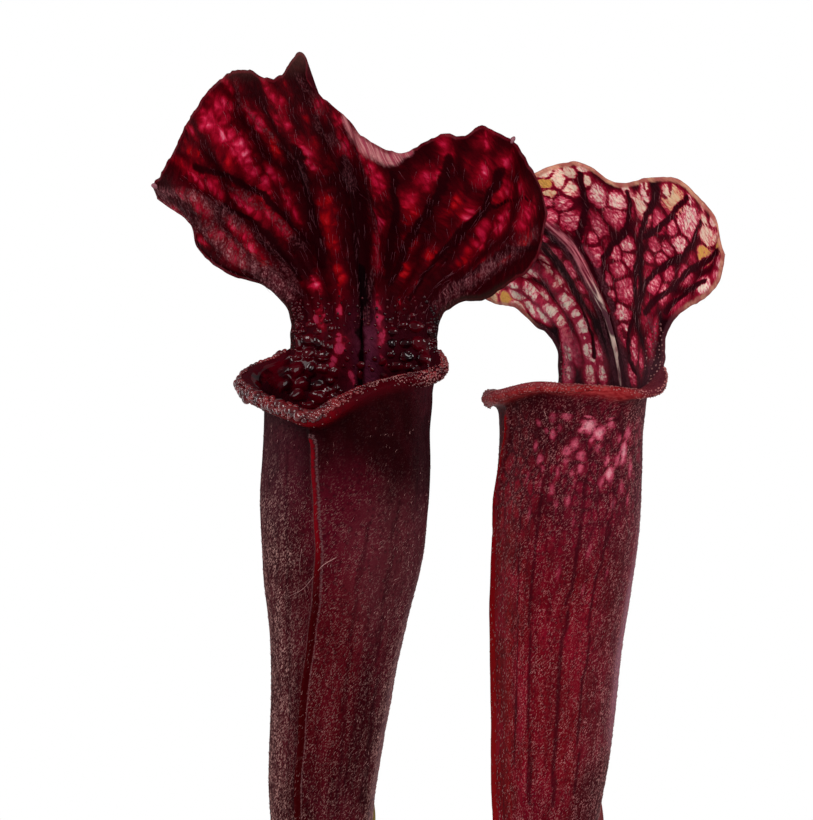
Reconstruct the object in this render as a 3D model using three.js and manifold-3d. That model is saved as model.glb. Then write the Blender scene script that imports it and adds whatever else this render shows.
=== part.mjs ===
// Potted pitcher plant: two tall hooded pitchers, an old leaf and a young one on a
// horizontal rhizome, in potting mix in a plain round pot.
// Millimetres, +Z up, origin at the centre of the pot's flat underside, front towards -Y.

import * as THREE from 'three';
import { mergeVertices } from 'three/addons/utils/BufferGeometryUtils.js';
import Module from 'manifold-3d';

const wasm = await Module();
wasm.setup();

// ---------------------------------------------------------------- driving dimensions
const GAP = 0.35;              // clearance between pieces that touch
const POT_H = 110;             // pot height
const POT_R_FOOT = 45;         // outer radius at the foot
const POT_R_TOP = 60;          // outer radius of the wall at the rim
const POT_RIM_OUT = 3.2;       // how far the rim band stands out from the wall
const POT_RIM_H = 17;          // height of the rim band
const POT_WALL = 2.0;          // wall thickness
const POT_FLOOR = 2.4;         // floor thickness
const POT_FOOT_CHAMFER = 1.6;
const POT_SEGMENTS = 44;
const DRAIN_HOLES = 6;
const DRAIN_R = 4.2;           // drain hole radius
const DRAIN_CIRCLE = 29;       // radius of the circle the drain holes stand on
const MIX_TOP = 99.6;          // level of the potting mix at the pot wall
const RHIZOME_Z = 95.5;        // height of the rhizome's axis
const RHIZOME_R = 7.0;
const LEAF_BASE_Z = 103.2;     // lowest point of each leaf, just above the rhizome
const SHELL_HALF = 0.5;        // half the wall thickness of a pitcher
const HOOD_HALF = 0.42;        // half the thickness of a hood at its margin
const CAVITY_FLOOR_Z = 134;    // the hollow of a pitcher ends here, the stalk below is solid
const WING_H = 1.7;            // how far the front wing stands out from the tube

// sampling of a pitcher leaf
const HOOD_S = [0, 0.06, 0.14, 0.26, 0.4, 0.52, 0.64, 0.75, 0.88, 1];
const FRONT_STEPS = 18;
const TUBE_STEPS = 15;
const FLARE_STEPS = 3;
const HOOD_STEPS = 9;

// One table set for each pitcher.
// stations: height, centre x, centre y, radius across, radius front to back, facing angle
// rim: angle round the mouth measured from the back, then the x, y, z of the roll's centre line
// hood: rows from the neck to the outer margin, each holding x, y, z at the stations hoodS
const LEFT = {
 thc: 72.0,          // half angle of the back arc that runs on as the hood, degrees
 roll: 1.35,         // half thickness of the rolled rim
 lobe: [-150, 0],   // angle and extra half thickness of the curled lobe of the rim
 stations: [
  [103.6,-27.2,-12.3,4.9,5.39,28.0],
  [108.0,-27.0,-12.0,4.5,4.73,28.0],
  [120.0,-26.5,-11.2,4.6,4.6,28.0],
  [135.0,-25.8,-10.2,5.4,5.4,28.0],
  [150.0,-25.0,-9.4,6.5,6.5,28.0],
  [165.0,-24.2,-8.8,7.7,7.7,28.0],
  [180.0,-23.4,-8.3,8.9,8.9,28.0],
  [194.55,-22.61,-8.0,10.09,9.89,28.0],
  [200.44,-22.5,-8.0,10.61,10.29,28.0],
  [206.51,-21.99,-8.0,11.12,10.68,28.0],
  [212.59,-21.38,-8.0,11.53,10.96,27.0],
  [218.65,-20.67,-8.0,12.05,11.33,27.0],
  [224.72,-20.16,-8.0,12.58,11.57,26.0],
  [230.77,-19.55,-8.0,13.41,12.07,25.0],
  [236.82,-19.14,-8.0,14.45,12.71,24.0],
  [242.86,-18.73,-8.0,15.68,13.48,23.0],
  [248.9,-18.23,-8.0,16.5,13.86,22.0],
  [254.93,-18.12,-8.0,17.0,13.94,21.0],
  [260.96,-17.91,-8.0,17.3,13.84,20.0],
  [266.98,-17.61,-8.0,17.2,13.59,20.0],
  [272.99,-17.5,-8.0,17.0,13.26,20.0],
  [279.0,-17.2,-8.0,17.2,13.41,20.0],
  [282.0,-17.19,-8.0,17.19,13.41,20.0]
],
 rim: [
  [-288.0,0.41,-6.0,288.94],
  [-278.0,1.39,-8.17,287.21],
  [-268.0,1.34,-13.15,285.21],
  [-256.0,-1.85,-16.78,283.78],
  [-240.0,-7.17,-19.63,282.72],
  [-220.0,-13.22,-22.22,281.07],
  [-200.0,-18.86,-24.0,278.42],
  [-180.0,-23.93,-24.28,276.1],
  [-162.0,-28.73,-20.83,277.28],
  [-144.0,-33.67,-15.3,278.97],
  [-128.0,-36.72,-9.41,280.47],
  [-113.0,-38.0,-3.62,282.21],
  [-99.0,-36.41,1.12,283.83],
  [-86.0,-32.86,3.66,285.76],
  [-72.0,-29.03,4.71,288.57]
],
 hoodS: [-1.0, -0.94, -0.88, -0.82, -0.75, -0.68, -0.61, -0.54, -0.47, -0.4, -0.33, -0.26, -0.19, -0.12, -0.06, -0.025, -0.0, 0.025, 0.06, 0.12, 0.19, 0.26, 0.33, 0.4, 0.47, 0.54, 0.61, 0.68, 0.75, 0.82, 0.88, 0.94, 1.0],
 hood: [
  [-29.03,4.71,288.57,-28.16,4.72,288.52,-27.29,4.71,288.48,-26.42,4.67,288.44,-25.41,4.61,288.4,-24.39,4.51,288.36,-23.38,4.39,288.33,-22.36,4.25,288.3,-21.35,4.07,288.28,-20.33,3.87,288.26,-19.32,3.64,288.25,-18.3,3.39,288.24,-17.28,3.11,288.23,-16.27,2.8,288.24,-15.4,2.51,288.24,-14.89,2.33,288.25,-14.53,2.2,288.25,-14.15,2.07,288.26,-13.63,1.86,288.26,-12.72,1.51,288.28,-11.67,1.06,288.31,-10.61,0.59,288.33,-9.56,0.09,288.37,-8.51,-0.43,288.41,-7.46,-0.98,288.45,-6.42,-1.56,288.5,-5.37,-2.16,288.55,-4.33,-2.79,288.61,-3.29,-3.44,288.67,-2.25,-4.13,288.74,-1.36,-4.73,288.8,-0.47,-5.36,288.87,0.41,-6.0,288.94],
  [-29.02,4.71,292.24,-28.39,4.84,292.27,-27.63,4.84,292.24,-26.84,4.82,292.19,-25.86,4.83,292.28,-24.91,4.98,292.36,-23.96,4.95,292.54,-22.98,4.78,292.62,-22.0,4.59,292.76,-21.02,4.53,292.79,-19.97,4.57,292.86,-18.83,4.3,292.86,-17.72,3.75,292.73,-16.66,3.14,292.43,-15.67,2.65,292.39,-15.02,2.36,292.4,-14.53,2.1,292.72,-14.13,1.99,292.38,-13.64,1.86,292.1,-12.66,1.68,292.02,-11.66,1.59,291.74,-10.67,1.39,291.51,-9.53,1.04,291.39,-8.43,0.42,291.46,-7.26,-0.57,291.85,-6.18,-1.28,292.16,-5.13,-1.85,292.26,-4.03,-2.88,292.64,-2.98,-3.66,292.65,-1.95,-4.19,292.64,-1.14,-4.96,292.38,-0.34,-5.48,292.13,0.41,-6.0,291.74],
  [-29.01,4.6,295.5,-28.63,4.85,295.65,-28.0,4.88,295.69,-27.28,4.87,295.69,-26.36,4.96,295.97,-25.5,5.37,296.21,-24.61,5.43,296.66,-23.69,5.24,296.92,-22.76,5.03,297.27,-21.84,5.12,297.4,-20.76,5.45,297.62,-19.51,5.16,297.69,-18.33,4.35,297.49,-17.23,3.43,296.93,-16.14,2.76,296.89,-15.35,2.36,296.94,-14.72,1.95,297.59,-14.3,1.87,296.88,-13.82,1.81,296.28,-12.72,1.79,296.07,-11.73,2.05,295.44,-10.78,2.09,294.9,-9.5,1.88,294.56,-8.3,1.15,294.61,-6.98,-0.29,295.29,-5.83,-1.16,295.79,-4.72,-1.71,295.88,-3.53,-3.16,296.52,-2.43,-4.07,296.43,-1.36,-4.46,296.28,-0.6,-5.41,295.64,0.16,-5.85,295.04,0.81,-6.25,294.15],
  [-30.63,4.55,298.55,-30.41,4.9,298.87,-29.82,4.93,299.0,-29.1,4.9,299.08,-28.14,5.05,299.6,-27.25,5.68,300.06,-26.34,5.81,300.83,-25.37,5.57,301.3,-24.39,5.31,301.9,-23.42,5.52,302.19,-22.22,6.11,302.6,-20.76,5.78,302.78,-19.4,4.67,302.55,-18.16,3.42,301.77,-16.88,2.54,301.77,-15.9,2.01,301.87,-15.12,1.46,302.86,-14.64,1.4,301.78,-14.14,1.41,300.84,-12.86,1.55,300.46,-11.81,2.15,299.44,-10.82,2.43,298.54,-9.33,2.35,297.95,-7.97,1.5,297.93,-6.42,-0.39,298.85,-5.12,-1.41,299.5,-3.89,-1.95,299.54,-2.55,-3.82,300.4,-1.32,-4.87,300.15,-0.16,-5.13,299.84,0.62,-6.25,298.79,1.4,-6.6,297.79,2.0,-6.9,296.37],
  [-34.94,5.48,302.0,-34.77,5.84,302.51,-34.07,5.76,302.76,-33.2,5.62,302.94,-32.01,5.7,303.74,-30.93,6.48,304.46,-29.82,6.56,305.61,-28.6,6.15,306.34,-27.39,5.71,307.24,-26.21,5.94,307.71,-24.69,6.71,308.36,-22.79,6.21,308.67,-21.05,4.62,308.38,-19.48,2.86,307.34,-17.83,1.61,307.37,-16.54,0.88,307.53,-15.5,0.11,308.93,-14.91,0.09,307.39,-14.33,0.18,306.05,-12.74,0.54,305.46,-11.5,1.57,303.95,-10.34,2.17,302.62,-8.49,2.28,301.72,-6.81,1.32,301.61,-4.88,-1.09,302.79,-3.29,-2.27,303.61,-1.8,-2.76,303.58,-0.15,-5.12,304.66,1.33,-6.31,304.22,2.74,-6.37,303.69,3.63,-7.69,302.14,4.53,-7.91,300.66,5.18,-8.06,298.59],
  [-41.81,4.68,304.24,-41.59,5.05,305.08,-40.66,4.86,305.59,-39.51,4.57,305.99,-37.93,4.58,307.24,-36.52,5.52,308.37,-35.05,5.55,310.07,-33.45,4.93,311.22,-31.85,4.3,312.58,-30.29,4.55,313.39,-28.31,5.51,314.43,-25.82,4.81,315.02,-23.52,2.7,314.81,-21.45,0.38,313.61,-19.29,-1.26,313.8,-17.61,-2.23,314.09,-16.24,-3.24,315.96,-15.49,-3.17,313.89,-14.75,-2.91,312.05,-12.71,-2.2,311.12,-11.12,-0.57,308.98,-9.63,0.51,307.06,-7.24,0.95,305.69,-5.07,0.0,305.34,-2.59,-2.83,306.66,-0.55,-4.05,307.53,1.38,-4.37,307.28,3.49,-7.1,308.48,5.39,-8.31,307.7,7.21,-8.04,306.8,8.34,-9.46,304.59,9.5,-9.43,302.49,10.34,-9.29,299.61],
  [-47.93,8.29,308.91,-47.77,8.25,310.04,-46.71,7.51,310.75,-45.36,6.65,311.31,-43.51,6.1,312.96,-41.87,6.73,314.48,-40.16,6.22,316.7,-38.28,4.88,318.2,-36.4,3.54,319.98,-34.58,3.34,321.06,-32.23,4.05,322.44,-29.23,2.65,323.22,-26.48,-0.53,322.98,-24.02,-3.98,321.47,-21.43,-6.49,321.71,-19.39,-7.96,322.09,-17.73,-9.4,324.45,-16.79,-9.2,321.83,-15.88,-8.7,319.5,-13.33,-7.52,318.3,-11.36,-5.09,315.58,-9.52,-3.38,313.12,-6.53,-2.46,311.35,-3.82,-3.32,310.84,-0.71,-6.55,312.43,1.83,-7.73,313.46,4.24,-7.76,313.1,6.87,-10.85,314.54,9.25,-11.99,313.48,11.53,-11.24,312.3,12.93,-12.7,309.44,14.38,-12.31,306.72,15.43,-11.79,303.03],
  [-49.52,4.83,314.4,-49.84,4.69,315.78,-49.07,3.69,316.63,-47.94,2.57,317.3,-46.3,1.81,319.3,-44.91,2.49,321.14,-43.45,1.79,323.82,-41.76,0.1,325.61,-40.08,-1.6,327.73,-38.48,-1.91,329.03,-36.25,-1.1,330.7,-33.22,-2.84,331.62,-30.47,-6.75,331.27,-28.08,-10.99,329.41,-25.45,-14.06,329.66,-23.28,-15.85,330.08,-21.48,-17.61,332.89,-20.34,-17.21,329.76,-19.2,-16.4,326.97,-16.08,-14.59,325.56,-13.63,-11.22,322.33,-11.32,-8.7,319.39,-7.62,-7.15,317.26,-4.26,-7.74,316.63,-0.41,-11.23,318.51,2.76,-12.21,319.73,5.77,-11.78,319.28,9.04,-15.06,320.97,12.01,-15.98,319.68,14.88,-14.61,318.25,16.66,-15.97,314.77,18.52,-15.1,311.48,19.9,-14.05,307.0],
  [-56.69,11.16,319.55,-57.23,10.3,321.59,-56.47,8.42,322.98,-55.29,6.4,324.17,-53.53,4.69,326.97,-52.1,4.7,329.6,-50.55,3.08,333.19,-48.74,0.29,335.71,-46.94,-2.49,338.6,-45.26,-3.64,340.55,-42.86,-3.45,342.96,-39.5,-6.27,344.41,-36.45,-11.63,344.33,-33.83,-17.38,342.47,-30.91,-21.63,343.04,-28.48,-24.11,343.68,-26.46,-26.44,347.03,-25.13,-25.86,343.4,-23.82,-24.75,340.18,-20.19,-22.34,338.54,-17.36,-18.05,334.82,-14.66,-14.78,331.41,-10.34,-12.62,328.92,-6.39,-13.0,328.12,-1.87,-16.77,330.17,1.86,-17.59,331.52,5.4,-16.76,330.96,9.25,-20.28,332.79,12.74,-21.02,331.21,16.13,-19.06,329.52,18.24,-20.37,325.39,20.45,-19.04,321.51,22.1,-17.51,316.25]
],
};
const RIGHT = {
 thc: 72.0,          // half angle of the back arc that runs on as the hood, degrees
 roll: 1.05,         // half thickness of the rolled rim
 lobe: [-155, 1.0],   // angle and extra half thickness of the curled lobe of the rim
 stations: [
  [103.6,17.0,14.1,4.9,5.39,62.0],
  [108.0,17.4,14.4,4.5,4.73,62.0],
  [120.0,18.8,15.2,4.6,4.6,62.0],
  [135.0,20.1,16.2,5.5,5.5,62.0],
  [150.0,21.2,16.9,6.6,6.6,62.0],
  [165.0,22.2,17.4,7.8,7.8,62.0],
  [180.0,23.1,17.8,9.0,9.0,62.0],
  [189.89,24.13,18.0,10.41,10.2,62.0],
  [196.01,24.53,18.0,11.23,10.89,62.0],
  [202.33,25.04,18.0,11.95,11.48,62.0],
  [208.64,25.44,18.0,12.47,11.85,62.0],
  [214.95,25.74,18.0,12.99,12.21,62.0],
  [221.26,25.93,18.0,13.64,12.55,62.0],
  [227.56,26.23,18.0,14.3,12.87,62.0],
  [233.85,26.63,18.0,15.22,13.39,62.0],
  [240.13,27.04,18.0,16.0,13.76,61.0],
  [246.41,27.44,18.0,16.8,14.11,60.0],
  [252.69,27.84,18.0,17.25,14.14,59.0],
  [258.95,28.13,18.0,17.44,13.96,58.0],
  [265.22,28.53,18.0,17.26,13.63,57.0],
  [271.47,28.72,18.0,17.23,13.44,55.0],
  [277.72,28.81,18.0,17.87,13.94,54.0],
  [280.84,28.91,18.0,17.71,13.81,52.0]
],
 rim: [
  [-288.0,46.94,9.58,285.12],
  [-277.0,47.23,7.98,282.93],
  [-266.0,46.02,5.39,280.59],
  [-254.0,41.99,3.19,279.67],
  [-240.0,35.85,2.72,280.3],
  [-222.0,28.32,2.37,280.73],
  [-204.0,21.01,2.52,281.23],
  [-188.0,16.42,4.88,280.2],
  [-176.0,13.39,10.2,278.93],
  [-162.0,12.29,16.33,278.22],
  [-146.0,12.48,21.71,277.75],
  [-130.0,13.81,26.35,277.52],
  [-113.0,16.8,30.56,277.52],
  [-99.0,20.33,33.51,277.91],
  [-86.0,23.55,34.65,278.6],
  [-72.0,26.73,33.66,279.72]
],
 hoodS: [-1.0, -0.94, -0.88, -0.82, -0.75, -0.68, -0.61, -0.54, -0.47, -0.4, -0.33, -0.26, -0.19, -0.12, -0.06, -0.025, -0.0, 0.025, 0.06, 0.12, 0.19, 0.26, 0.33, 0.4, 0.47, 0.54, 0.61, 0.68, 0.75, 0.82, 0.88, 0.94, 1.0],
 hood: [
  [26.73,33.66,279.72,27.49,33.23,280.26,28.24,32.78,280.76,28.99,32.29,281.24,29.87,31.69,281.76,30.74,31.06,282.23,31.61,30.39,282.66,32.47,29.69,283.05,33.33,28.95,283.39,34.19,28.18,283.69,35.04,27.37,283.95,35.89,26.52,284.16,36.73,25.64,284.34,37.57,24.73,284.47,38.29,23.92,284.55,38.7,23.44,284.58,39.0,23.09,284.6,39.21,22.84,284.61,39.5,22.48,284.62,40.0,21.84,284.65,40.57,21.07,284.68,41.14,20.26,284.71,41.71,19.41,284.74,42.28,18.53,284.77,42.84,17.62,284.81,43.4,16.67,284.85,43.95,15.68,284.88,44.49,14.67,284.92,45.04,13.61,284.97,45.58,12.53,285.01,46.03,11.57,285.04,46.49,10.59,285.08,46.94,9.58,285.12],
  [26.91,33.14,283.99,27.49,32.87,284.64,28.1,32.56,285.24,28.72,32.12,285.79,29.43,31.53,286.38,30.17,30.96,286.93,30.91,30.5,287.44,31.65,29.87,287.91,32.37,29.05,288.34,33.11,28.33,288.74,33.87,27.8,289.08,34.61,27.08,289.4,35.35,26.02,289.68,36.1,24.76,289.93,36.75,23.72,290.14,37.15,23.15,290.31,37.49,22.71,290.47,37.73,22.39,290.58,38.07,22.01,290.67,38.67,21.5,290.77,39.36,20.91,290.87,40.09,20.17,290.89,40.8,19.17,290.85,41.5,18.22,290.68,42.15,17.62,290.36,42.86,16.75,290.22,43.57,15.38,290.26,44.31,13.86,290.26,45.03,12.71,290.16,45.73,11.79,289.81,46.32,10.64,289.36,46.83,9.97,288.94,47.3,9.15,288.42],
  [26.48,33.34,288.24,26.93,33.19,288.92,27.42,32.97,289.54,27.95,32.54,290.1,28.55,31.91,290.67,29.2,31.35,291.21,29.86,31.05,291.71,30.5,30.43,292.17,31.13,29.49,292.62,31.8,28.77,293.02,32.5,28.45,293.37,33.18,27.82,293.7,33.86,26.53,294.0,34.56,24.87,294.29,35.19,23.55,294.53,35.59,22.88,294.81,35.99,22.32,295.08,36.26,21.93,295.29,36.64,21.53,295.48,37.33,21.15,295.69,38.12,20.74,295.88,38.98,20.05,295.92,39.81,18.91,295.84,40.65,17.88,295.5,41.37,17.59,294.86,42.21,16.8,294.57,43.07,15.03,294.63,43.99,13.0,294.61,44.87,11.76,294.42,45.71,11.0,293.71,46.43,9.66,292.8,46.97,9.29,291.95,47.46,8.65,290.9],
  [24.24,35.7,291.57,24.64,35.55,292.3,25.1,35.31,292.94,25.62,34.76,293.51,26.21,33.94,294.07,26.87,33.25,294.61,27.54,32.97,295.1,28.2,32.23,295.57,28.82,31.03,296.02,29.53,30.16,296.43,30.27,29.94,296.8,30.98,29.25,297.14,31.71,27.58,297.48,32.46,25.39,297.79,33.14,23.67,298.08,33.59,22.82,298.46,34.08,22.1,298.85,34.41,21.63,299.18,34.88,21.17,299.49,35.72,20.87,299.86,36.7,20.58,300.22,37.79,19.9,300.33,38.82,18.55,300.26,39.87,17.39,299.82,40.74,17.35,298.92,41.81,16.58,298.54,42.89,14.36,298.68,44.06,11.78,298.7,45.19,10.38,298.46,46.26,9.74,297.46,47.17,8.17,296.14,47.82,8.05,294.91,48.38,7.55,293.39],
  [22.18,37.53,292.59,22.45,37.44,293.61,22.82,37.22,294.52,23.25,36.58,295.33,23.74,35.6,296.16,24.34,34.81,296.96,24.95,34.62,297.73,25.54,33.78,298.48,26.1,32.31,299.21,26.76,31.34,299.91,27.47,31.28,300.57,28.15,30.58,301.21,28.84,28.52,301.84,29.59,25.73,302.45,30.28,23.59,303.03,30.75,22.55,303.66,31.33,21.65,304.28,31.75,21.06,304.72,32.37,20.54,305.12,33.46,20.32,305.61,34.74,20.16,306.06,36.16,19.47,306.16,37.52,17.86,306.01,38.89,16.53,305.34,40.02,16.78,304.04,41.43,16.02,303.45,42.86,13.25,303.58,44.41,9.98,303.54,45.9,8.4,303.14,47.3,7.88,301.7,48.5,6.02,299.81,49.35,6.19,298.05,50.07,5.85,295.88],
  [19.7,40.17,295.09,19.84,40.05,296.31,20.09,39.78,297.4,20.44,38.96,298.37,20.84,37.71,299.37,21.36,36.72,300.33,21.91,36.53,301.27,22.43,35.51,302.19,22.91,33.66,303.1,23.53,32.48,303.98,24.21,32.5,304.82,24.84,31.7,305.66,25.52,29.12,306.48,26.25,25.59,307.28,26.96,22.9,308.04,27.45,21.61,308.88,28.12,20.49,309.7,28.69,19.77,310.25,29.5,19.16,310.75,30.94,19.02,311.35,32.63,18.98,311.89,34.5,18.27,311.97,36.3,16.35,311.72,38.11,14.82,310.78,39.6,15.37,309.05,41.46,14.61,308.23,43.34,11.23,308.33,45.38,7.22,308.2,47.35,5.41,307.62,49.2,5.01,305.69,50.78,2.83,303.17,51.91,3.31,300.85,52.88,3.12,297.97],
  [17.11,39.83,296.82,17.07,39.82,298.19,17.16,39.63,299.4,17.39,38.73,300.46,17.63,37.32,301.54,18.04,36.26,302.6,18.48,36.23,303.63,18.89,35.15,304.66,19.25,33.01,305.68,19.79,31.73,306.67,20.39,32.02,307.64,20.95,31.25,308.6,21.57,28.22,309.55,22.27,23.98,310.48,22.97,20.77,311.39,23.49,19.26,312.41,24.26,17.94,313.43,24.98,17.05,314.17,26.01,16.32,314.85,27.83,16.24,315.7,29.97,16.31,316.5,32.35,15.53,316.72,34.63,13.22,316.49,36.93,11.42,315.4,38.83,12.27,313.33,41.18,11.47,312.4,43.57,7.35,312.61,46.15,2.45,312.53,48.64,0.37,311.89,50.99,0.07,309.57,52.99,-2.5,306.46,54.43,-1.7,303.62,55.66,-1.75,300.08],
  [13.67,47.05,297.32,13.45,46.7,298.89,13.42,46.13,300.27,13.55,44.7,301.48,13.68,42.61,302.69,14.01,40.94,303.89,14.37,40.54,305.06,14.7,38.86,306.23,14.99,35.9,307.4,15.48,34.01,308.55,16.03,34.02,309.68,16.54,32.76,310.8,17.14,28.75,311.91,17.86,23.26,313.0,18.58,19.08,314.06,19.13,17.1,315.29,20.01,15.39,316.52,20.87,14.38,317.48,22.11,13.61,318.4,24.28,13.73,319.61,26.83,14.07,320.78,29.67,13.39,321.24,32.41,10.85,321.15,35.17,8.93,320.03,37.43,10.25,317.73,40.25,9.57,316.8,43.12,4.87,317.23,46.21,-0.77,317.29,49.19,-2.98,316.71,52.01,-3.02,314.1,54.4,-5.85,310.5,56.13,-4.61,307.24,57.61,-4.38,303.13],
  [10.85,47.29,298.61,10.41,47.04,300.35,10.18,46.54,301.87,10.15,45.02,303.18,10.1,42.75,304.5,10.27,40.99,305.8,10.48,40.74,307.09,10.65,38.98,308.38,10.79,35.71,309.67,11.16,33.7,310.95,11.59,33.97,312.22,11.98,32.73,313.48,12.5,28.22,314.73,13.17,21.98,315.94,13.86,17.26,317.15,14.42,15.05,318.57,15.39,13.11,319.99,16.37,11.94,321.2,17.78,11.04,322.42,20.24,11.21,324.06,23.13,11.66,325.7,26.38,10.91,326.51,29.5,7.96,326.64,32.64,5.77,325.57,35.19,7.4,323.17,38.41,6.68,322.34,41.68,1.22,323.06,45.21,-5.32,323.34,48.61,-7.81,322.89,51.82,-7.75,320.11,54.53,-10.97,316.1,56.48,-9.41,312.54,58.13,-9.05,307.97]
],
};

// ---------------------------------------------------------------- small tools
const V = (x, y, z) => new THREE.Vector3(x, y, z);
const lerp = (a, b, t) => a + (b - a) * t;
const clamp = (x, a, b) => Math.min(b, Math.max(a, x));
const smooth = (x) => { const t = clamp(x, 0, 1); return t * t * (3 - 2 * t); };

// Catmull-Rom through rows of numbers at a fractional index
function spline(rows, x) {
  const n = rows.length;
  const q = clamp(x, 0, n - 1);
  const i = Math.min(Math.floor(q), n - 2);
  const t = q - i;
  const p1 = rows[i], p2 = rows[i + 1];
  const p0 = i > 0 ? rows[i - 1] : p1.map((v, k) => 2 * v - p2[k]);
  const p3 = i + 2 < n ? rows[i + 2] : p2.map((v, k) => 2 * v - p1[k]);
  return p1.map((v, k) => 0.5 * (2 * v + (p2[k] - p0[k]) * t
    + (2 * p0[k] - 5 * v + 4 * p2[k] - p3[k]) * t * t
    + (3 * v - p0[k] - 3 * p2[k] + p3[k]) * t * t * t));
}
// fractional index of x in an ascending list
function indexOf(list, x) {
  if (x <= list[0]) return 0;
  for (let i = 1; i < list.length; i++) {
    if (x <= list[i]) return i - 1 + (x - list[i - 1]) / (list[i] - list[i - 1]);
  }
  return list.length - 1;
}

function solidGeometry(positions, index) {
  // flips the faces if they point inwards
  let vol = 0;
  const a = V(), b = V(), c = V();
  for (let i = 0; i < index.length; i += 3) {
    a.fromArray(positions, index[i] * 3);
    b.fromArray(positions, index[i + 1] * 3);
    c.fromArray(positions, index[i + 2] * 3);
    vol += a.dot(b.cross(c));
  }
  if (vol < 0) {
    for (let i = 0; i < index.length; i += 3) {
      const t = index[i + 1]; index[i + 1] = index[i + 2]; index[i + 2] = t;
    }
  }
  const g = new THREE.BufferGeometry();
  g.setAttribute('position', new THREE.Float32BufferAttribute(positions, 3));
  g.setIndex(index);
  return g;
}

// rings of points closed by a pole at each end
function loft(rings, lowPole, highPole) {
  const n = rings[0].length;
  const pos = [], index = [];
  for (const ring of rings) for (const p of ring) pos.push(p.x, p.y, p.z);
  for (let r = 0; r + 1 < rings.length; r++) {
    for (let k = 0; k < n; k++) {
      const a = r * n + k, b = r * n + (k + 1) % n, c = a + n, d = b + n;
      index.push(a, b, d, a, d, c);
    }
  }
  const lo = pos.length / 3; pos.push(lowPole.x, lowPole.y, lowPole.z);
  const hi = lo + 1; pos.push(highPole.x, highPole.y, highPole.z);
  const top = (rings.length - 1) * n;
  for (let k = 0; k < n; k++) {
    index.push(lo, (k + 1) % n, k);
    index.push(hi, top + k, top + (k + 1) % n);
  }
  return solidGeometry(pos, index);
}

function toManifold(geometry) {
  let g = geometry.clone();
  g.deleteAttribute('normal');
  g.deleteAttribute('uv');
  g = mergeVertices(g, 1e-4);
  return new wasm.Manifold(new wasm.Mesh({
    numProp: 3,
    vertProperties: Float32Array.from(g.attributes.position.array),
    triVerts: Uint32Array.from(g.index.array),
  }));
}
function fromManifold(solid) {
  const m = solid.getMesh();
  const g = new THREE.BufferGeometry();
  const pos = [];
  for (let i = 0; i < m.vertProperties.length / m.numProp; i++) {
    for (let k = 0; k < 3; k++) pos.push(m.vertProperties[i * m.numProp + k]);
  }
  g.setAttribute('position', new THREE.Float32BufferAttribute(pos, 3));
  g.setIndex(Array.from(m.triVerts));
  return g;
}

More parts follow.
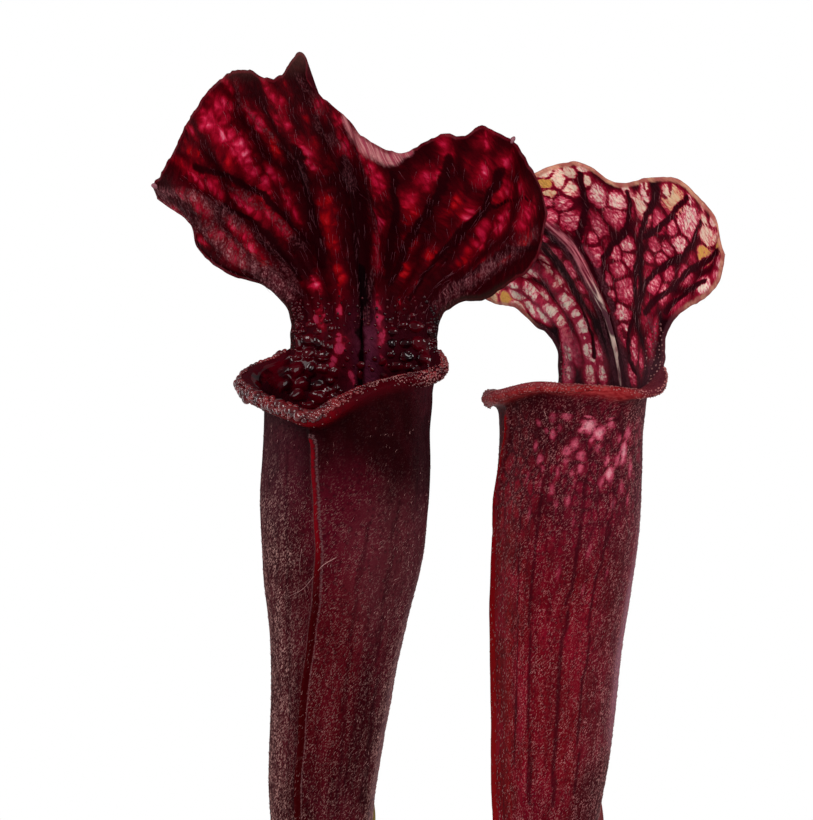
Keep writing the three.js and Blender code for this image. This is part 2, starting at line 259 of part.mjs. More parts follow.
// ---------------------------------------------------------------- pitcher leaf
// A thin hollow shell. Its middle surface is a grid of columns round the tube; the columns
// of the back arc run on above the mouth as the neck and the fan-shaped hood, the columns
// of the front arc end in the rolled rim.
function pitcher(d) {
  const deg = Math.PI / 180;
  const frame = (phi) => ({ W: V(Math.cos(phi * deg), -Math.sin(phi * deg), 0), F: V(-Math.sin(phi * deg), -Math.cos(phi * deg), 0) });
  const zs = d.stations.map((s) => s[0]);
  const tube = (theta, z) => {
    const s = spline(d.stations, indexOf(zs, z));
    const { W, F } = frame(s[5]);
    return V(s[1], s[2], z).addScaledVector(W, s[3] * Math.sin(theta)).addScaledVector(F, -s[4] * Math.cos(theta));
  };
  // rim table runs from -360+thc to -thc; measured the other way round it is the same arc
  const rimAngles = d.rim.map((r) => r[0]);
  const rimAt = (thetaDeg) => { const r = spline(d.rim, indexOf(rimAngles, thetaDeg)); return V(r[1], r[2], r[3]); };
  const hoodAt = (row, s) => {
    const x = indexOf(d.hoodS, s);
    const cols = d.hood.map((r) => {
      const pts = [];
      for (let k = 0; k < r.length; k += 3) pts.push([r[k], r[k + 1], r[k + 2]]);
      return spline(pts, x);
    });
    const p = spline(cols, row);
    return V(p[0], p[1], p[2]);
  };
  const thc = d.thc;
  const sList = [...HOOD_S.slice(1).reverse().map((v) => -v), ...HOOD_S];
  const nb = sList.length - 1;                       // intervals of the back arc
  const cols = [];
  for (const s of sList) cols.push({ s, th: s * thc });
  for (let i = 1; i < FRONT_STEPS; i++) cols.push({ s: null, th: lerp(-360 + thc, -thc, i / FRONT_STEPS) });
  // front columns are listed from +thc onwards: +thc is the same direction as -360+thc
  const nc = cols.length;
  const zEndL = rimAt(-thc).z, zEndR = rimAt(-360 + thc).z;
  const topZ = (c) => {
    if (c.s !== null) return lerp(zEndL, zEndR, (c.s + 1) / 2) - 8;
    const away = Math.min(c.th - (-360 + thc), -thc - c.th);
    return rimAt(c.th).z - lerp(8, 5, smooth(away / 30));
  };
  const R = TUBE_STEPS + FLARE_STEPS;                // row of the rim and the neck
  const rows = [];
  const mid = [];
  for (const c of cols) {
    const col = [];
    const zt = topZ(c);
    const th = c.th * deg;
    for (let i = 0; i <= TUBE_STEPS; i++) {
      const q = Math.pow(i / TUBE_STEPS, 0.9);
      col.push(tube(th, lerp(LEAF_BASE_Z, zt, q)));
    }
    const T = col[TUBE_STEPS];
    if (c.s !== null) {
      const ctrl = [tube(th, zt - 8), T];
      for (let m = 0; m < d.hood.length; m++) ctrl.push(hoodAt(m, c.s));
      const list = ctrl.map((p) => [p.x, p.y, p.z]);
      for (let i = 1; i <= FLARE_STEPS; i++) { const p = spline(list, 1 + i / FLARE_STEPS); col.push(V(...p)); }
      for (let i = 1; i <= HOOD_STEPS; i++) { const p = spline(list, 2 + (d.hood.length - 1) * i / HOOD_STEPS); col.push(V(...p)); }
    } else {
      const E = rimAt(c.th);
      const at = (h, v) => V(lerp(T.x, E.x, h), lerp(T.y, E.y, h), lerp(T.z, E.z, v));
      col.push(at(0.16, 0.45), at(0.52, 0.86), E);
    }
    mid.push(col);
  }
  // faces of the middle surface
  const quads = [];
  for (let j = 0; j < nc; j++) {
    const k = (j + 1) % nc;
    for (let r = 0; r < R; r++) quads.push([[j, r], [k, r], [k, r + 1], [j, r + 1]]);
    if (j < nb) for (let r = R; r < R + HOOD_STEPS; r++) quads.push([[j, r], [k, r], [k, r + 1], [j, r + 1]]);
  }
  const normal = mid.map((c) => c.map(() => V(0, 0, 0)));
  const e1 = V(), e2 = V();
  for (const q of quads) {
    const p = q.map(([j, r]) => mid[j][r]);
    e1.subVectors(p[2], p[0]); e2.subVectors(p[3], p[1]);
    const n = new THREE.Vector3().crossVectors(e2, e1);
    for (const [j, r] of q) normal[j][r].add(n);
  }
  for (const c of normal) for (const n of c) n.normalize();
  const half = (j, r) => {
    if (r <= TUBE_STEPS) return SHELL_HALF;
    if (cols[j].s === null && r <= R) {
      const away = Math.min(cols[j].th - (-360 + thc), -thc - cols[j].th);
      const lobe = d.lobe[1] * Math.exp(-(((cols[j].th - d.lobe[0]) / 20) ** 2));
      return lerp(SHELL_HALF, lerp(0.7, d.roll, smooth(away / 28)) + lobe, (r - TUBE_STEPS) / FLARE_STEPS);
    }
    return lerp(SHELL_HALF, HOOD_HALF, clamp((r - R) / HOOD_STEPS, 0, 1));
  };
  const wing = (j, r) => {
    if (cols[j].s !== null || Math.abs(cols[j].th + 180) > 1) return 0;
    const z = mid[j][r].z;
    if (r > TUBE_STEPS) return 0;
    return WING_H * smooth((z - 108) / 25) * smooth((270 - z) / 30);
  };
  const pos = [], index = [], outer = [], inner = [];
  const push = (p) => { pos.push(p.x, p.y, p.z); return pos.length / 3 - 1; };
  let firstInner = 0;
  while (mid[0][firstInner].z < CAVITY_FLOOR_Z) firstInner++;
  for (let j = 0; j < nc; j++) {
    outer.push(mid[j].map((p, r) => push(p.clone().addScaledVector(normal[j][r], half(j, r) + wing(j, r)))));
    inner.push(mid[j].map((p, r) => (r < firstInner ? -1 : push(p.clone().addScaledVector(normal[j][r], -half(j, r))))));
  }
  for (const q of quads) {
    const o = q.map(([j, r]) => outer[j][r]);
    index.push(o[0], o[1], o[2], o[0], o[2], o[3]);
    if (Math.min(...q.map(([, r]) => r)) >= firstInner) {
      const i = q.map(([j, r]) => inner[j][r]);
      index.push(i[0], i[2], i[1], i[0], i[3], i[2]);
    }
  }
  // stalk end and cavity floor
  const centre = (list, dz) => {
    const c = V(0, 0, 0);
    for (const i of list) c.add(V(pos[i * 3], pos[i * 3 + 1], pos[i * 3 + 2]));
    c.divideScalar(list.length); c.z += dz; return push(c);
  };
  const lowRing = outer.map((c) => c[0]), floorRing = inner.map((c) => c[firstInner]);
  const lo = centre(lowRing, 0), fl = centre(floorRing, -3);
  for (let j = 0; j < nc; j++) {
    const k = (j + 1) % nc;
    index.push(lo, lowRing[k], lowRing[j]);
    index.push(fl, floorRing[j], floorRing[k]);
  }
  // edge strip: rim from +thc round the front to -thc, then the hood margin back again
  const loop = [];
  for (let j = nb; j < nc; j++) loop.push([j, R]);
  loop.push([0, R]);
  for (let r = R + 1; r <= R + HOOD_STEPS; r++) loop.push([0, r]);
  for (let j = 1; j <= nb; j++) loop.push([j, R + HOOD_STEPS]);
  for (let r = R + HOOD_STEPS - 1; r > R; r--) loop.push([nb, r]);
  const edge = loop.map(([j, r], n) => {
    const a = loop[(n + loop.length - 1) % loop.length], b = loop[(n + 1) % loop.length];
    const along = new THREE.Vector3().subVectors(mid[b[0]][b[1]], mid[a[0]][a[1]]).normalize();
    const out = new THREE.Vector3().crossVectors(along, normal[j][r]).normalize();
    return push(mid[j][r].clone().addScaledVector(out, half(j, r) * 0.8));
  });
  for (let n = 0; n < loop.length; n++) {
    const m = (n + 1) % loop.length;
    const [j, r] = loop[n], [k, s] = loop[m];
    index.push(outer[j][r], outer[k][s], edge[m], outer[j][r], edge[m], edge[n]);
    index.push(edge[n], edge[m], inner[k][s], edge[n], inner[k][s], inner[j][r]);
  }
  return solidGeometry(pos, index);
}

// ---------------------------------------------------------------- rhizome and roots
const RHIZOME_PATH = [[-36, -17.5], [-27, -12.5], [-14, -5], [1, 2.5], [14, 10.5], [25, 18.5], [31, 23.5]];
const RHIZOME_RADII = [4.2, 6.9, 6.1, 6.4, 6.2, 6.9, 4.4];
const ROOTS = [
  [[-22, -9, 91], [-28, -18, 78], [-30, -24, 60], [-26, -27, 42], [-20, -24, 28]],
  [[-30, -14, 92], [-36, -8, 80], [-38, 4, 66], [-33, 14, 50], [-30, 18, 34]],
  [[-6, 0, 91], [-5, -10, 78], [2, -20, 62], [8, -27, 44], [6, -30, 26]],
  [[4, 4, 91], [0, 14, 80], [-8, 24, 66], [-10, 32, 50], [-6, 34, 32]],
  [[16, 12, 91], [24, 2, 80], [32, -8, 66], [34, -16, 48], [30, -20, 30]],
  [[24, 18, 91], [27, 26, 78], [26, 34, 62], [20, 36, 44], [14, 34, 26]],
];
const ROOT_R = 1.1;
function rhizomeSolid(grow) {
  const pts = RHIZOME_PATH.map((p, i) => [p[0], p[1], RHIZOME_Z + (i % 2 ? 0.3 : -0.3)]);
  const sides = 12, rings = [], n = 15;
  const along = V(RHIZOME_PATH[6][0] - RHIZOME_PATH[0][0], RHIZOME_PATH[6][1] - RHIZOME_PATH[0][1], 0).normalize();
  const across = V(-along.y, along.x, 0);
  for (let i = 0; i < n; i++) {
    const x = (i / (n - 1)) * 6;
    const c = spline(pts, x);
    const r = spline(RHIZOME_RADII.map((v) => [v]), x)[0] * (i % 2 ? 0.97 : 1.0) + grow;
    const ring = [];
    for (let k = 0; k < sides; k++) {
      const a = (k / sides) * 2 * Math.PI;
      ring.push(V(c[0], c[1], c[2]).addScaledVector(across, r * Math.cos(a)).add(V(0, 0, r * Math.sin(a))));
    }
    rings.push(ring);
  }
  const a = V(...pts[0]).addScaledVector(along, -2.6 - grow), b = V(...pts[6]).addScaledVector(along, 2.6 + grow);
  let solid = toManifold(loft(rings, a, b));
  for (const root of ROOTS) {
    const p = root.map((q) => V(...q));
    const last = p[4].clone().sub(p[3]).normalize();
    p[4].addScaledVector(last, grow);
    const circle = new THREE.Shape();
    const rr = ROOT_R + grow;
    for (let k = 0; k < 6; k++) {
      const t = (k / 6) * 2 * Math.PI;
      if (k) circle.lineTo(rr * Math.cos(t), rr * Math.sin(t)); else circle.moveTo(rr, 0);
    }
    circle.closePath();
    const g = new THREE.ExtrudeGeometry(circle, { steps: 7, extrudePath: new THREE.CatmullRomCurve3(p), bevelEnabled: false });
    solid = solid.add(toManifold(g));
  }
  return solid;
}

// ---------------------------------------------------------------- potting mix
function pottingMix() {
  const innerR = (z) => lerp(POT_R_FOOT, POT_R_TOP, z / POT_H) - POT_WALL - GAP;
  const z0 = POT_FLOOR + GAP;
  const prof = [
    [0, z0], [innerR(z0) - 2.2, z0], [innerR(z0 + 2.2), z0 + 2.2], [innerR(52), 52], [innerR(MIX_TOP) - 0.6, MIX_TOP - 0.4],
    [innerR(MIX_TOP) - 3, MIX_TOP + 0.2], [46, MIX_TOP + 0.5], [34, MIX_TOP - 0.1], [22, MIX_TOP + 0.6], [11, MIX_TOP + 0.2], [0, MIX_TOP + 0.4],
  ];
  const g = new THREE.LatheGeometry(prof.map((p) => new THREE.Vector2(p[0], p[1])), 36);
  g.rotateX(Math.PI / 2);
  return fromManifold(toManifold(g).subtract(rhizomeSolid(GAP)));
}

// ---------------------------------------------------------------- pot
function pot() {
  const wallOut = (z) => lerp(POT_R_FOOT, POT_R_TOP, z / POT_H);
  const rimZ = POT_H - POT_RIM_H;
  const prof = [
    [0, 0], [POT_R_FOOT - POT_FOOT_CHAMFER, 0], [wallOut(POT_FOOT_CHAMFER), POT_FOOT_CHAMFER],
    [wallOut(rimZ), rimZ], [wallOut(rimZ) + POT_RIM_OUT, rimZ + 1.2],
    [POT_R_TOP + POT_RIM_OUT, POT_H - 1], [POT_R_TOP + POT_RIM_OUT - 0.9, POT_H],
    [POT_R_TOP - POT_WALL + 0.8, POT_H], [POT_R_TOP - POT_WALL, POT_H - 0.8],
    [wallOut(POT_FLOOR + 2) - POT_WALL, POT_FLOOR + 2], [wallOut(POT_FLOOR) - POT_WALL - 2, POT_FLOOR], [0, POT_FLOOR],
  ];
  const g = new THREE.LatheGeometry(prof.map((p) => new THREE.Vector2(p[0], p[1])), POT_SEGMENTS);
  g.rotateX(Math.PI / 2);
  let solid = toManifold(g);
  for (let i = 0; i < DRAIN_HOLES; i++) {
    const a = ((i + 0.5) / DRAIN_HOLES) * 2 * Math.PI;
    const c = new THREE.CylinderGeometry(DRAIN_R, DRAIN_R, 12, 16);
    c.rotateX(Math.PI / 2);
    c.translate(DRAIN_CIRCLE * Math.cos(a), DRAIN_CIRCLE * Math.sin(a), 0);
    solid = solid.subtract(toManifold(c));
  }
  return fromManifold(solid);
}

// ---------------------------------------------------------------- the two small leaves
// centre x, y, z, half width, half depth, turn of the section in degrees
const OLD_LEAF = [
  [-19.2, -6.6, 103.2, 3.1, 2.4, 20], [-19.0, -5.6, 110, 3.0, 2.1, 18], [-18.6, -3.8, 124, 3.1, 1.6, 12], [-18.0, -1.6, 140, 3.9, 1.4, 6],
  [-17.2, 0.8, 156, 4.6, 1.3, 2], [-16.4, 2.8, 172, 4.5, 1.2, 0], [-15.7, 4.3, 185, 3.7, 1.1, -2], [-15.1, 5.2, 194, 2.7, 0.9, -4], [-14.6, 5.6, 199.6, 1.1, 0.6, -6],
];
const YOUNG_PITCHER = [
  [25.0, 18.6, 103.2, 3.1, 3.1, 60], [25.4, 19.4, 110, 2.9, 2.9, 60], [26.4, 21.4, 124, 2.8, 2.8, 60], [27.8, 24.0, 140, 3.0, 2.9, 60],
  [29.4, 26.8, 156, 3.6, 3.3, 60], [31.2, 29.4, 170, 4.3, 3.8, 60], [32.4, 31.0, 180, 4.4, 3.8, 60], [33.3, 32.2, 188, 3.6, 3.1, 60], [33.8, 32.8, 193.5, 2.2, 1.9, 60],
];
function smallLeaf(table, sides, tip) {
  const rings = table.map(([x, y, z, a, b, turn]) => {
    const t = (turn * Math.PI) / 180;
    const u = V(Math.cos(t), -Math.sin(t), 0), v = V(Math.sin(t), Math.cos(t), 0);
    const ring = [];
    for (let k = 0; k < sides; k++) {
      const w = (k / sides) * 2 * Math.PI;
      ring.push(V(x, y, z).addScaledVector(u, a * Math.cos(w)).addScaledVector(v, b * Math.sin(w)));
    }
    return ring;
  });
  const f = table[0];
  return loft(rings, V(f[0], f[1], f[2]), V(...tip));
}

// ---------------------------------------------------------------- assembly
const material = (color, roughness) => new THREE.MeshStandardMaterial({ color, roughness, metalness: 0 });
function piece(name, geometry, mat) {
  const m = new THREE.Mesh(geometry, mat);
  m.name = name;
  return m;
}

const plant = new THREE.Group();
plant.add(
  piece('left_pitcher', pitcher(LEFT), material(0x4a0f18, 0.55)),
  piece('right_pitcher', pitcher(RIGHT), material(0x8a2433, 0.55)),
  piece('old_leaf', smallLeaf(OLD_LEAF, 10, [-14.4, 5.7, 201]), material(0x8a7a3a, 0.7)),
  piece('young_pitcher', smallLeaf(YOUNG_PITCHER, 10, [34.1, 33.2, 197.2]), material(0x7d1e22, 0.55)),
  piece('rhizome', fromManifold(rhizomeSolid(0)), material(0x5a3a24, 0.85)),
);
const potted = new THREE.Group();
potted.add(
  piece('potting_mix', pottingMix(), material(0x3a2a20, 0.95)),
  piece('pot', pot(), material(0xa6583a, 0.65)),
);
const model = new THREE.Group();
model.add(plant, potted);
export default model;
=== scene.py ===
import bpy, bmesh, math
import numpy as np
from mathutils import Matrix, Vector


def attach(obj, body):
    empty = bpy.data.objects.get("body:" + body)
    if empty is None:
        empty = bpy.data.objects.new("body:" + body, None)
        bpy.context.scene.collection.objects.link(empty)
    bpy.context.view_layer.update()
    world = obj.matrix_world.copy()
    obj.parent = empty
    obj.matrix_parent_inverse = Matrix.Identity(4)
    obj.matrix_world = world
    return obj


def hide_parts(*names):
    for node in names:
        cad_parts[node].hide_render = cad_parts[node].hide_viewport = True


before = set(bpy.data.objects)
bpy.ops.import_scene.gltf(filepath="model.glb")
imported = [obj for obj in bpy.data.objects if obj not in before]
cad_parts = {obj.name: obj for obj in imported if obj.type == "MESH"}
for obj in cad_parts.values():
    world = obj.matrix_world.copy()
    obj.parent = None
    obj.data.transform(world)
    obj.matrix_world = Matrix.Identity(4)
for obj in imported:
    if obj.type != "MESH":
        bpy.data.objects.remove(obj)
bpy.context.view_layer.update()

rng = np.random.default_rng(7)

# ------------------------------------------------------------------ camera
# The view is level with the hoods, 650 mm from the left pitcher, looking slightly down.
ELEV, DIST, LENS = math.radians(3.0), 650.0, 142.7
TGT = np.array([-5.5, -8.0, 277.0])
EYE = TGT + DIST * np.array([0, -math.cos(ELEV), math.sin(ELEV)])
FWD = np.array([0, math.cos(ELEV), -math.sin(ELEV)])
UPV = np.array([0, math.sin(ELEV), math.cos(ELEV)])
PXK = 36.0 / 820.0 / LENS

cam_data = bpy.data.cameras.new("camera")
cam_data.lens = LENS
cam_data.sensor_width = 36.0
cam_data.sensor_fit = 'AUTO'
cam_data.clip_start, cam_data.clip_end = 0.02, 20.0
cam = bpy.data.objects.new("camera", cam_data)
bpy.context.collection.objects.link(cam)
cam.location = Vector(EYE * 0.001)
cam.rotation_mode = 'QUATERNION'
cam.rotation_quaternion = Vector(FWD).to_track_quat('-Z', 'Y')
bpy.context.scene.camera = cam


def flat(P):
    """Places on the flat plane that the hood patterns are laid out on, in 0.2 mm units."""
    d = P - EYE
    z = d @ FWD
    return np.stack([406.5 + d[..., 0] / z / PXK, 410 - (d @ UPV) / z / PXK], -1)


# ------------------------------------------------------------------ mesh helpers
def mk_mesh(name, verts, quads=None, tris=None, smooth=True, mm=True):
    verts = np.asarray(verts, float)
    me = bpy.data.meshes.new(name)
    q = np.zeros((0, 4), int) if quads is None or len(quads) == 0 else np.asarray(quads, int)
    t = np.zeros((0, 3), int) if tris is None or len(tris) == 0 else np.asarray(tris, int)
    me.vertices.add(len(verts))
    me.vertices.foreach_set("co", (verts * (0.001 if mm else 1)).astype(np.float32).ravel())
    me.loops.add(q.size + t.size)
    me.loops.foreach_set("vertex_index", np.concatenate([q.ravel(), t.ravel()]).astype(np.int32))
    me.polygons.add(len(q) + len(t))
    me.polygons.foreach_set("loop_start", np.concatenate([np.arange(len(q)) * 4, q.size + np.arange(len(t)) * 3]).astype(np.int32))
    me.polygons.foreach_set("loop_total", np.concatenate([np.full(len(q), 4), np.full(len(t), 3)]).astype(np.int32))
    me.update(calc_edges=True)
    me.polygons.foreach_set("use_smooth", np.full(len(q) + len(t), smooth))
    return me


def mk_object(name, me, mat, body="root"):
    ob = bpy.data.objects.new(name, me)
    bpy.context.collection.objects.link(ob)
    if mat is not None:
        me.materials.append(mat)
    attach(ob, body)
    return ob


def put(me, name, values):
    values = np.asarray(values, np.float32)
    kind = 'FLOAT' if values.ndim == 1 else 'FLOAT_VECTOR'
    a = me.attributes.new(name, kind, 'POINT')
    a.data.foreach_set('value' if values.ndim == 1 else 'vector', values.ravel())


def sm(x, a=0.0, b=1.0):
    t = np.clip((np.asarray(x, float) - a) / (b - a), 0, 1)
    return t * t * (3 - 2 * t)


def herm(x, xs, ys):
    """Smooth curve through uneven stations; ys may have several columns."""
    xs = np.asarray(xs, float); ys = np.asarray(ys, float)
    h = np.diff(xs)
    d = np.diff(ys, axis=0) / h.reshape((-1,) + (1,) * (ys.ndim - 1))
    hh = h.reshape((-1,) + (1,) * (ys.ndim - 1))
    m = np.empty_like(ys)
    m[1:-1] = (d[1:] * hh[:-1] + d[:-1] * hh[1:]) / (hh[:-1] + hh[1:])
    m[0], m[-1] = d[0], d[-1]
    x = np.clip(x, xs[0], xs[-1])
    i = np.clip(np.searchsorted(xs, x, side='right') - 1, 0, len(xs) - 2)
    t = (x - xs[i]) / h[i]
    sh = t.shape + (1,) * (ys.ndim - 1)
    t = t.reshape(sh); hi_ = h[i].reshape(sh)
    return ((2 * t**3 - 3 * t**2 + 1) * ys[i] + (t**3 - 2 * t**2 + t) * hi_ * m[i]
            + (-2 * t**3 + 3 * t**2) * ys[i + 1] + (t**3 - t**2) * hi_ * m[i + 1])


def catmull(rows, x):
    """Uniform Catmull-Rom through rows[n, ...] at the index x[...]."""
    rows = np.asarray(rows, float); n = len(rows)
    x = np.clip(np.asarray(x, float), 0, n - 1)
    i = np.minimum(x.astype(int), n - 2)
    t = (x - i).reshape(x.shape + (1,) * (rows.ndim - 1))
    e = np.concatenate([[2 * rows[0] - rows[1]], rows, [2 * rows[-1] - rows[-2]]])
    a, b, c, d = e[i], e[i + 1], e[i + 2], e[i + 3]
    return 0.5 * (2 * b + (c - a) * t + (2 * a - 5 * b + 4 * c - d) * t * t + (3 * b - a - 3 * c + d) * t**3)


def vnoise(p, seed=0):
    """Smooth value noise in any number of dimensions, about -1..1."""
    p = np.asarray(p, float)
    i = np.floor(p).astype(np.int64); f = p - i; f = f * f * (3 - 2 * f)
    k = p.shape[-1]; out = 0
    for c in range(2 ** k):
        bits = np.array([(c >> b) & 1 for b in range(k)])
        h = np.full(p.shape[:-1], seed * 7919 + 12345, np.int64)
        for b in range(k):
            h = (h ^ ((i[..., b] + bits[b]) * [73856093, 19349663, 83492791][b])) & 0x7fffffff
            h = (h * 1103515245 + 12345) & 0x7fffffff
        v = ((h >> 8) & 0xffff) / 32767.5 - 1
        w = np.prod(np.where(bits == 1, f, 1 - f), axis=-1)
        out = out + v * w
    return out


def fbm(p, seed=0, octaves=3):
    s, a, t = 0, 1.0, 0
    for o in range(octaves):
        s = s + a * vnoise(np.asarray(p) * 2 ** o + 17.3 * o, seed + o); t += a; a *= 0.5
    return s / t


# ------------------------------------------------------------------ node helpers
class Net:
    def __init__(self, name):
        self.mat = bpy.data.materials.new(name)
        self.mat.use_nodes = True
        self.t = self.mat.node_tree
        self.t.nodes.clear()
        self.out = self.t.nodes.new('ShaderNodeOutputMaterial')
        self.b = self.t.nodes.new('ShaderNodeBsdfPrincipled')
        self.t.links.new(self.b.outputs[0], self.out.inputs['Surface'])

    def n(self, kind, **kw):
        nd = self.t.nodes.new(kind)
        for k, v in kw.items():
            setattr(nd, k, v)
        return nd

    def put(self, socket, v):
        if isinstance(v, bpy.types.NodeSocket):
            self.t.links.new(v, socket)
        elif v is not None:
            socket.default_value = v

    def attr(self, name, out='Fac'):
        return self.n('ShaderNodeAttribute', attribute_name=name).outputs[out]

    def math(self, op, a, b=None, clamp=False):
        nd = self.n('ShaderNodeMath', operation=op, use_clamp=clamp)
        self.put(nd.inputs[0], a)
        if b is not None:
            self.put(nd.inputs[1], b)
        return nd.outputs[0]

    def step(self, x, a, b, lo=0.0, hi=1.0):
        nd = self.n('ShaderNodeMapRange', interpolation_type='SMOOTHSTEP')
        self.put(nd.inputs['Value'], x)
        nd.inputs['From Min'].default_value = a
        nd.inputs['From Max'].default_value = b
        nd.inputs['To Min'].default_value = lo
        nd.inputs['To Max'].default_value = hi
        return nd.outputs[0]

    def mix(self, f, a, b, blend='MIX'):
        nd = self.n('ShaderNodeMix', data_type='RGBA', blend_type=blend, clamp_factor=True)
        self.put(nd.inputs[0], f)
        self.put(nd.inputs[6], a)
        self.put(nd.inputs[7], b)
        return nd.outputs[2]

    def noise(self, co, scale, detail=2.0, rough=0.5, dist=0.0):
        nd = self.n('ShaderNodeTexNoise')
        self.put(nd.inputs['Vector'], co)
        nd.inputs['Scale'].default_value = scale
        nd.inputs['Detail'].default_value = detail
        nd.inputs['Roughness'].default_value = rough
        nd.inputs['Distortion'].default_value = dist
        return nd.outputs[0]

    def voro(self, co, scale, feature='F1', rand=1.0):
        nd = self.n('ShaderNodeTexVoronoi', feature=feature)
        self.put(nd.inputs['Vector'], co)
        nd.inputs['Scale'].default_value = scale
        nd.inputs['Randomness'].default_value = rand
        return nd.outputs[0]

    def comb(self, x, y, z):
        nd = self.n('ShaderNodeCombineXYZ')
        for k, v in enumerate((x, y, z)):
            self.put(nd.inputs[k], v)
        return nd.outputs[0]

    def scaled(self, co, s):
        nd = self.n('ShaderNodeMapping')
        self.put(nd.inputs['Vector'], co)
        nd.inputs['Scale'].default_value = s
        return nd.outputs[0]

    def turned(self, co, angle):
        nd = self.n('ShaderNodeVectorRotate', rotation_type='Z_AXIS')
        self.put(nd.inputs['Vector'], co)
        nd.inputs['Angle'].default_value = angle
        return nd.outputs[0]

    def bump(self, h, strength, dist_mm, normal=None):
        nd = self.n('ShaderNodeBump')
        self.put(nd.inputs['Height'], h)
        nd.inputs['Strength'].default_value = strength
        nd.inputs['Distance'].default_value = dist_mm * 0.001
        if normal is not None:
            self.put(nd.inputs['Normal'], normal)
        return nd.outputs[0]

    def ramp(self, x, stops):
        nd = self.n('ShaderNodeValToRGB')
        cr = nd.color_ramp
        cr.elements[0].position, cr.elements[0].color = stops[0][0], stops[0][1]
        cr.elements[1].position, cr.elements[1].color = stops[-1][0], stops[-1][1]
        for p, c in stops[1:-1]:
            e = cr.elements.new(p); e.color = c
        self.put(nd.inputs[0], x)
        return nd.outputs[0]

    def set(self, **kw):
        for k, v in kw.items():
            self.put(self.b.inputs[k.replace('_', ' ')], v)


def rgb(r, g, b, k=1.0):
    """A screen colour of 0..255 as a linear one."""
    f = lambda c: ((c / 255) / 12.92 if c / 255 <= 0.04045 else ((c / 255 + 0.055) / 1.055) ** 2.4) * k
    return (f(r), f(g), f(b), 1.0)

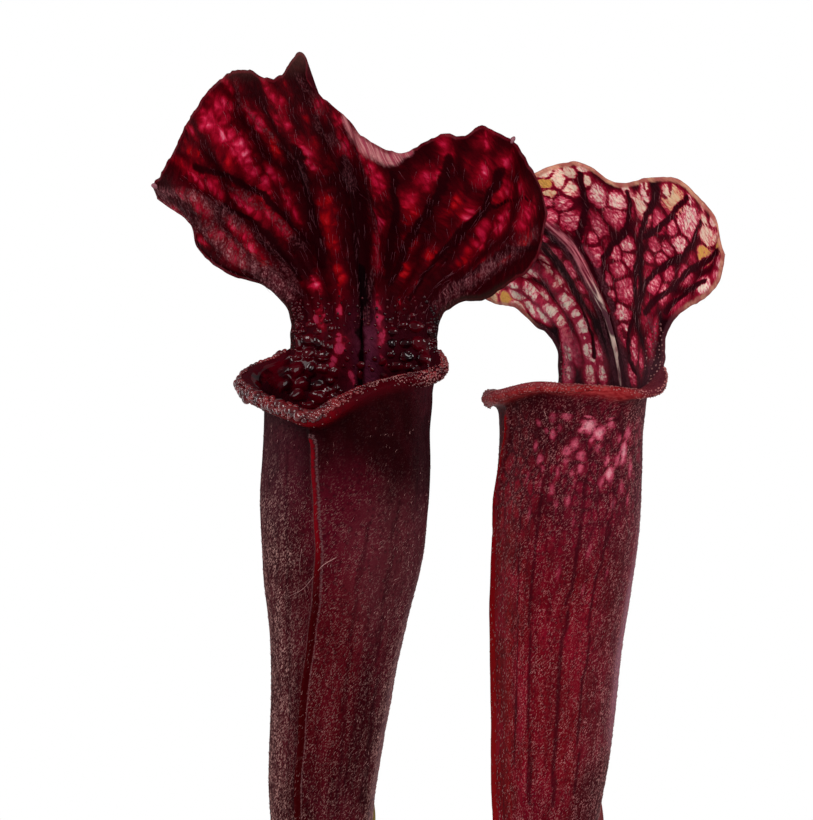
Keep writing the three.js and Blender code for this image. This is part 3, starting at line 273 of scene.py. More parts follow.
# ------------------------------------------------------------------ leaf tables (mm, degrees)
# stations: height, centre x, centre y, half width, half depth, turn
# rim: angle from the back, x, y, z.   hood: rows upwards, points from the left margin to the right
HOOD_S = [-1, -0.94, -0.88, -0.82, -0.75, -0.68, -0.61, -0.54, -0.47, -0.4, -0.33, -0.26, -0.19, -0.12, -0.06, -0.025, 0, 0.025, 0.06, 0.12, 0.19, 0.26, 0.33, 0.4, 0.47, 0.54, 0.61, 0.68, 0.75, 0.82, 0.88, 0.94, 1]
LEFT = dict(
  stations=[[103.6, -27.2, -12.3, 4.9, 5.39, 28], [108, -27, -12, 4.5, 4.73, 28], [120, -26.5, -11.2, 4.6, 4.6, 28],
    [135, -25.8, -10.2, 5.4, 5.4, 28], [150, -25, -9.4, 6.5, 6.5, 28], [165, -24.2, -8.8, 7.7, 7.7, 28],
    [180, -23.4, -8.3, 8.9, 8.9, 28], [194.55, -22.61, -8, 10.09, 9.89, 28], [200.44, -22.5, -8, 10.61, 10.29, 28],
    [206.51, -21.99, -8, 11.12, 10.68, 28], [212.59, -21.38, -8, 11.53, 10.96, 27], [218.65, -20.67, -8, 12.05, 11.33, 27],
    [224.72, -20.16, -8, 12.58, 11.57, 26], [230.77, -19.55, -8, 13.41, 12.07, 25], [236.82, -19.14, -8, 14.45, 12.71, 24],
    [242.86, -18.73, -8, 15.68, 13.48, 23], [248.9, -18.23, -8, 16.5, 13.86, 22], [254.93, -18.12, -8, 17, 13.94, 21],
    [260.96, -17.91, -8, 17.3, 13.84, 20], [266.98, -17.61, -8, 17.2, 13.59, 20], [272.99, -17.5, -8, 17, 13.26, 20],
    [279, -17.2, -8, 17.2, 13.41, 20], [282, -17.19, -8, 17.19, 13.41, 20]],
  rim=[[-288, 0.41, -6, 288.94], [-278, 1.39, -8.17, 287.21], [-268, 1.34, -13.15, 285.21], [-256, -1.85, -16.78, 283.78],
    [-240, -7.17, -19.63, 282.72], [-220, -13.22, -22.22, 281.07], [-200, -18.86, -24, 278.42], [-180, -23.93, -24.28, 276.1],
    [-162, -28.73, -20.83, 277.28], [-144, -33.67, -15.3, 278.97], [-128, -36.72, -9.41, 280.47], [-113, -38, -3.62, 282.21],
    [-99, -36.41, 1.12, 283.83], [-86, -32.86, 3.66, 285.76], [-72, -29.03, 4.71, 288.57]],
  hood=[
    [[-29.03, 4.71, 288.57], [-28.16, 4.72, 288.52], [-27.29, 4.71, 288.48], [-26.42, 4.67, 288.44], [-25.41, 4.61, 288.4], [-24.39, 4.51, 288.36],
     [-23.38, 4.39, 288.33], [-22.36, 4.25, 288.3], [-21.35, 4.07, 288.28], [-20.33, 3.87, 288.26], [-19.32, 3.64, 288.25], [-18.3, 3.39, 288.24],
     [-17.28, 3.11, 288.23], [-16.27, 2.8, 288.24], [-15.4, 2.51, 288.24], [-14.89, 2.33, 288.25], [-14.53, 2.2, 288.25], [-14.15, 2.07, 288.26],
     [-13.63, 1.86, 288.26], [-12.72, 1.51, 288.28], [-11.67, 1.06, 288.31], [-10.61, 0.59, 288.33], [-9.56, 0.09, 288.37], [-8.51, -0.43, 288.41],
     [-7.46, -0.98, 288.45], [-6.42, -1.56, 288.5], [-5.37, -2.16, 288.55], [-4.33, -2.79, 288.61], [-3.29, -3.44, 288.67], [-2.25, -4.13, 288.74],
     [-1.36, -4.73, 288.8], [-0.47, -5.36, 288.87], [0.41, -6, 288.94]],
    [[-29.02, 4.71, 292.24], [-28.39, 4.84, 292.27], [-27.64, 4.84, 292.24], [-26.84, 4.82, 292.19], [-25.87, 4.83, 292.28], [-24.92, 4.99, 292.35],
     [-23.97, 4.96, 292.54], [-22.99, 4.79, 292.62], [-22.02, 4.59, 292.75], [-21.04, 4.53, 292.79], [-19.99, 4.58, 292.86], [-18.85, 4.31, 292.86],
     [-17.75, 3.76, 292.73], [-16.58, 3.08, 292.43], [-15.52, 2.52, 292.44], [-14.94, 2.23, 292.63], [-14.53, 2.1, 292.72], [-14.15, 1.92, 292.64],
     [-13.78, 1.81, 292.38], [-12.95, 1.65, 292.1], [-11.68, 1.6, 291.74], [-10.7, 1.39, 291.51], [-9.55, 1.05, 291.39], [-8.44, 0.43, 291.46],
     [-7.28, -0.56, 291.85], [-6.2, -1.27, 292.16], [-5.14, -1.85, 292.26], [-4.04, -2.88, 292.64], [-2.99, -3.66, 292.65], [-1.96, -4.19, 292.64],
     [-1.15, -4.96, 292.37], [-0.34, -5.48, 292.13], [0.41, -6, 291.74]],
    [[-29.01, 4.6, 295.5], [-28.63, 4.85, 295.65], [-28.01, 4.88, 295.69], [-27.29, 4.87, 295.68], [-26.38, 4.96, 295.97], [-25.51, 5.37, 296.21],
     [-24.64, 5.44, 296.66], [-23.72, 5.25, 296.92], [-22.79, 5.04, 297.26], [-21.88, 5.13, 297.4], [-20.8, 5.46, 297.62], [-19.55, 5.18, 297.69],
     [-18.37, 4.36, 297.48], [-17.07, 3.31, 296.93], [-15.82, 2.5, 296.99], [-15.19, 2.09, 297.4], [-14.72, 1.95, 297.59], [-14.33, 1.73, 297.4],
     [-14.1, 1.7, 296.85], [-13.3, 1.73, 296.23], [-11.78, 2.07, 295.43], [-10.82, 2.11, 294.89], [-9.54, 1.9, 294.56], [-8.34, 1.16, 294.61],
     [-7.01, -0.28, 295.28], [-5.85, -1.15, 295.78], [-4.74, -1.7, 295.88], [-3.55, -3.15, 296.52], [-2.44, -4.07, 296.42], [-1.37, -4.46, 296.28],
     [-0.61, -5.41, 295.64], [0.16, -5.84, 295.04], [0.81, -6.25, 294.15]],
    [[-30.63, 4.55, 298.55], [-30.42, 4.9, 298.87], [-29.83, 4.93, 299], [-29.12, 4.91, 299.08], [-28.16, 5.05, 299.6], [-27.28, 5.69, 300.05],
     [-26.38, 5.82, 300.82], [-25.41, 5.58, 301.3], [-24.44, 5.33, 301.9], [-23.48, 5.54, 302.18], [-22.29, 6.13, 302.59], [-20.82, 5.8, 302.77],
     [-19.47, 4.69, 302.54], [-17.93, 3.25, 301.76], [-16.41, 2.14, 301.91], [-15.67, 1.6, 302.56], [-15.12, 1.46, 302.86], [-14.68, 1.19, 302.56],
     [-14.56, 1.24, 301.68], [-13.73, 1.45, 300.7], [-11.89, 2.17, 299.43], [-10.89, 2.45, 298.53], [-9.39, 2.38, 297.94], [-8.02, 1.52, 297.93],
     [-6.47, -0.37, 298.84], [-5.17, -1.39, 299.5], [-3.93, -1.93, 299.54], [-2.58, -3.81, 300.39], [-1.35, -4.87, 300.15], [-0.17, -5.12, 299.83],
     [0.61, -6.25, 298.79], [1.39, -6.6, 297.79], [2, -6.9, 296.37]],
    [[-34.94, 5.48, 302], [-34.78, 5.84, 302.5], [-34.09, 5.77, 302.76], [-33.22, 5.62, 302.94], [-32.04, 5.71, 303.74], [-30.97, 6.5, 304.45],
     [-29.87, 6.58, 305.6], [-28.66, 6.17, 306.33], [-27.46, 5.74, 307.23], [-26.28, 5.97, 307.7], [-24.78, 6.74, 308.35], [-22.89, 6.24, 308.65],
     [-21.15, 4.66, 308.37], [-19.16, 2.61, 307.33], [-17.17, 1.06, 307.57], [-16.21, 0.31, 308.49], [-15.5, 0.11, 308.93], [-14.96, -0.21, 308.48],
     [-14.91, -0.05, 307.22], [-13.96, 0.4, 305.78], [-11.61, 1.61, 303.94], [-10.43, 2.21, 302.61], [-8.57, 2.31, 301.71], [-6.88, 1.35, 301.6],
     [-4.94, -1.06, 302.78], [-3.35, -2.25, 303.6], [-1.84, -2.75, 303.57], [-0.19, -5.1, 304.66], [1.3, -6.3, 304.22], [2.72, -6.36, 303.68],
     [3.61, -7.69, 302.13], [4.52, -7.91, 300.65], [5.18, -8.06, 298.59]],
    [[-41.81, 4.68, 304.24], [-41.6, 5.05, 305.08], [-40.68, 4.86, 305.59], [-39.54, 4.58, 305.99], [-37.98, 4.6, 307.24], [-36.57, 5.54, 308.37],
     [-35.12, 5.57, 310.07], [-33.53, 4.96, 311.21], [-31.94, 4.33, 312.57], [-30.39, 4.58, 313.38], [-28.42, 5.55, 314.41], [-25.94, 4.85, 315],
     [-23.66, 2.75, 314.79], [-21.04, 0.05, 313.59], [-18.43, -1.99, 314.05], [-17.18, -2.98, 315.33], [-16.24, -3.24, 315.96], [-15.56, -3.56, 315.3],
     [-15.51, -3.22, 313.58], [-14.29, -2.39, 311.55], [-11.25, -0.52, 308.97], [-9.75, 0.55, 307.04], [-7.35, 0.99, 305.68], [-5.17, 0.04, 305.32],
     [-2.67, -2.8, 306.65], [-0.63, -4.03, 307.51], [1.31, -4.35, 307.27], [3.44, -7.09, 308.48], [5.35, -8.3, 307.69], [7.18, -8.03, 306.8],
     [8.32, -9.45, 304.59], [9.49, -9.43, 302.48], [10.34, -9.29, 299.61]],
    [[-47.93, 8.29, 308.91], [-47.78, 8.26, 310.04], [-46.74, 7.52, 310.74], [-45.4, 6.66, 311.31], [-43.57, 6.12, 312.96], [-41.94, 6.76, 314.47],
     [-40.25, 6.25, 316.69], [-38.38, 4.92, 318.19], [-36.51, 3.59, 319.97], [-34.71, 3.38, 321.05], [-32.37, 4.1, 322.43], [-29.39, 2.71, 323.2],
     [-26.65, -0.47, 322.96], [-23.49, -4.4, 321.44], [-20.34, -7.41, 322.02], [-18.84, -8.9, 323.64], [-17.73, -9.4, 324.45], [-16.88, -9.69, 323.6],
     [-16.83, -9.1, 321.41], [-15.33, -7.76, 318.83], [-11.54, -5.03, 315.56], [-9.67, -3.32, 313.1], [-6.67, -2.41, 311.33], [-3.94, -3.27, 310.82],
     [-0.82, -6.51, 312.42], [1.74, -7.7, 313.45], [4.16, -7.73, 313.09], [6.81, -10.82, 314.53], [9.2, -11.97, 313.47], [11.49, -11.23, 312.29],
     [12.91, -12.69, 309.44], [14.37, -12.31, 306.72], [15.43, -11.79, 303.03]],
    [[-49.52, 4.83, 314.4], [-49.85, 4.69, 315.77], [-49.1, 3.7, 316.62], [-47.99, 2.58, 317.3], [-46.36, 1.83, 319.29], [-45, 2.52, 321.13],
     [-43.55, 1.83, 323.8], [-41.88, 0.14, 325.59], [-40.22, -1.55, 327.71], [-38.63, -1.85, 329.01], [-36.42, -1.03, 330.68], [-33.41, -2.77, 331.6],
     [-30.68, -6.68, 331.25], [-27.44, -11.49, 329.37], [-24.14, -15.16, 330.01], [-22.62, -17, 331.93], [-21.48, -17.61, 332.89], [-20.43, -17.81, 331.87],
     [-20.34, -16.89, 329.26], [-18.47, -14.89, 326.19], [-13.84, -11.14, 322.3], [-11.51, -8.63, 319.36], [-7.8, -7.09, 317.24], [-4.41, -7.69, 316.61],
     [-0.54, -11.18, 318.49], [2.64, -12.16, 319.71], [5.67, -11.74, 319.27], [8.96, -15.04, 320.96], [11.95, -15.96, 319.67], [14.83, -14.59, 318.24],
     [16.63, -15.96, 314.77], [18.51, -15.09, 311.48], [19.9, -14.05, 307]],
    [[-56.69, 11.16, 319.55], [-57.23, 10.3, 321.59], [-56.47, 8.42, 322.98], [-55.29, 6.4, 324.17], [-53.53, 4.69, 326.97], [-52.1, 4.7, 329.6],
     [-50.55, 3.08, 333.19], [-48.74, 0.29, 335.71], [-46.94, -2.49, 338.6], [-45.26, -3.64, 340.55], [-42.86, -3.45, 342.96], [-39.5, -6.27, 344.41],
     [-36.45, -11.63, 344.33], [-32.82, -18.06, 342.44], [-29.11, -23.03, 343.45], [-27.42, -25.56, 345.83], [-26.17, -26.55, 347.06], [-24.95, -26.67, 345.86],
     [-24.86, -25.43, 342.85], [-22.71, -22.81, 339.3], [-17.36, -18.05, 334.82], [-14.66, -14.78, 331.41], [-10.34, -12.62, 328.92], [-6.39, -13, 328.12],
     [-1.87, -16.77, 330.17], [1.86, -17.59, 331.52], [5.4, -16.76, 330.96], [9.25, -20.28, 332.79], [12.74, -21.02, 331.21], [16.13, -19.06, 329.52],
     [18.24, -20.37, 325.39], [20.45, -19.04, 321.51], [22.1, -17.51, 316.25]],
  ])
RIGHT = dict(
  stations=[[103.6, 17, 14.1, 4.9, 5.39, 62], [108, 17.4, 14.4, 4.5, 4.73, 62], [120, 18.8, 15.2, 4.6, 4.6, 62],
    [135, 20.1, 16.2, 5.5, 5.5, 62], [150, 21.2, 16.9, 6.6, 6.6, 62], [165, 22.2, 17.4, 7.8, 7.8, 62],
    [180, 23.1, 17.8, 9, 9, 62], [189.89, 24.13, 18, 10.41, 10.2, 62], [196.01, 24.53, 18, 11.23, 10.89, 62],
    [202.33, 25.04, 18, 11.95, 11.48, 62], [208.64, 25.44, 18, 12.47, 11.85, 62], [214.95, 25.74, 18, 12.99, 12.21, 62],
    [221.26, 25.93, 18, 13.64, 12.55, 62], [227.56, 26.23, 18, 14.3, 12.87, 62], [233.85, 26.63, 18, 15.22, 13.39, 62],
    [240.13, 27.04, 18, 16, 13.76, 61], [246.41, 27.44, 18, 16.8, 14.11, 60], [252.69, 27.84, 18, 17.25, 14.14, 59],
    [258.95, 28.13, 18, 17.44, 13.96, 58], [265.22, 28.53, 18, 17.26, 13.63, 57], [271.47, 28.72, 18, 17.23, 13.44, 55],
    [277.72, 28.81, 18, 17.87, 13.94, 54], [280.84, 28.91, 18, 17.71, 13.81, 52]],
  rim=[[-288, 46.94, 9.58, 285.12], [-277, 47.23, 7.98, 282.93], [-266, 46.02, 5.39, 280.59], [-254, 41.99, 3.19, 279.67],
    [-240, 35.85, 2.72, 280.3], [-222, 28.32, 2.37, 280.73], [-204, 21.01, 2.52, 281.23], [-188, 16.42, 4.88, 280.2],
    [-176, 13.39, 10.2, 278.93], [-162, 12.29, 16.33, 278.22], [-146, 12.48, 21.71, 277.75], [-130, 13.81, 26.35, 277.52],
    [-113, 16.8, 30.56, 277.52], [-99, 20.33, 33.51, 277.91], [-86, 23.55, 34.65, 278.6], [-72, 26.73, 33.66, 279.72]],
  hood=[
    [[26.73, 33.66, 279.72], [27.49, 33.23, 280.26], [28.24, 32.78, 280.76], [28.99, 32.29, 281.24], [29.87, 31.69, 281.76], [30.74, 31.06, 282.23],
     [31.61, 30.39, 282.66], [32.47, 29.69, 283.05], [33.33, 28.95, 283.39], [34.19, 28.18, 283.69], [35.04, 27.37, 283.95], [35.89, 26.52, 284.16],
     [36.73, 25.64, 284.34], [37.57, 24.73, 284.47], [38.29, 23.92, 284.55], [38.7, 23.44, 284.58], [39, 23.09, 284.6], [39.21, 22.84, 284.61],
     [39.5, 22.48, 284.62], [40, 21.84, 284.65], [40.57, 21.07, 284.68], [41.14, 20.26, 284.71], [41.71, 19.41, 284.74], [42.28, 18.53, 284.77],
     [42.84, 17.62, 284.81], [43.4, 16.67, 284.85], [43.95, 15.68, 284.88], [44.49, 14.67, 284.92], [45.04, 13.61, 284.97], [45.58, 12.53, 285.01],
     [46.03, 11.57, 285.04], [46.49, 10.59, 285.08], [46.94, 9.58, 285.12]],
    [[26.91, 33.14, 283.99], [27.49, 32.87, 284.64], [28.1, 32.56, 285.24], [28.72, 32.12, 285.79], [29.43, 31.53, 286.38], [30.17, 30.96, 286.93],
     [30.91, 30.5, 287.44], [31.65, 29.87, 287.91], [32.37, 29.05, 288.34], [33.11, 28.33, 288.74], [33.87, 27.8, 289.08], [34.61, 27.08, 289.4],
     [35.35, 26.02, 289.68], [36.1, 24.76, 289.93], [36.75, 23.72, 290.14], [37.15, 23.15, 290.31], [37.49, 22.71, 290.47], [37.73, 22.39, 290.58],
     [38.07, 22.01, 290.67], [38.67, 21.5, 290.77], [39.36, 20.91, 290.87], [40.09, 20.17, 290.89], [40.8, 19.17, 290.85], [41.5, 18.22, 290.68],
     [42.15, 17.62, 290.36], [42.86, 16.75, 290.22], [43.57, 15.38, 290.26], [44.31, 13.86, 290.26], [45.03, 12.71, 290.16], [45.73, 11.79, 289.81],
     [46.32, 10.64, 289.36], [46.83, 9.97, 288.94], [47.3, 9.15, 288.42]],
    [[26.48, 33.34, 288.24], [26.93, 33.19, 288.92], [27.42, 32.97, 289.54], [27.95, 32.54, 290.1], [28.55, 31.91, 290.67], [29.2, 31.35, 291.21],
     [29.86, 31.05, 291.71], [30.5, 30.43, 292.17], [31.13, 29.49, 292.62], [31.8, 28.77, 293.02], [32.5, 28.45, 293.37], [33.18, 27.82, 293.7],
     [33.86, 26.53, 294], [34.56, 24.87, 294.29], [35.19, 23.55, 294.53], [35.59, 22.88, 294.81], [35.99, 22.32, 295.08], [36.26, 21.93, 295.29],
     [36.64, 21.53, 295.48], [37.33, 21.15, 295.69], [38.12, 20.74, 295.88], [38.98, 20.05, 295.92], [39.81, 18.91, 295.84], [40.65, 17.88, 295.5],
     [41.37, 17.59, 294.86], [42.21, 16.8, 294.57], [43.07, 15.03, 294.63], [43.99, 13, 294.61], [44.87, 11.76, 294.42], [45.71, 11, 293.71],
     [46.43, 9.66, 292.8], [46.97, 9.29, 291.95], [47.46, 8.65, 290.9]],
    [[24.24, 35.7, 291.57], [24.64, 35.55, 292.3], [25.1, 35.31, 292.94], [25.62, 34.76, 293.51], [26.21, 33.94, 294.07], [26.87, 33.25, 294.61],
     [27.54, 32.97, 295.1], [28.2, 32.23, 295.57], [28.82, 31.03, 296.02], [29.53, 30.16, 296.43], [30.27, 29.94, 296.8], [30.98, 29.25, 297.14],
     [31.71, 27.58, 297.48], [32.46, 25.39, 297.79], [33.14, 23.67, 298.08], [33.59, 22.82, 298.46], [34.08, 22.1, 298.85], [34.41, 21.63, 299.18],
     [34.88, 21.17, 299.49], [35.72, 20.87, 299.86], [36.7, 20.58, 300.22], [37.79, 19.9, 300.33], [38.82, 18.55, 300.26], [39.87, 17.39, 299.82],
     [40.74, 17.35, 298.92], [41.81, 16.58, 298.54], [42.89, 14.36, 298.68], [44.06, 11.78, 298.7], [45.19, 10.38, 298.46], [46.26, 9.74, 297.46],
     [47.17, 8.17, 296.14], [47.82, 8.05, 294.91], [48.38, 7.55, 293.39]],
    [[22.18, 37.53, 292.59], [22.45, 37.44, 293.61], [22.82, 37.22, 294.52], [23.25, 36.58, 295.33], [23.74, 35.6, 296.16], [24.34, 34.81, 296.96],
     [24.95, 34.62, 297.73], [25.54, 33.78, 298.48], [26.1, 32.31, 299.21], [26.76, 31.34, 299.91], [27.47, 31.28, 300.57], [28.15, 30.58, 301.21],
     [28.84, 28.52, 301.84], [29.59, 25.73, 302.45], [30.28, 23.59, 303.03], [30.75, 22.55, 303.66], [31.33, 21.65, 304.28], [31.75, 21.06, 304.72],
     [32.37, 20.54, 305.12], [33.46, 20.32, 305.61], [34.74, 20.16, 306.06], [36.16, 19.47, 306.16], [37.52, 17.86, 306.01], [38.89, 16.53, 305.34],
     [40.02, 16.78, 304.04], [41.43, 16.02, 303.45], [42.86, 13.25, 303.58], [44.41, 9.98, 303.54], [45.9, 8.4, 303.14], [47.3, 7.88, 301.7],
     [48.5, 6.02, 299.81], [49.35, 6.19, 298.05], [50.07, 5.85, 295.88]],
    [[19.7, 40.17, 295.09], [19.84, 40.05, 296.31], [20.09, 39.78, 297.4], [20.44, 38.96, 298.37], [20.84, 37.71, 299.37], [21.36, 36.72, 300.33],
     [21.91, 36.53, 301.27], [22.43, 35.51, 302.19], [22.91, 33.66, 303.1], [23.53, 32.48, 303.98], [24.21, 32.5, 304.82], [24.84, 31.7, 305.66],
     [25.52, 29.12, 306.48], [26.25, 25.59, 307.28], [26.96, 22.9, 308.04], [27.45, 21.61, 308.88], [28.12, 20.49, 309.7], [28.69, 19.77, 310.25],
     [29.5, 19.16, 310.75], [30.94, 19.02, 311.35], [32.63, 18.98, 311.89], [34.5, 18.27, 311.97], [36.3, 16.35, 311.72], [38.11, 14.82, 310.78],
     [39.6, 15.37, 309.05], [41.46, 14.61, 308.23], [43.34, 11.23, 308.33], [45.38, 7.22, 308.2], [47.35, 5.41, 307.62], [49.2, 5.01, 305.69],
     [50.78, 2.83, 303.17], [51.91, 3.31, 300.85], [52.88, 3.12, 297.97]],
    [[17.11, 39.83, 296.82], [17.07, 39.82, 298.19], [17.16, 39.63, 299.4], [17.39, 38.73, 300.46], [17.63, 37.32, 301.54], [18.04, 36.26, 302.6],
     [18.48, 36.23, 303.63], [18.89, 35.15, 304.66], [19.25, 33.01, 305.68], [19.79, 31.73, 306.67], [20.39, 32.02, 307.64], [20.95, 31.25, 308.6],
     [21.57, 28.22, 309.55], [22.27, 23.98, 310.48], [22.97, 20.77, 311.39], [23.49, 19.26, 312.41], [24.26, 17.94, 313.43], [24.98, 17.05, 314.17],
     [26.01, 16.32, 314.85], [27.83, 16.24, 315.7], [29.97, 16.31, 316.5], [32.35, 15.53, 316.72], [34.63, 13.22, 316.49], [36.93, 11.42, 315.4],
     [38.83, 12.27, 313.33], [41.18, 11.47, 312.4], [43.57, 7.35, 312.61], [46.15, 2.45, 312.53], [48.64, 0.37, 311.89], [50.99, 0.07, 309.57],
     [52.99, -2.5, 306.46], [54.43, -1.7, 303.62], [55.66, -1.75, 300.08]],
    [[13.67, 47.05, 297.32], [13.45, 46.7, 298.89], [13.42, 46.13, 300.27], [13.55, 44.7, 301.48], [13.68, 42.61, 302.69], [14.01, 40.94, 303.89],
     [14.37, 40.54, 305.06], [14.7, 38.86, 306.23], [14.99, 35.9, 307.4], [15.48, 34.01, 308.55], [16.03, 34.02, 309.68], [16.54, 32.76, 310.8],
     [17.14, 28.75, 311.91], [17.86, 23.26, 313], [18.58, 19.08, 314.06], [19.13, 17.1, 315.29], [20.01, 15.39, 316.52], [20.87, 14.38, 317.48],
     [22.11, 13.61, 318.4], [24.28, 13.73, 319.61], [26.83, 14.07, 320.78], [29.67, 13.39, 321.24], [32.41, 10.85, 321.15], [35.17, 8.93, 320.03],
     [37.43, 10.25, 317.73], [40.25, 9.57, 316.8], [43.12, 4.87, 317.23], [46.21, -0.77, 317.29], [49.19, -2.98, 316.71], [52.01, -3.02, 314.1],
     [54.4, -5.85, 310.5], [56.13, -4.61, 307.24], [57.61, -4.38, 303.13]],
    [[10.85, 47.29, 298.61], [10.41, 47.04, 300.35], [10.18, 46.54, 301.87], [10.15, 45.02, 303.18], [10.1, 42.75, 304.5], [10.27, 40.99, 305.8],
     [10.48, 40.74, 307.09], [10.65, 38.98, 308.38], [10.79, 35.71, 309.67], [11.16, 33.7, 310.95], [11.59, 33.97, 312.22], [11.98, 32.73, 313.48],
     [12.5, 28.22, 314.73], [13.17, 21.98, 315.94], [13.86, 17.26, 317.15], [14.42, 15.05, 318.57], [15.39, 13.11, 319.99], [16.37, 11.94, 321.2],
     [17.78, 11.04, 322.42], [20.24, 11.21, 324.06], [23.13, 11.66, 325.7], [26.38, 10.91, 326.51], [29.5, 7.96, 326.64], [32.64, 5.77, 325.57],
     [35.19, 7.4, 323.17], [38.41, 6.68, 322.34], [41.68, 1.22, 323.06], [45.21, -5.32, 323.34], [48.61, -7.81, 322.89], [51.82, -7.75, 320.11],
     [54.53, -10.97, 316.1], [56.48, -9.41, 312.54], [58.13, -9.05, 307.97]],
  ])


# ------------------------------------------------------------------ pitcher leaf
THC = 72.0
BASE_Z, CAVITY_Z = 103.2, 134.0
HALF, HOOD_HALF = 0.40, 0.34


class Pitcher:
    """Middle surface on a grid of columns round the tube; the back columns run on as the hood."""

    def __init__(self, D, wing_at, roll, hem, relief, lobe=(-150, 0.0), slim=0.02, scallop=0.3, per=6, front=112, low=56, top=36, flare=10, hood=116):
        self.D = D
        self.st = np.array(D['stations'], float)
        self.st[:, 3] *= 1 - slim * sm(self.st[:, 0], 110, 180)
        self.rim = np.array(D['rim'], float)
        self.roll, self.lobe = roll, lobe
        S = np.array(HOOD_S)
        x = np.arange(0, 32 * per + 1) / per
        self.sb = np.interp(x, np.arange(33), S)
        nb = self.nb = len(self.sb) - 1
        fine = np.linspace(-288, -72, 4001)
        dens = 1 + 3.2 * np.exp(-((fine + 173) / 15.0) ** 2) + 0.8 * np.exp(-((fine + 173) / 40.0) ** 2)
        cum = np.concatenate([[0], np.cumsum((dens[1:] + dens[:-1]) / 2)])
        thf = np.interp(np.linspace(0, cum[-1], front + 1), cum, fine)[1:-1]
        self.th = np.concatenate([self.sb * THC, thf])
        nc = self.nc = len(self.th)
        self.isb = np.arange(nc) <= nb
        zL, zR = D['rim'][-1][3], D['rim'][0][3]
        E = herm(self.th, self.rim[:, 0], self.rim[:, 1:4])
        away = np.minimum(self.th + 288, -72 - self.th)
        zt = np.where(self.isb, zL + (zR - zL) * (self.sb[np.minimum(np.arange(nc), nb)] + 1) / 2 - 8,
                      E[:, 2] - (8 + (5 - 8) * sm(away / 30)))
        q = np.concatenate([np.linspace(0, 1 - 22 / 175, low + 1), np.linspace(1 - 22 / 175, 1, top + 1)[1:]])
        self.TS, self.FS, self.HS = len(q) - 1, flare, hood
        self.R = self.TS + flare
        rows = self.R + hood + 1
        M = np.zeros((nc, rows, 3))
        Z = BASE_Z + (zt - BASE_Z)[:, None] * q[None]
        M[:, :self.TS + 1] = self.tube(self.th[:, None] * np.ones_like(Z), Z)
        T = M[:, self.TS]
        # hood rows at every back column
        lid = np.array(D['hood'])                                   # 9, 33, 3
        lidc = np.stack([herm(self.sb, S, lid[m]) for m in range(9)])   # 9, nb+1, 3
        below = self.tube(self.th, zt - 8)
        ctrl = np.concatenate([below[None, :nb + 1], T[None, :nb + 1], lidc])     # 11, nb+1, 3
        fl = 1 + np.arange(1, flare + 1) / flare
        M[:nb + 1, self.TS + 1:self.R + 1] = catmull(ctrl, fl).transpose(1, 0, 2)
        hd = 2 + 8 * np.arange(1, hood + 1) / hood
        M[:nb + 1, self.R + 1:] = catmull(ctrl, hd).transpose(1, 0, 2)
        # front flare
        f = slice(nb + 1, nc)
        tau = np.arange(1, flare + 1) / flare
        h, v = 1 - np.cos(tau * math.pi / 2), np.sin(tau * math.pi / 2)
        hv = np.stack([h, h, v], -1)
        path = T[f, None] + (E[f] - T[f])[:, None] * hv[None]
        up = np.where((self.th[f] < -180)[:, None], lidc[1, nb] - lidc[0, nb], lidc[1, 0] - lidc[0, 0])
        c4 = np.stack([below[f], T[f], E[f], E[f] + up])
        other = catmull(c4, fl).transpose(1, 0, 2)
        w = sm(1 - away[f] / 26)[:, None, None]
        M[f, self.TS + 1:self.R + 1] = path * (1 - w) + other * w
        self.E = E
        # waves of the hood margin and the fold along its middle
        t = np.zeros(rows); t[self.R:] = np.arange(hood + 1) / hood
        self.t = t
        s = self.sb[:, None] * np.ones(rows)[None]
        tt = t[None] * np.ones(nb + 1)[:, None]
        M[:nb + 1] += hem(s, tt)
        # fine scallops along the margin
        top, lo_, hi_ = M[:nb + 1, -1].copy(), M[0].copy(), M[nb].copy()
        unit = lambda v: v / (np.linalg.norm(v, axis=-1, keepdims=True) + 1e-9)
        fine_n = lambda X: vnoise(X * 0.45, 71) + 0.7 * vnoise(X * 0.95 + 9, 72)
        wt = sm(t, 0.93, 1.0)[None, :, None]
        M[:nb + 1] += wt * (unit(M[:nb + 1, -1] - M[:nb + 1, -4]) * (scallop * fine_n(top))[:, None])[:, None]
        ws = sm(np.abs(self.sb), 0.93, 1.0)[:, None, None] * (sm(t, 0.06, 0.2) * (1 - sm(t, 0.93, 1.0)))[None, :, None]
        outl, outr = unit(M[0] - M[3]), unit(M[nb] - M[nb - 3])
        M[:nb + 1] += ws * np.where((self.sb < 0)[:, None, None], (outl * (scallop * fine_n(lo_))[:, None])[None], (outr * (scallop * fine_n(hi_))[:, None])[None])
        self.M = M
        self.s = np.where(self.isb, np.concatenate([self.sb, np.zeros(nc - nb - 1)]), 0)
        self.Q = self.quads()
        N = self.normals(M)
        # pattern lanes: flat place and normal at each point of the middle surface
        self.P2 = flat(M)
        self.N = N
        self.wing_at = wing_at
        self.relief = relief

    def tube(self, th, z):
        st = self.st
        v = herm(z, st[:, 0], st[:, 1:6])
        ph = np.radians(v[..., 4]); a = np.radians(th)
        W = np.stack([np.cos(ph), -np.sin(ph), 0 * ph], -1)
        F = np.stack([-np.sin(ph), -np.cos(ph), 0 * ph], -1)
        c = np.stack([v[..., 0], v[..., 1], z], -1)
        return c + W * (v[..., 2] * np.sin(a))[..., None] - F * (v[..., 3] * np.cos(a))[..., None]

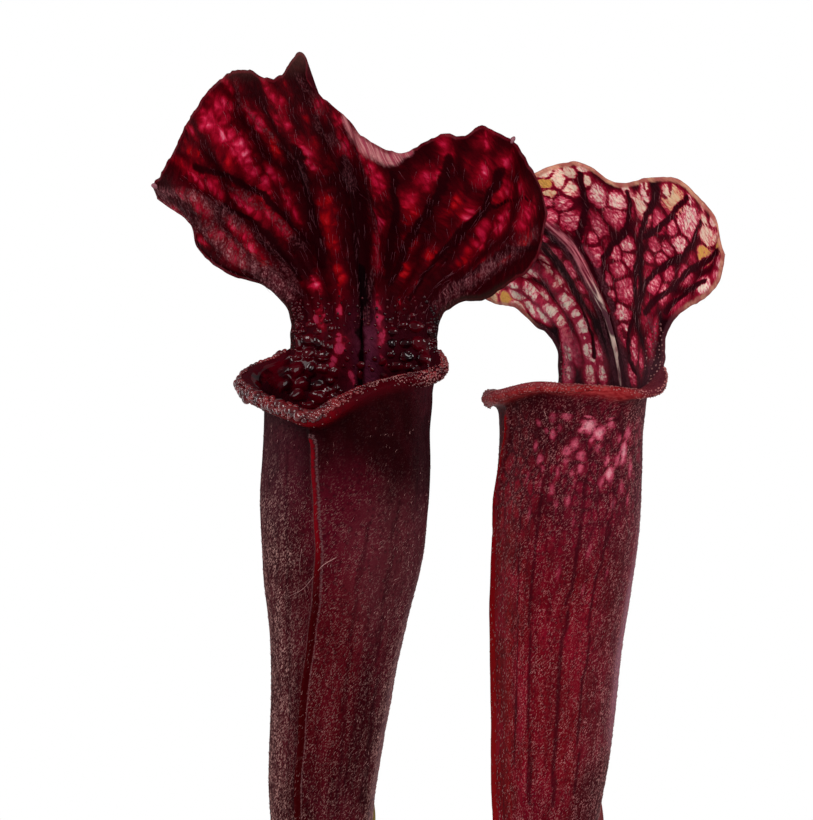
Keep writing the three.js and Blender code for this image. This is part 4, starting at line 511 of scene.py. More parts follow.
    def quads(self):
        nc, R, nb = self.nc, self.R, self.nb
        self.rows = self.R + self.HS + 1
        j = np.arange(nc)[:, None]; r = np.arange(R)[None]
        k = (j + 1) % nc
        a = np.stack(np.broadcast_arrays(j * self.rows + r, k * self.rows + r, k * self.rows + r + 1, j * self.rows + r + 1), -1).reshape(-1, 4)
        j = np.arange(nb)[:, None]; r = np.arange(R, R + self.HS)[None]; k = j + 1
        b = np.stack(np.broadcast_arrays(j * self.rows + r, k * self.rows + r, k * self.rows + r + 1, j * self.rows + r + 1), -1).reshape(-1, 4)
        return np.concatenate([a, b])

    def normals(self, M):
        P = M.reshape(-1, 3); q = self.Q
        e1 = P[q[:, 2]] - P[q[:, 0]]; e2 = P[q[:, 3]] - P[q[:, 1]]
        n = np.cross(e2, e1)
        A = np.zeros_like(P)
        for c in range(4):
            for d in range(3):
                A[:, d] += np.bincount(q[:, c], n[:, d], len(P))
        l = np.linalg.norm(A, axis=1, keepdims=True)
        return (A / np.where(l > 1e-12, l, 1)).reshape(M.shape)

    def half(self):
        nc, rows = self.nc, self.rows
        H = np.full((nc, rows), HALF)
        r = np.arange(rows)
        H[:] = np.where(r[None] > self.R, HALF + (HOOD_HALF - HALF) * np.clip((r - self.R) / self.HS, 0, 1)[None], H)
        # thin at the hood margin
        ss = np.abs(self.s[:self.nb + 1])[:, None]; tt = self.t[None]
        edge = np.maximum(sm(ss, 0.9, 1.0) * (tt > 0), sm(tt, 0.93, 1.0))
        H[:self.nb + 1] *= 1 - 0.35 * edge
        away = np.minimum(self.th + 288, -72 - self.th)
        full = 0.6 + (self.roll - 0.6) * sm(away / 28) + self.lobe[1] * np.exp(-((self.th - self.lobe[0]) / 20) ** 2)
        x = np.clip((r - self.TS) / self.FS, 0, 1)
        k = sm(x, 0.25, 0.95) ** 1.3
        fr = np.where(self.isb[:, None], 0, 1) * k[None]
        fr = fr * (r <= self.R)[None]
        return H * (1 - fr) + full[:, None] * fr

    def shell(self, wing_h, extra_out=None):
        """Vertices, quads and flags of the closed shell."""
        nc, rows, nb, R = self.nc, self.rows, self.nb, self.R
        M, N, H = self.M, self.N, self.half()
        self.H = H
        th = (self.th % 360)[:, None] * np.ones(rows)[None]
        zz = M[..., 2]
        wa = np.interp(zz, self.wing_at[0], self.wing_at[1])
        d = (th - wa + 180) % 360 - 180
        arc = np.radians(d) * 13.5
        env = sm(zz, 108, 135) * (1 - sm(np.arange(rows), self.TS + 1, self.TS + 0.6 * self.FS))[None]
        front = (~self.isb)[:, None] * np.ones(rows)[None]
        wob = 0.10 * np.sin(zz * 0.21) + 0.06 * np.sin(zz * 0.63 + 1)
        wing = env * front * (wing_h * np.exp(-((arc + wob) / 0.55) ** 2) + 0.55 * np.exp(-(arc / 3.0) ** 2))
        self.wing = np.exp(-((arc + wob) / 0.70) ** 2) * env * front
        ribs = 0.035 * np.cos(np.radians(th) * 19 + 0.6 * np.sin(zz * 0.05)) * (zz < 290)
        tubez = (np.arange(rows) <= self.R)[None]
        out = H + (wing + ribs * (1 - sm(np.abs(arc), 0, 2) * 0)) * tubez
        if extra_out is not None:
            out = out + extra_out
        O = M + N * out[..., None]
        I = M - N * H[..., None]
        if self.relief is not None:
            O[:nb + 1, R:] += N[:nb + 1, R:] * (0.4 * self.relief[:nb + 1, R:, None])
            I[:nb + 1, R:] -= N[:nb + 1, R:] * self.relief[:nb + 1, R:, None]
        verts = [O.reshape(-1, 3)]
        nO = nc * rows
        verts.append(I.reshape(-1, 3))
        q = self.Q
        faces = [q]
        # inner side: finer near the mouth, wider steps down the tube
        fi = int(np.argmax(M[0, :, 2] >= CAVITY_Z))
        keep = [r for r in range(self.TS, fi - 1, -1)]
        sel = [r for i, r in enumerate(keep) if i < 30 or (i - 30) % 4 == 0]
        if sel[-1] != keep[-1]:
            sel.append(keep[-1])
        sel = np.array(sorted(sel))
        j = np.arange(nc)[:, None]; k = (j + 1) % nc
        a0, a1 = sel[:-1][None], sel[1:][None]
        iq = np.stack(np.broadcast_arrays(j * rows + a0, j * rows + a1, k * rows + a1, k * rows + a0), -1).reshape(-1, 4) + nO
        r = np.arange(self.TS, R)[None]
        iq2 = np.stack(np.broadcast_arrays(j * rows + r, j * rows + r + 1, k * rows + r + 1, k * rows + r), -1).reshape(-1, 4) + nO
        j = np.arange(nb)[:, None]; k = j + 1; r = np.arange(R, R + self.HS)[None]
        iq3 = np.stack(np.broadcast_arrays(j * rows + r, j * rows + r + 1, k * rows + r + 1, k * rows + r), -1).reshape(-1, 4) + nO
        faces += [iq, iq2, iq3]
        # stalk end and cavity floor
        tris = []
        base = 2 * nO
        ca = O[:, 0].mean(0); cb = I[:, sel[0]].mean(0) - [0, 0, 3.0]
        ring1 = np.arange(nc) * rows; ring2 = np.arange(nc) * rows + sel[0] + nO
        mid1 = (O[:, 0] + ca) / 2 - [0, 0, 0.25]; mid2 = (I[:, sel[0]] + cb) / 2 - [0, 0, 0.7]
        verts += [mid1, mid2, ca[None] - [0, 0, 0.3], cb[None]]
        m1 = base + np.arange(nc); m2 = base + nc + np.arange(nc); c1 = base + 2 * nc; c2 = c1 + 1
        k = (np.arange(nc) + 1) % nc
        faces.append(np.stack([m1, m1[k], ring1[k], ring1], -1))
        tris.append(np.stack([np.full(nc, c1), m1[k], m1], -1))
        faces.append(np.stack([ring2, ring2[k], m2[k], m2], -1))
        tris.append(np.stack([np.full(nc, c2), m2, m2[k]], -1))
        # rounded edge
        loop = [(j, R) for j in range(nb, nc)] + [(0, R)] + [(0, r) for r in range(R + 1, R + self.HS + 1)]
        loop += [(j, R + self.HS) for j in range(1, nb + 1)] + [(nb, r) for r in range(R + self.HS - 1, R, -1)]
        L = np.array(loop)
        mp = M[L[:, 0], L[:, 1]]; nn = N[L[:, 0], L[:, 1]]; hh = H[L[:, 0], L[:, 1]]
        al = np.roll(mp, -1, 0) - np.roll(mp, 1, 0)
        outd = np.cross(al, nn)
        for _ in range(2):
            outd = (np.roll(outd, 1, 0) + 2 * outd + np.roll(outd, -1, 0)) / 4
        outd /= np.linalg.norm(outd, axis=1, keepdims=True) + 1e-12
        start = base + 2 * nc + 2
        nl = len(L); prev = L[:, 0] * rows + L[:, 1]
        angles = np.radians([54, 18, -18, -54])
        self.loop = L
        kk = (np.arange(nl) + 1) % nl
        Oe, Ie = O[L[:, 0], L[:, 1]], I[L[:, 0], L[:, 1]]
        cen = (Oe + Ie) / 2; hn = (Oe - Ie) / 2
        for a in angles:
            verts.append(cen + hn * math.sin(a) + outd * (hh * math.cos(a) * 1.0)[:, None])
            cur = start + np.arange(nl)
            faces.append(np.stack([prev, prev[kk], cur[kk], cur], -1))
            prev = cur; start += nl
        last = L[:, 0] * rows + L[:, 1] + nO
        faces.append(np.stack([prev, prev[kk], last[kk], last], -1))
        verts = np.concatenate(verts); faces = np.concatenate(faces); tris = np.concatenate(tris)
        # source grid point of every vertex, for the attributes
        grid = np.arange(nO)
        src = np.concatenate([grid, grid, ring1, ring2 - nO, [0, 0]] + [L[:, 0] * rows + L[:, 1]] * len(angles))
        side = np.concatenate([np.zeros(nO), np.ones(nO), np.zeros(nc), np.ones(nc), [0, 1]]
                              + [np.full(nl, (1 - math.sin(a)) / 2) for a in angles])
        # volume sign
        p = verts
        f = faces
        vol = (np.einsum('ij,ij->i', p[f[:, 0]], np.cross(p[f[:, 1]], p[f[:, 2]])).sum()
               + np.einsum('ij,ij->i', p[f[:, 0]], np.cross(p[f[:, 2]], p[f[:, 3]])).sum()
               + np.einsum('ij,ij->i', p[tris[:, 0]], np.cross(p[tris[:, 1]], p[tris[:, 2]])).sum())
        if vol < 0:
            faces = faces[:, ::-1]; tris = tris[:, ::-1]
        used = np.unique(np.concatenate([faces.ravel(), tris.ravel()]))
        remap = np.full(len(verts), -1); remap[used] = np.arange(len(used))
        self.O, self.I = O, I
        return verts[used], remap[faces], remap[tris], src[used], side[used]

    # --- places on the leaf by their flat position, on one side of it
    def pick(self, pts, side='in', back=True, rows=None, want=None):
        G = self.I if side == 'in' else self.O
        nrm = -self.N if side == 'in' else self.N
        sub = np.zeros((self.nc, self.rows), bool)
        r0, r1 = rows if rows else (0, self.rows)
        if back:
            sub[:self.nb + 1, max(r0, 0):r1] = True
        else:
            sub[self.nb + 1:, r0:min(r1, self.R + 1)] = True
        view = EYE - G
        facing = (nrm * view).sum(-1) > 0
        if want is None:
            sub &= facing
        j, r = np.nonzero(sub)
        P = flat(G[j, r]); X = G[j, r]
        out = []
        for p in np.asarray(pts, float):
            d = np.linalg.norm(P - p, axis=1)
            near = d < max(d.min() + 1.2, 2.0)
            idx = np.nonzero(near)[0]
            dep = (X[idx] - EYE) @ FWD
            i = idx[np.argmin(dep + 2.0 * d[idx])]
            out.append((j[i], r[i], d[i]))
        return out


# ------------------------------------------------------------------ hood windows and tube spots
# Pale cells between the dark veins, each listed: flat place, half length along the
# lane it grows in, half width, then its tint. 0.2 mm units.
TINT = {'c': (0.97, 0.20), 'y': (0.95, 0.55), 'o': (0.86, 1.0), 'w': (0.86, 0.0), 'k': (0.78, 0.1),
        'p': (0.64, 0.0), 'm': (0.52, 0.0), 'r': (0.40, 0.0), 'd': (0.24, 0.0)}
RIGHT_WINDOWS = [
    (544, 172, 6, 6, 'c'), (558, 179, 8, 6, 'c'), (570, 171.5, 5, 5, 'c'), (582, 169, 5, 5, 'k'), (587, 180, 8, 5, 'c'),
    (544, 185, 6, 6, 'o'), (549, 193, 6, 5, 'y'), (570, 188, 7, 6, 'c'), (646, 188, 8, 3, 'c'), (646, 196, 10, 5, 'w'),
    (644, 210, 11, 8, 'c'), (666, 193, 7, 5, 'c'), (673, 203, 12, 9, 'y'), (688, 220, 15, 10, 'w'), (705, 220, 5, 4, 'c'),
    (706, 235, 10, 7, 'c'), (704, 255, 9, 6, 'o'), (718, 247, 4, 4, 'o'), (495, 287, 7, 5, 'y'), (492, 297, 7, 5, 'y'),
    (505, 299, 7, 5, 'o'), (570, 301, 8, 6, 'w'), (576, 314, 7, 5, 'w'), (583, 328, 13, 6, 'w'), (623, 314, 8, 7, 'w'),
    (625, 330, 11, 6, 'w'), (547, 201, 7, 6, 'p'), (562, 204.5, 8, 7, 'p'), (571, 220, 11, 9, 'p'), (551, 215, 8, 7, 'p'),
    (598, 196, 10, 8, 'w'), (617, 203, 8, 7, 'w'), (627, 190, 8, 4, 'k'), (615, 217, 9, 9, 'p'), (599, 228, 13, 7, 'p'),
    (592, 238, 7, 6, 'p'), (592.5, 255, 10, 9, 'p'), (658, 221, 9, 7, 'p'), (690, 201, 6, 4, 'p'), (673, 228, 8, 5, 'p'),
    (680, 245, 8, 7, 'w'), (668, 250, 7, 5, 'p'), (655, 246, 8, 6, 'p'), (661, 257, 7, 6, 'p'), (650, 259, 6, 5, 'p'),
    (718, 264, 6, 4, 'p'), (627, 246, 8, 6, 'w'), (615, 253.5, 7, 6, 'p'), (629, 260, 8, 7, 'p'), (619, 270, 8, 7, 'p'),
    (608, 281, 7, 5, 'p'), (609, 292, 6, 5, 'p'), (625.5, 291, 10, 8, 'p'), (635, 284, 5, 4, 'p'), (654, 284, 9, 6, 'p'),
    (669, 275.5, 7, 5, 'p'), (684, 274, 9, 6, 'p'), (663, 294, 8, 6, 'p'), (703, 286, 9, 5, 'w'), (549, 270, 8, 5, 'k'),
    (560, 281, 9, 6, 'k'), (566, 289, 5, 4, 'p'), (544, 259, 6, 5, 'k'), (522, 272, 6, 5, 'k'), (531, 272, 6, 5, 'w'),
    (500, 276, 8, 6, 'k'), (534, 291, 9, 5, 'w'), (544, 296, 7, 5, 'k'), (553, 309, 8, 5, 'w'), (561, 319, 6, 4, 'k'),
    (517, 296, 7, 5, 'w'), (531, 308, 9, 4, 'w'), (541, 314, 8, 4, 'w'), (566, 336, 6, 4, 'k'), (693, 260, 8, 5, 'r'),
    (680, 302.5, 10, 4, 'r'), (649, 304, 7, 5, 'r'), (645, 318, 9, 6, 'r'), (556, 253.5, 7, 5, 'm'), (570, 269, 8, 5, 'p'),
    (581, 289, 8, 5, 'm'), (588, 302.5, 7, 4, 'r'), (586, 337, 6, 4.5, 'w'), (589, 353.5, 13, 5, 'w'), (590, 372, 9, 5, 'k'),
    (602, 372, 9, 4, 'w'), (625, 333, 6, 4, 'p'), (634.5, 350, 12, 5, 'p'), (632, 376, 8, 5, 'p'), (568.5, 352, 9, 4, 'p'),
    (566.5, 338, 6, 4, 'm'), (600, 353, 11, 4, 'p'), (641, 361, 9, 4, 'm'), (568.5, 373, 8, 4, 'm'), (608, 304, 5, 3, 'r'),
    (700, 303, 7, 4, 'r'), (716, 275, 7, 4, 'm'), (640, 232, 8, 5, 'r'), (580, 236, 7, 5, 'r'), (700, 205, 5, 4, 'k'),
    (712, 222, 5, 3, 'k'), (632, 209, 8, 4, 'r'), (606, 242, 7, 4, 'r'), (648, 272, 7, 5, 'r'), (597, 275, 8, 4, 'r'),
    (512, 285, 7, 4, 'w'), (520, 305, 7, 4, 'k'), (577, 352, 9, 3, 'r'), (650, 345, 10, 4, 'r'), (655, 330, 8, 3, 'r')]
LEFT_WINDOWS = [
    (222.7, 104, 10, 8, 'p'), (225, 83, 9, 6, 'm'), (239, 85.5, 7, 5, 'd'), (208.6, 123, 9, 7, 'p'), (222, 133, 15, 8, 'p'),
    (192, 131, 9, 6, 'm'), (195, 152.5, 10, 7, 'r'), (241, 154, 16, 8, 'p'), (244, 142, 9, 6, 'm'), (181, 163, 8, 5, 'r'),
    (196, 177, 14, 7, 'm'), (213, 187, 11, 6, 'm'), (249, 173, 10, 7, 'm'), (272, 174, 9, 7, 'p'), (265.5, 186, 9, 6, 'm'),
    (288, 198, 10, 6, 'm'), (237, 199, 10, 6, 'p'), (249, 209, 9, 6, 'm'), (268, 215, 9, 6, 'm'), (286, 231.5, 10, 6, 'm'),
    (211, 215, 9, 5, 'm'), (231, 225, 10, 5, 'm'), (247, 234, 9, 5, 'm'), (259, 123, 10, 7, 'p'), (247, 112, 9, 6, 'm'),
    (280, 104, 11, 7, 'm'), (268, 92, 10, 6, 'm'), (275, 120, 9, 5, 'm'), (284, 126, 8, 5, 'm'), (273.5, 142, 9, 6, 'r'),
    (276, 154, 8, 5, 'r'), (299, 147, 10, 7, 'm'), (310, 152.5, 9, 6, 'm'), (315, 143, 8, 5, 'r'), (312, 167, 10, 7, 'm'),
    (303, 115, 9, 6, 'd'), (287, 87, 8, 5, 'd'), (323, 107, 8, 6, 'm'), (339, 123, 9, 5, 'm'), (327, 202, 12, 8, 'r'),
    (328, 223, 11, 8, 'r'), (332.5, 244, 11, 7, 'r'), (343, 144, 8, 5, 'm'), (330, 163, 9, 6, 'd'), (175, 210, 6, 5, 'p'),
    (197, 206, 9, 5, 'm'), (216.5, 233, 9, 5, 'm'), (233, 246, 8, 5, 'm'), (252, 250, 9, 5, 'm'), (295, 215, 8, 5, 'm'),
    (203, 240, 6, 4, 'p'), (235, 261, 10, 6, 'm'), (262, 262, 8, 5, 'r'), (306, 261, 8, 6, 'm'), (315, 283, 9, 6, 'p'),
    (317, 313, 10, 5, 'm'), (321, 327, 8, 4, 'r'), (338, 272, 10, 6, 'r'), (340, 294, 11, 6, 'r'), (378, 219, 12, 5, 'p'),
    (378, 261, 12, 5, 'm'), (348, 150, 8, 6, 'm'), (380, 186, 10, 6, 'm'), (371, 170, 8, 5, 'm'), (410, 199, 9, 7, 'p'),
    (414, 214, 9, 6, 'r'), (423, 180, 9, 7, 'p'), (439, 175, 7, 5, 'm'), (446, 153, 9, 6, 'm'), (444, 140, 6, 5, 'm'),
    (457.5, 203, 11, 7, 'r'), (469, 216, 10, 6, 'p'), (444, 218, 10, 6, 'd'), (484, 173, 11, 7, 'p'), (486, 143, 8, 6, 'm'),
    (469, 166, 8, 5, 'd'), (506, 190, 9, 8, 'm'), (521, 188, 7, 6, 'm'), (525.5, 213, 10, 7, 'm'), (501, 226, 10, 6, 'm'),
    (504, 214, 8, 6, 'm'), (487, 228, 8, 5, 'm'), (481, 244, 9, 5, 'm'), (466, 257.5, 10, 5, 'r'), (527, 238, 8, 5, 'r'),
    (509, 161, 8, 6, 'p'), (406, 271, 9, 6, 'r'), (431, 256, 10, 6, 'r'), (414, 291, 9, 5, 'r'), (400, 304, 8, 5, 'r'),
    (340, 312, 9, 5, 'm'), (502, 256, 8, 4, 'r'), (479, 266, 8, 4, 'r'), (360, 151, 7, 5, 'm'), (409.5, 244, 9, 5, 'r'),
    (340.6, 342, 11, 5.6, 'p'), (334, 361, 8, 5.0, 'p'), (351.6, 376.6, 8, 3.4, 'p'), (320, 330, 7, 4, 'r'), (381, 339, 11, 4.6, 'p'),
    (378, 322, 10, 4.2, 'm'), (383, 362.5, 6, 3, 'm'), (376, 300, 10, 4, 'm'), (378, 240, 10, 4, 'm'), (181, 196, 8, 5, 'm'),
    (228, 166, 10, 5, 'r'), (262, 200, 8, 5, 'r'), (520, 226, 7, 5, 'm'), (495, 200, 8, 5, 'd'), (450, 235, 9, 5, 'd')]
RIGHT_SPOTS = [
    (540, 423.5, 5, 4, 'm'), (552, 436, 7, 4, 'p'), (566.5, 415, 8, 6, 'p'), (576, 444, 7, 5, 'p'), (583, 455.5, 7, 5, 'p'),
    (580, 467, 7, 4, 'p'), (568, 453, 6, 5, 'p'), (565, 461, 6, 4, 'm'), (540, 461, 7, 4, 'p'), (543, 469, 6, 3, 'm'),
    (536, 446, 6, 4, 'm'), (588, 425, 10, 8, 'w'), (591, 412, 6, 6, 'p'), (599, 433, 8, 6, 'w'), (610, 424, 7, 5, 'p'),
    (612, 414, 5, 5, 'p'), (628, 431, 9, 5, 'p'), (625, 450, 13, 5, 'w'), (607, 462, 8, 4, 'p'), (617, 461, 7, 4, 'p'),
    (611, 474, 10, 5, 'w'), (632, 467, 12, 4, 'p'), (582, 430, 5, 4, 'p'), (552, 419, 6, 4, 'm'), (558, 472, 7, 3, 'm'),
    (552, 490, 8, 4, 'm'), (527, 476, 9, 3, 'r'), (569, 500, 9, 4, 'm'), (556, 506, 8, 3, 'm'), (602, 484, 8, 4, 'm'),
    (575, 484, 6, 3, 'r'), (620, 488, 10, 4, 'm'), (614, 503, 8, 3, 'p'), (628, 500, 8, 3, 'm'), (540, 485, 8, 3, 'r'),
    (588, 548, 12, 4, 'r'), (574, 522, 9, 3, 'r'), (560, 570, 12, 3, 'r'), (599, 530, 10, 3, 'r'), (606, 575, 10, 3, 'r'),
    (530, 515, 9, 3, 'r'), (583, 590, 10, 3, 'r'), (547, 430, 4, 3, 'm'), (599, 447, 6, 4, 'm'), (620, 438, 5, 3, 'p'),
    (591, 440, 4, 3, 'p'), (560, 428, 5, 3, 'm'), (573, 474, 5, 3, 'm')]


# Lines drawn over the hoods: half width in mm, then flat places along it.
RIGHT_LANES = [
    (0.85, [(580.5, 176), (583, 192.5), (586, 204), (584.5, 217.5), (579.5, 232.5), (578, 243), (587.5, 260), (599, 280), (606, 297.5), (612.5, 308)]),
    (0.75, [(627.5, 192.5), (630, 204), (629.5, 217.5), (622.5, 235), (612.5, 245), (604, 257.5), (602, 272.5), (605, 290)]),
    (0.85, [(657.5, 187.5), (655, 197.5), (650, 210), (643.7, 222.5), (640, 235), (640, 250), (636, 267.5), (635, 285), (636, 300), (640, 312.5)]),
    (0.70, [(687.5, 197.5), (677.5, 207.5), (670, 217.5), (662.5, 225), (652.5, 232.5), (645, 237.5)]),
    (0.75, [(700, 222.5), (695, 232.5), (692.5, 245), (682.5, 255), (670, 262.5), (655, 272.5), (645, 285), (640, 300)]),
    (0.75, [(720, 250), (705, 262), (692.5, 268), (680, 280), (670, 290), (655, 300), (645, 312.5)]),
    (0.60, [(705, 280), (690, 290), (677.5, 300), (665, 312.5)]),
    (0.60, [(535, 235), (545, 245), (562.5, 265), (572.5, 282.5), (577.5, 300), (585, 315), (592.5, 335), (595, 357.5)]),
    (0.55, [(635, 310), (630, 330), (627.5, 345), (630, 362), (636, 375)])]
RIGHT_RIDGES = [
    (0.75, [(522.5, 255), (537.5, 272.5), (552.5, 290), (562.5, 305), (570, 322.5), (575, 340), (580, 362.5)]),
    (0.55, [(500, 280), (515, 290), (530, 297.5), (542.5, 310), (555, 325)]),
    (0.55, [(550, 232.5), (565, 250), (580, 272.5), (590, 292.5), (600, 315), (607.5, 340), (612.5, 365), (616, 382)]),
    (0.60, [(584, 246), (596, 266), (607, 292), (613, 312), (618, 332), (623, 352), (626, 368), (628, 383)]),
    (0.50, [(566, 345), (570, 360), (574, 378)]), (0.5, [(598, 330), (604, 350), (606, 372)]), (0.6, [(650, 318), (656, 338), (652, 358), (648, 376)])]
RIGHT_PALE = [
    (0.75, [(546, 224), (556, 231), (567.5, 242.5), (574, 251), (580, 260), (587, 273), (592.5, 285), (598, 296), (602.5, 305)]),
    (0.42, [(602.5, 305), (606, 314), (608.5, 322.5), (611, 334), (613, 345), (616, 356), (618, 366), (621, 385)])]
LEFT_LANES = [
    (0.85, [(450, 158), (442, 188), (420, 222), (404, 250), (392, 282)]), (0.85, [(500, 172), (482, 212), (450, 244), (426, 272), (410, 298)]),
    (0.4, [(532, 198), (504, 203), (484, 212)]), (0.75, [(540, 248), (510, 250), (470, 274), (442, 298)]),
    (0.65, [(196, 168), (228, 176), (262, 194), (285, 216), (304, 240), (314, 266)]), (0.6, [(222, 206), (250, 219), (270, 240), (290, 262), (302, 280)]),
    (1.3, [(296, 150), (306, 190), (316, 230), (322, 264)]), (2.6, [(302, 244), (305, 268)]),
    (1.2, [(345, 160), (348, 178), (351, 190)]), (1.9, [(353, 196), (356, 222), (357.5, 250), (359, 278)]), (1.45, [(359, 278), (361, 300), (362, 326)]),
    (0.9, [(362, 326), (361.5, 352), (361, 392)]), (0.8, [(392, 176), (396, 210), (391, 246), (386, 276)])]
LEFT_RIDGES = [
    (0.85, [(158, 190), (176, 191), (190, 194), (204, 199), (216, 204), (228, 213), (240, 222), (262, 240), (280, 258), (292, 276), (297, 292)]),
    (0.75, [(228, 186), (238, 192), (254, 204), (270, 214), (290, 236), (304, 246)]), (0.9, [(198, 222), (226, 234), (250, 258), (270, 270), (285, 286)]),
    (0.65, [(236, 84), (237, 100), (253, 118), (267, 132), (284, 150), (300, 165), (309, 190)]), (0.8, [(210, 240), (240, 262), (266, 280), (284, 296)]),
    (0.75, [(296.7, 75), (310, 95), (315.7, 111.7), (318.3, 128.3), (327, 137), (342, 147), (347, 163), (350, 178), (354, 190)]),
    (0.55, [(351.7, 148), (360, 158), (364, 172), (367, 188), (372, 212), (378, 232), (378, 258), (371, 278), (367, 300)]),
    (0.7, [(182, 206), (200, 212), (222, 222)]), (0.45, [(366, 306), (368, 330), (368, 352)]), (0.7, [(500, 262), (478, 276), (456, 292)])]
LEFT_PALE = [(1.35, [(352, 134), (357, 141), (366, 149), (376, 155), (386, 158.5), (397, 156.5)]), (0.8, [(397, 156.5), (410, 154)]), (0.7, [(343, 118), (352, 134)])]

# The painted shade in the groove down the middle of the left column, the hairy lower edges of the left hood
# with a painted sheen over their hairs, and the long veins of both tubes.
LEFT_GROOVE_SHADE = [(0.78, [(360, 268), (361, 290), (361.5, 312), (361.5, 340)]), (0.5, [(361.5, 340), (361, 360), (360.5, 388)])]
LEFT_HAIR_SHEEN = [(3.0, [(160, 196), (178, 214), (198, 226), (222, 238), (246, 254), (268, 272), (284, 292)]),
             (1.5, [(158, 192), (186, 198), (212, 208), (240, 228)]), (1.9, [(532, 236), (508, 258), (480, 274), (452, 294), (440, 306)]),
             (1.2, [(210, 240), (238, 262), (262, 280), (282, 298)])]
RIGHT_LONG = [(0.28, [(544, 478), (541, 503), (536, 545), (532.7, 580), (530, 620), (529, 670), (528.7, 720), (529, 787), (530, 812)]),
              (0.31, [(588, 478), (582.7, 503), (573, 570), (567.7, 603), (562.7, 647), (557.7, 687), (554, 753), (552.7, 803), (552, 815)]),
              (0.25, [(616, 490), (611, 520), (596, 580), (590, 620), (586, 657), (581, 703), (577.7, 753), (574, 800)]),
              (0.15, [(521, 505), (519, 537), (517.7, 603), (516, 690), (514, 770)])]
LEFT_LONG = [(0.30, [(370, 520), (361, 570), (352, 620), (346, 690), (341, 760), (338, 812)]),
             (0.30, [(398, 500), (389, 575), (379, 630), (374, 700), (367, 765), (362, 812)]), (0.24, [(287, 450), (286, 520), (288, 600), (290, 700), (288, 780)])]


def line_field(pit, lines, region, seed, warp=0.3, side='in', back=True, rows=None):
    """Distance to the nearest drawn line over its half width, on the grid."""
    jj, rr = np.nonzero(region)
    X = pit.M[jj, rr]
    X = X + warp * np.stack([vnoise(X * 0.8 + 13 * k, seed + k) for k in range(3)], -1)
    best = np.full(len(X), 9.0)
    for width, pts in lines:
        q = []
        for a, b in zip(pts[:-1], pts[1:]):
            n = max(int(math.hypot(b[0] - a[0], b[1] - a[1]) / 6), 1)
            q += [(a[0] + (b[0] - a[0]) * i / n, a[1] + (b[1] - a[1]) * i / n) for i in range(n)]
        q.append(pts[-1])
        C = np.array([pit.M[j, r] for j, r, d in pit.pick(q, side, back, rows or (pit.TS - 34, pit.rows)) if d < 4])
        for a, b in zip(C[:-1], C[1:]):
            e = b - a; l2 = e @ e
            if l2 < 1e-6 or l2 > 49:
                continue
            u = np.clip(((X - a) @ e) / l2, 0, 1)
            best = np.minimum(best, np.linalg.norm(X - a - u[:, None] * e, axis=1) / width)
    g = np.full(pit.M.shape[:2], 9.0); g[jj, rr] = best
    return g


def seeds_on(pit, table, side, back, rows, unit, lane_z=False):
    """Grid places of the centres, sizes in mm and tints of the listed cells on the leaf."""
    hit = pit.pick([(a[0], a[1]) for a in table], side, back, rows)
    out = []
    for (j, r, d), row in zip(hit, table):
        if d > 6:
            continue
        out.append((j, r, row[2] * unit, row[3] * unit) + TINT[row[4]])
    return out


def cells(X, N, centre, lane, size, tone):
    """Nearest and second nearest cell in each cell's own stretched measure."""
    n = len(X)
    F1 = np.full(n, 9.0); F2 = np.full(n, 9.0); K = np.zeros(n, int)
    for k in range(len(centre)):
        d = X - centre[k]
        l = d @ lane[k]
        rest = d - l[:, None] * lane[k]
        dist = np.sqrt((l / size[k][0]) ** 2 + (np.linalg.norm(rest, axis=1) / size[k][1]) ** 2)
        a = dist < F1
        F2 = np.where(a, F1, np.minimum(F2, dist)); F1 = np.where(a, dist, F1); K = np.where(a, k, K)
    return F1, F2, K


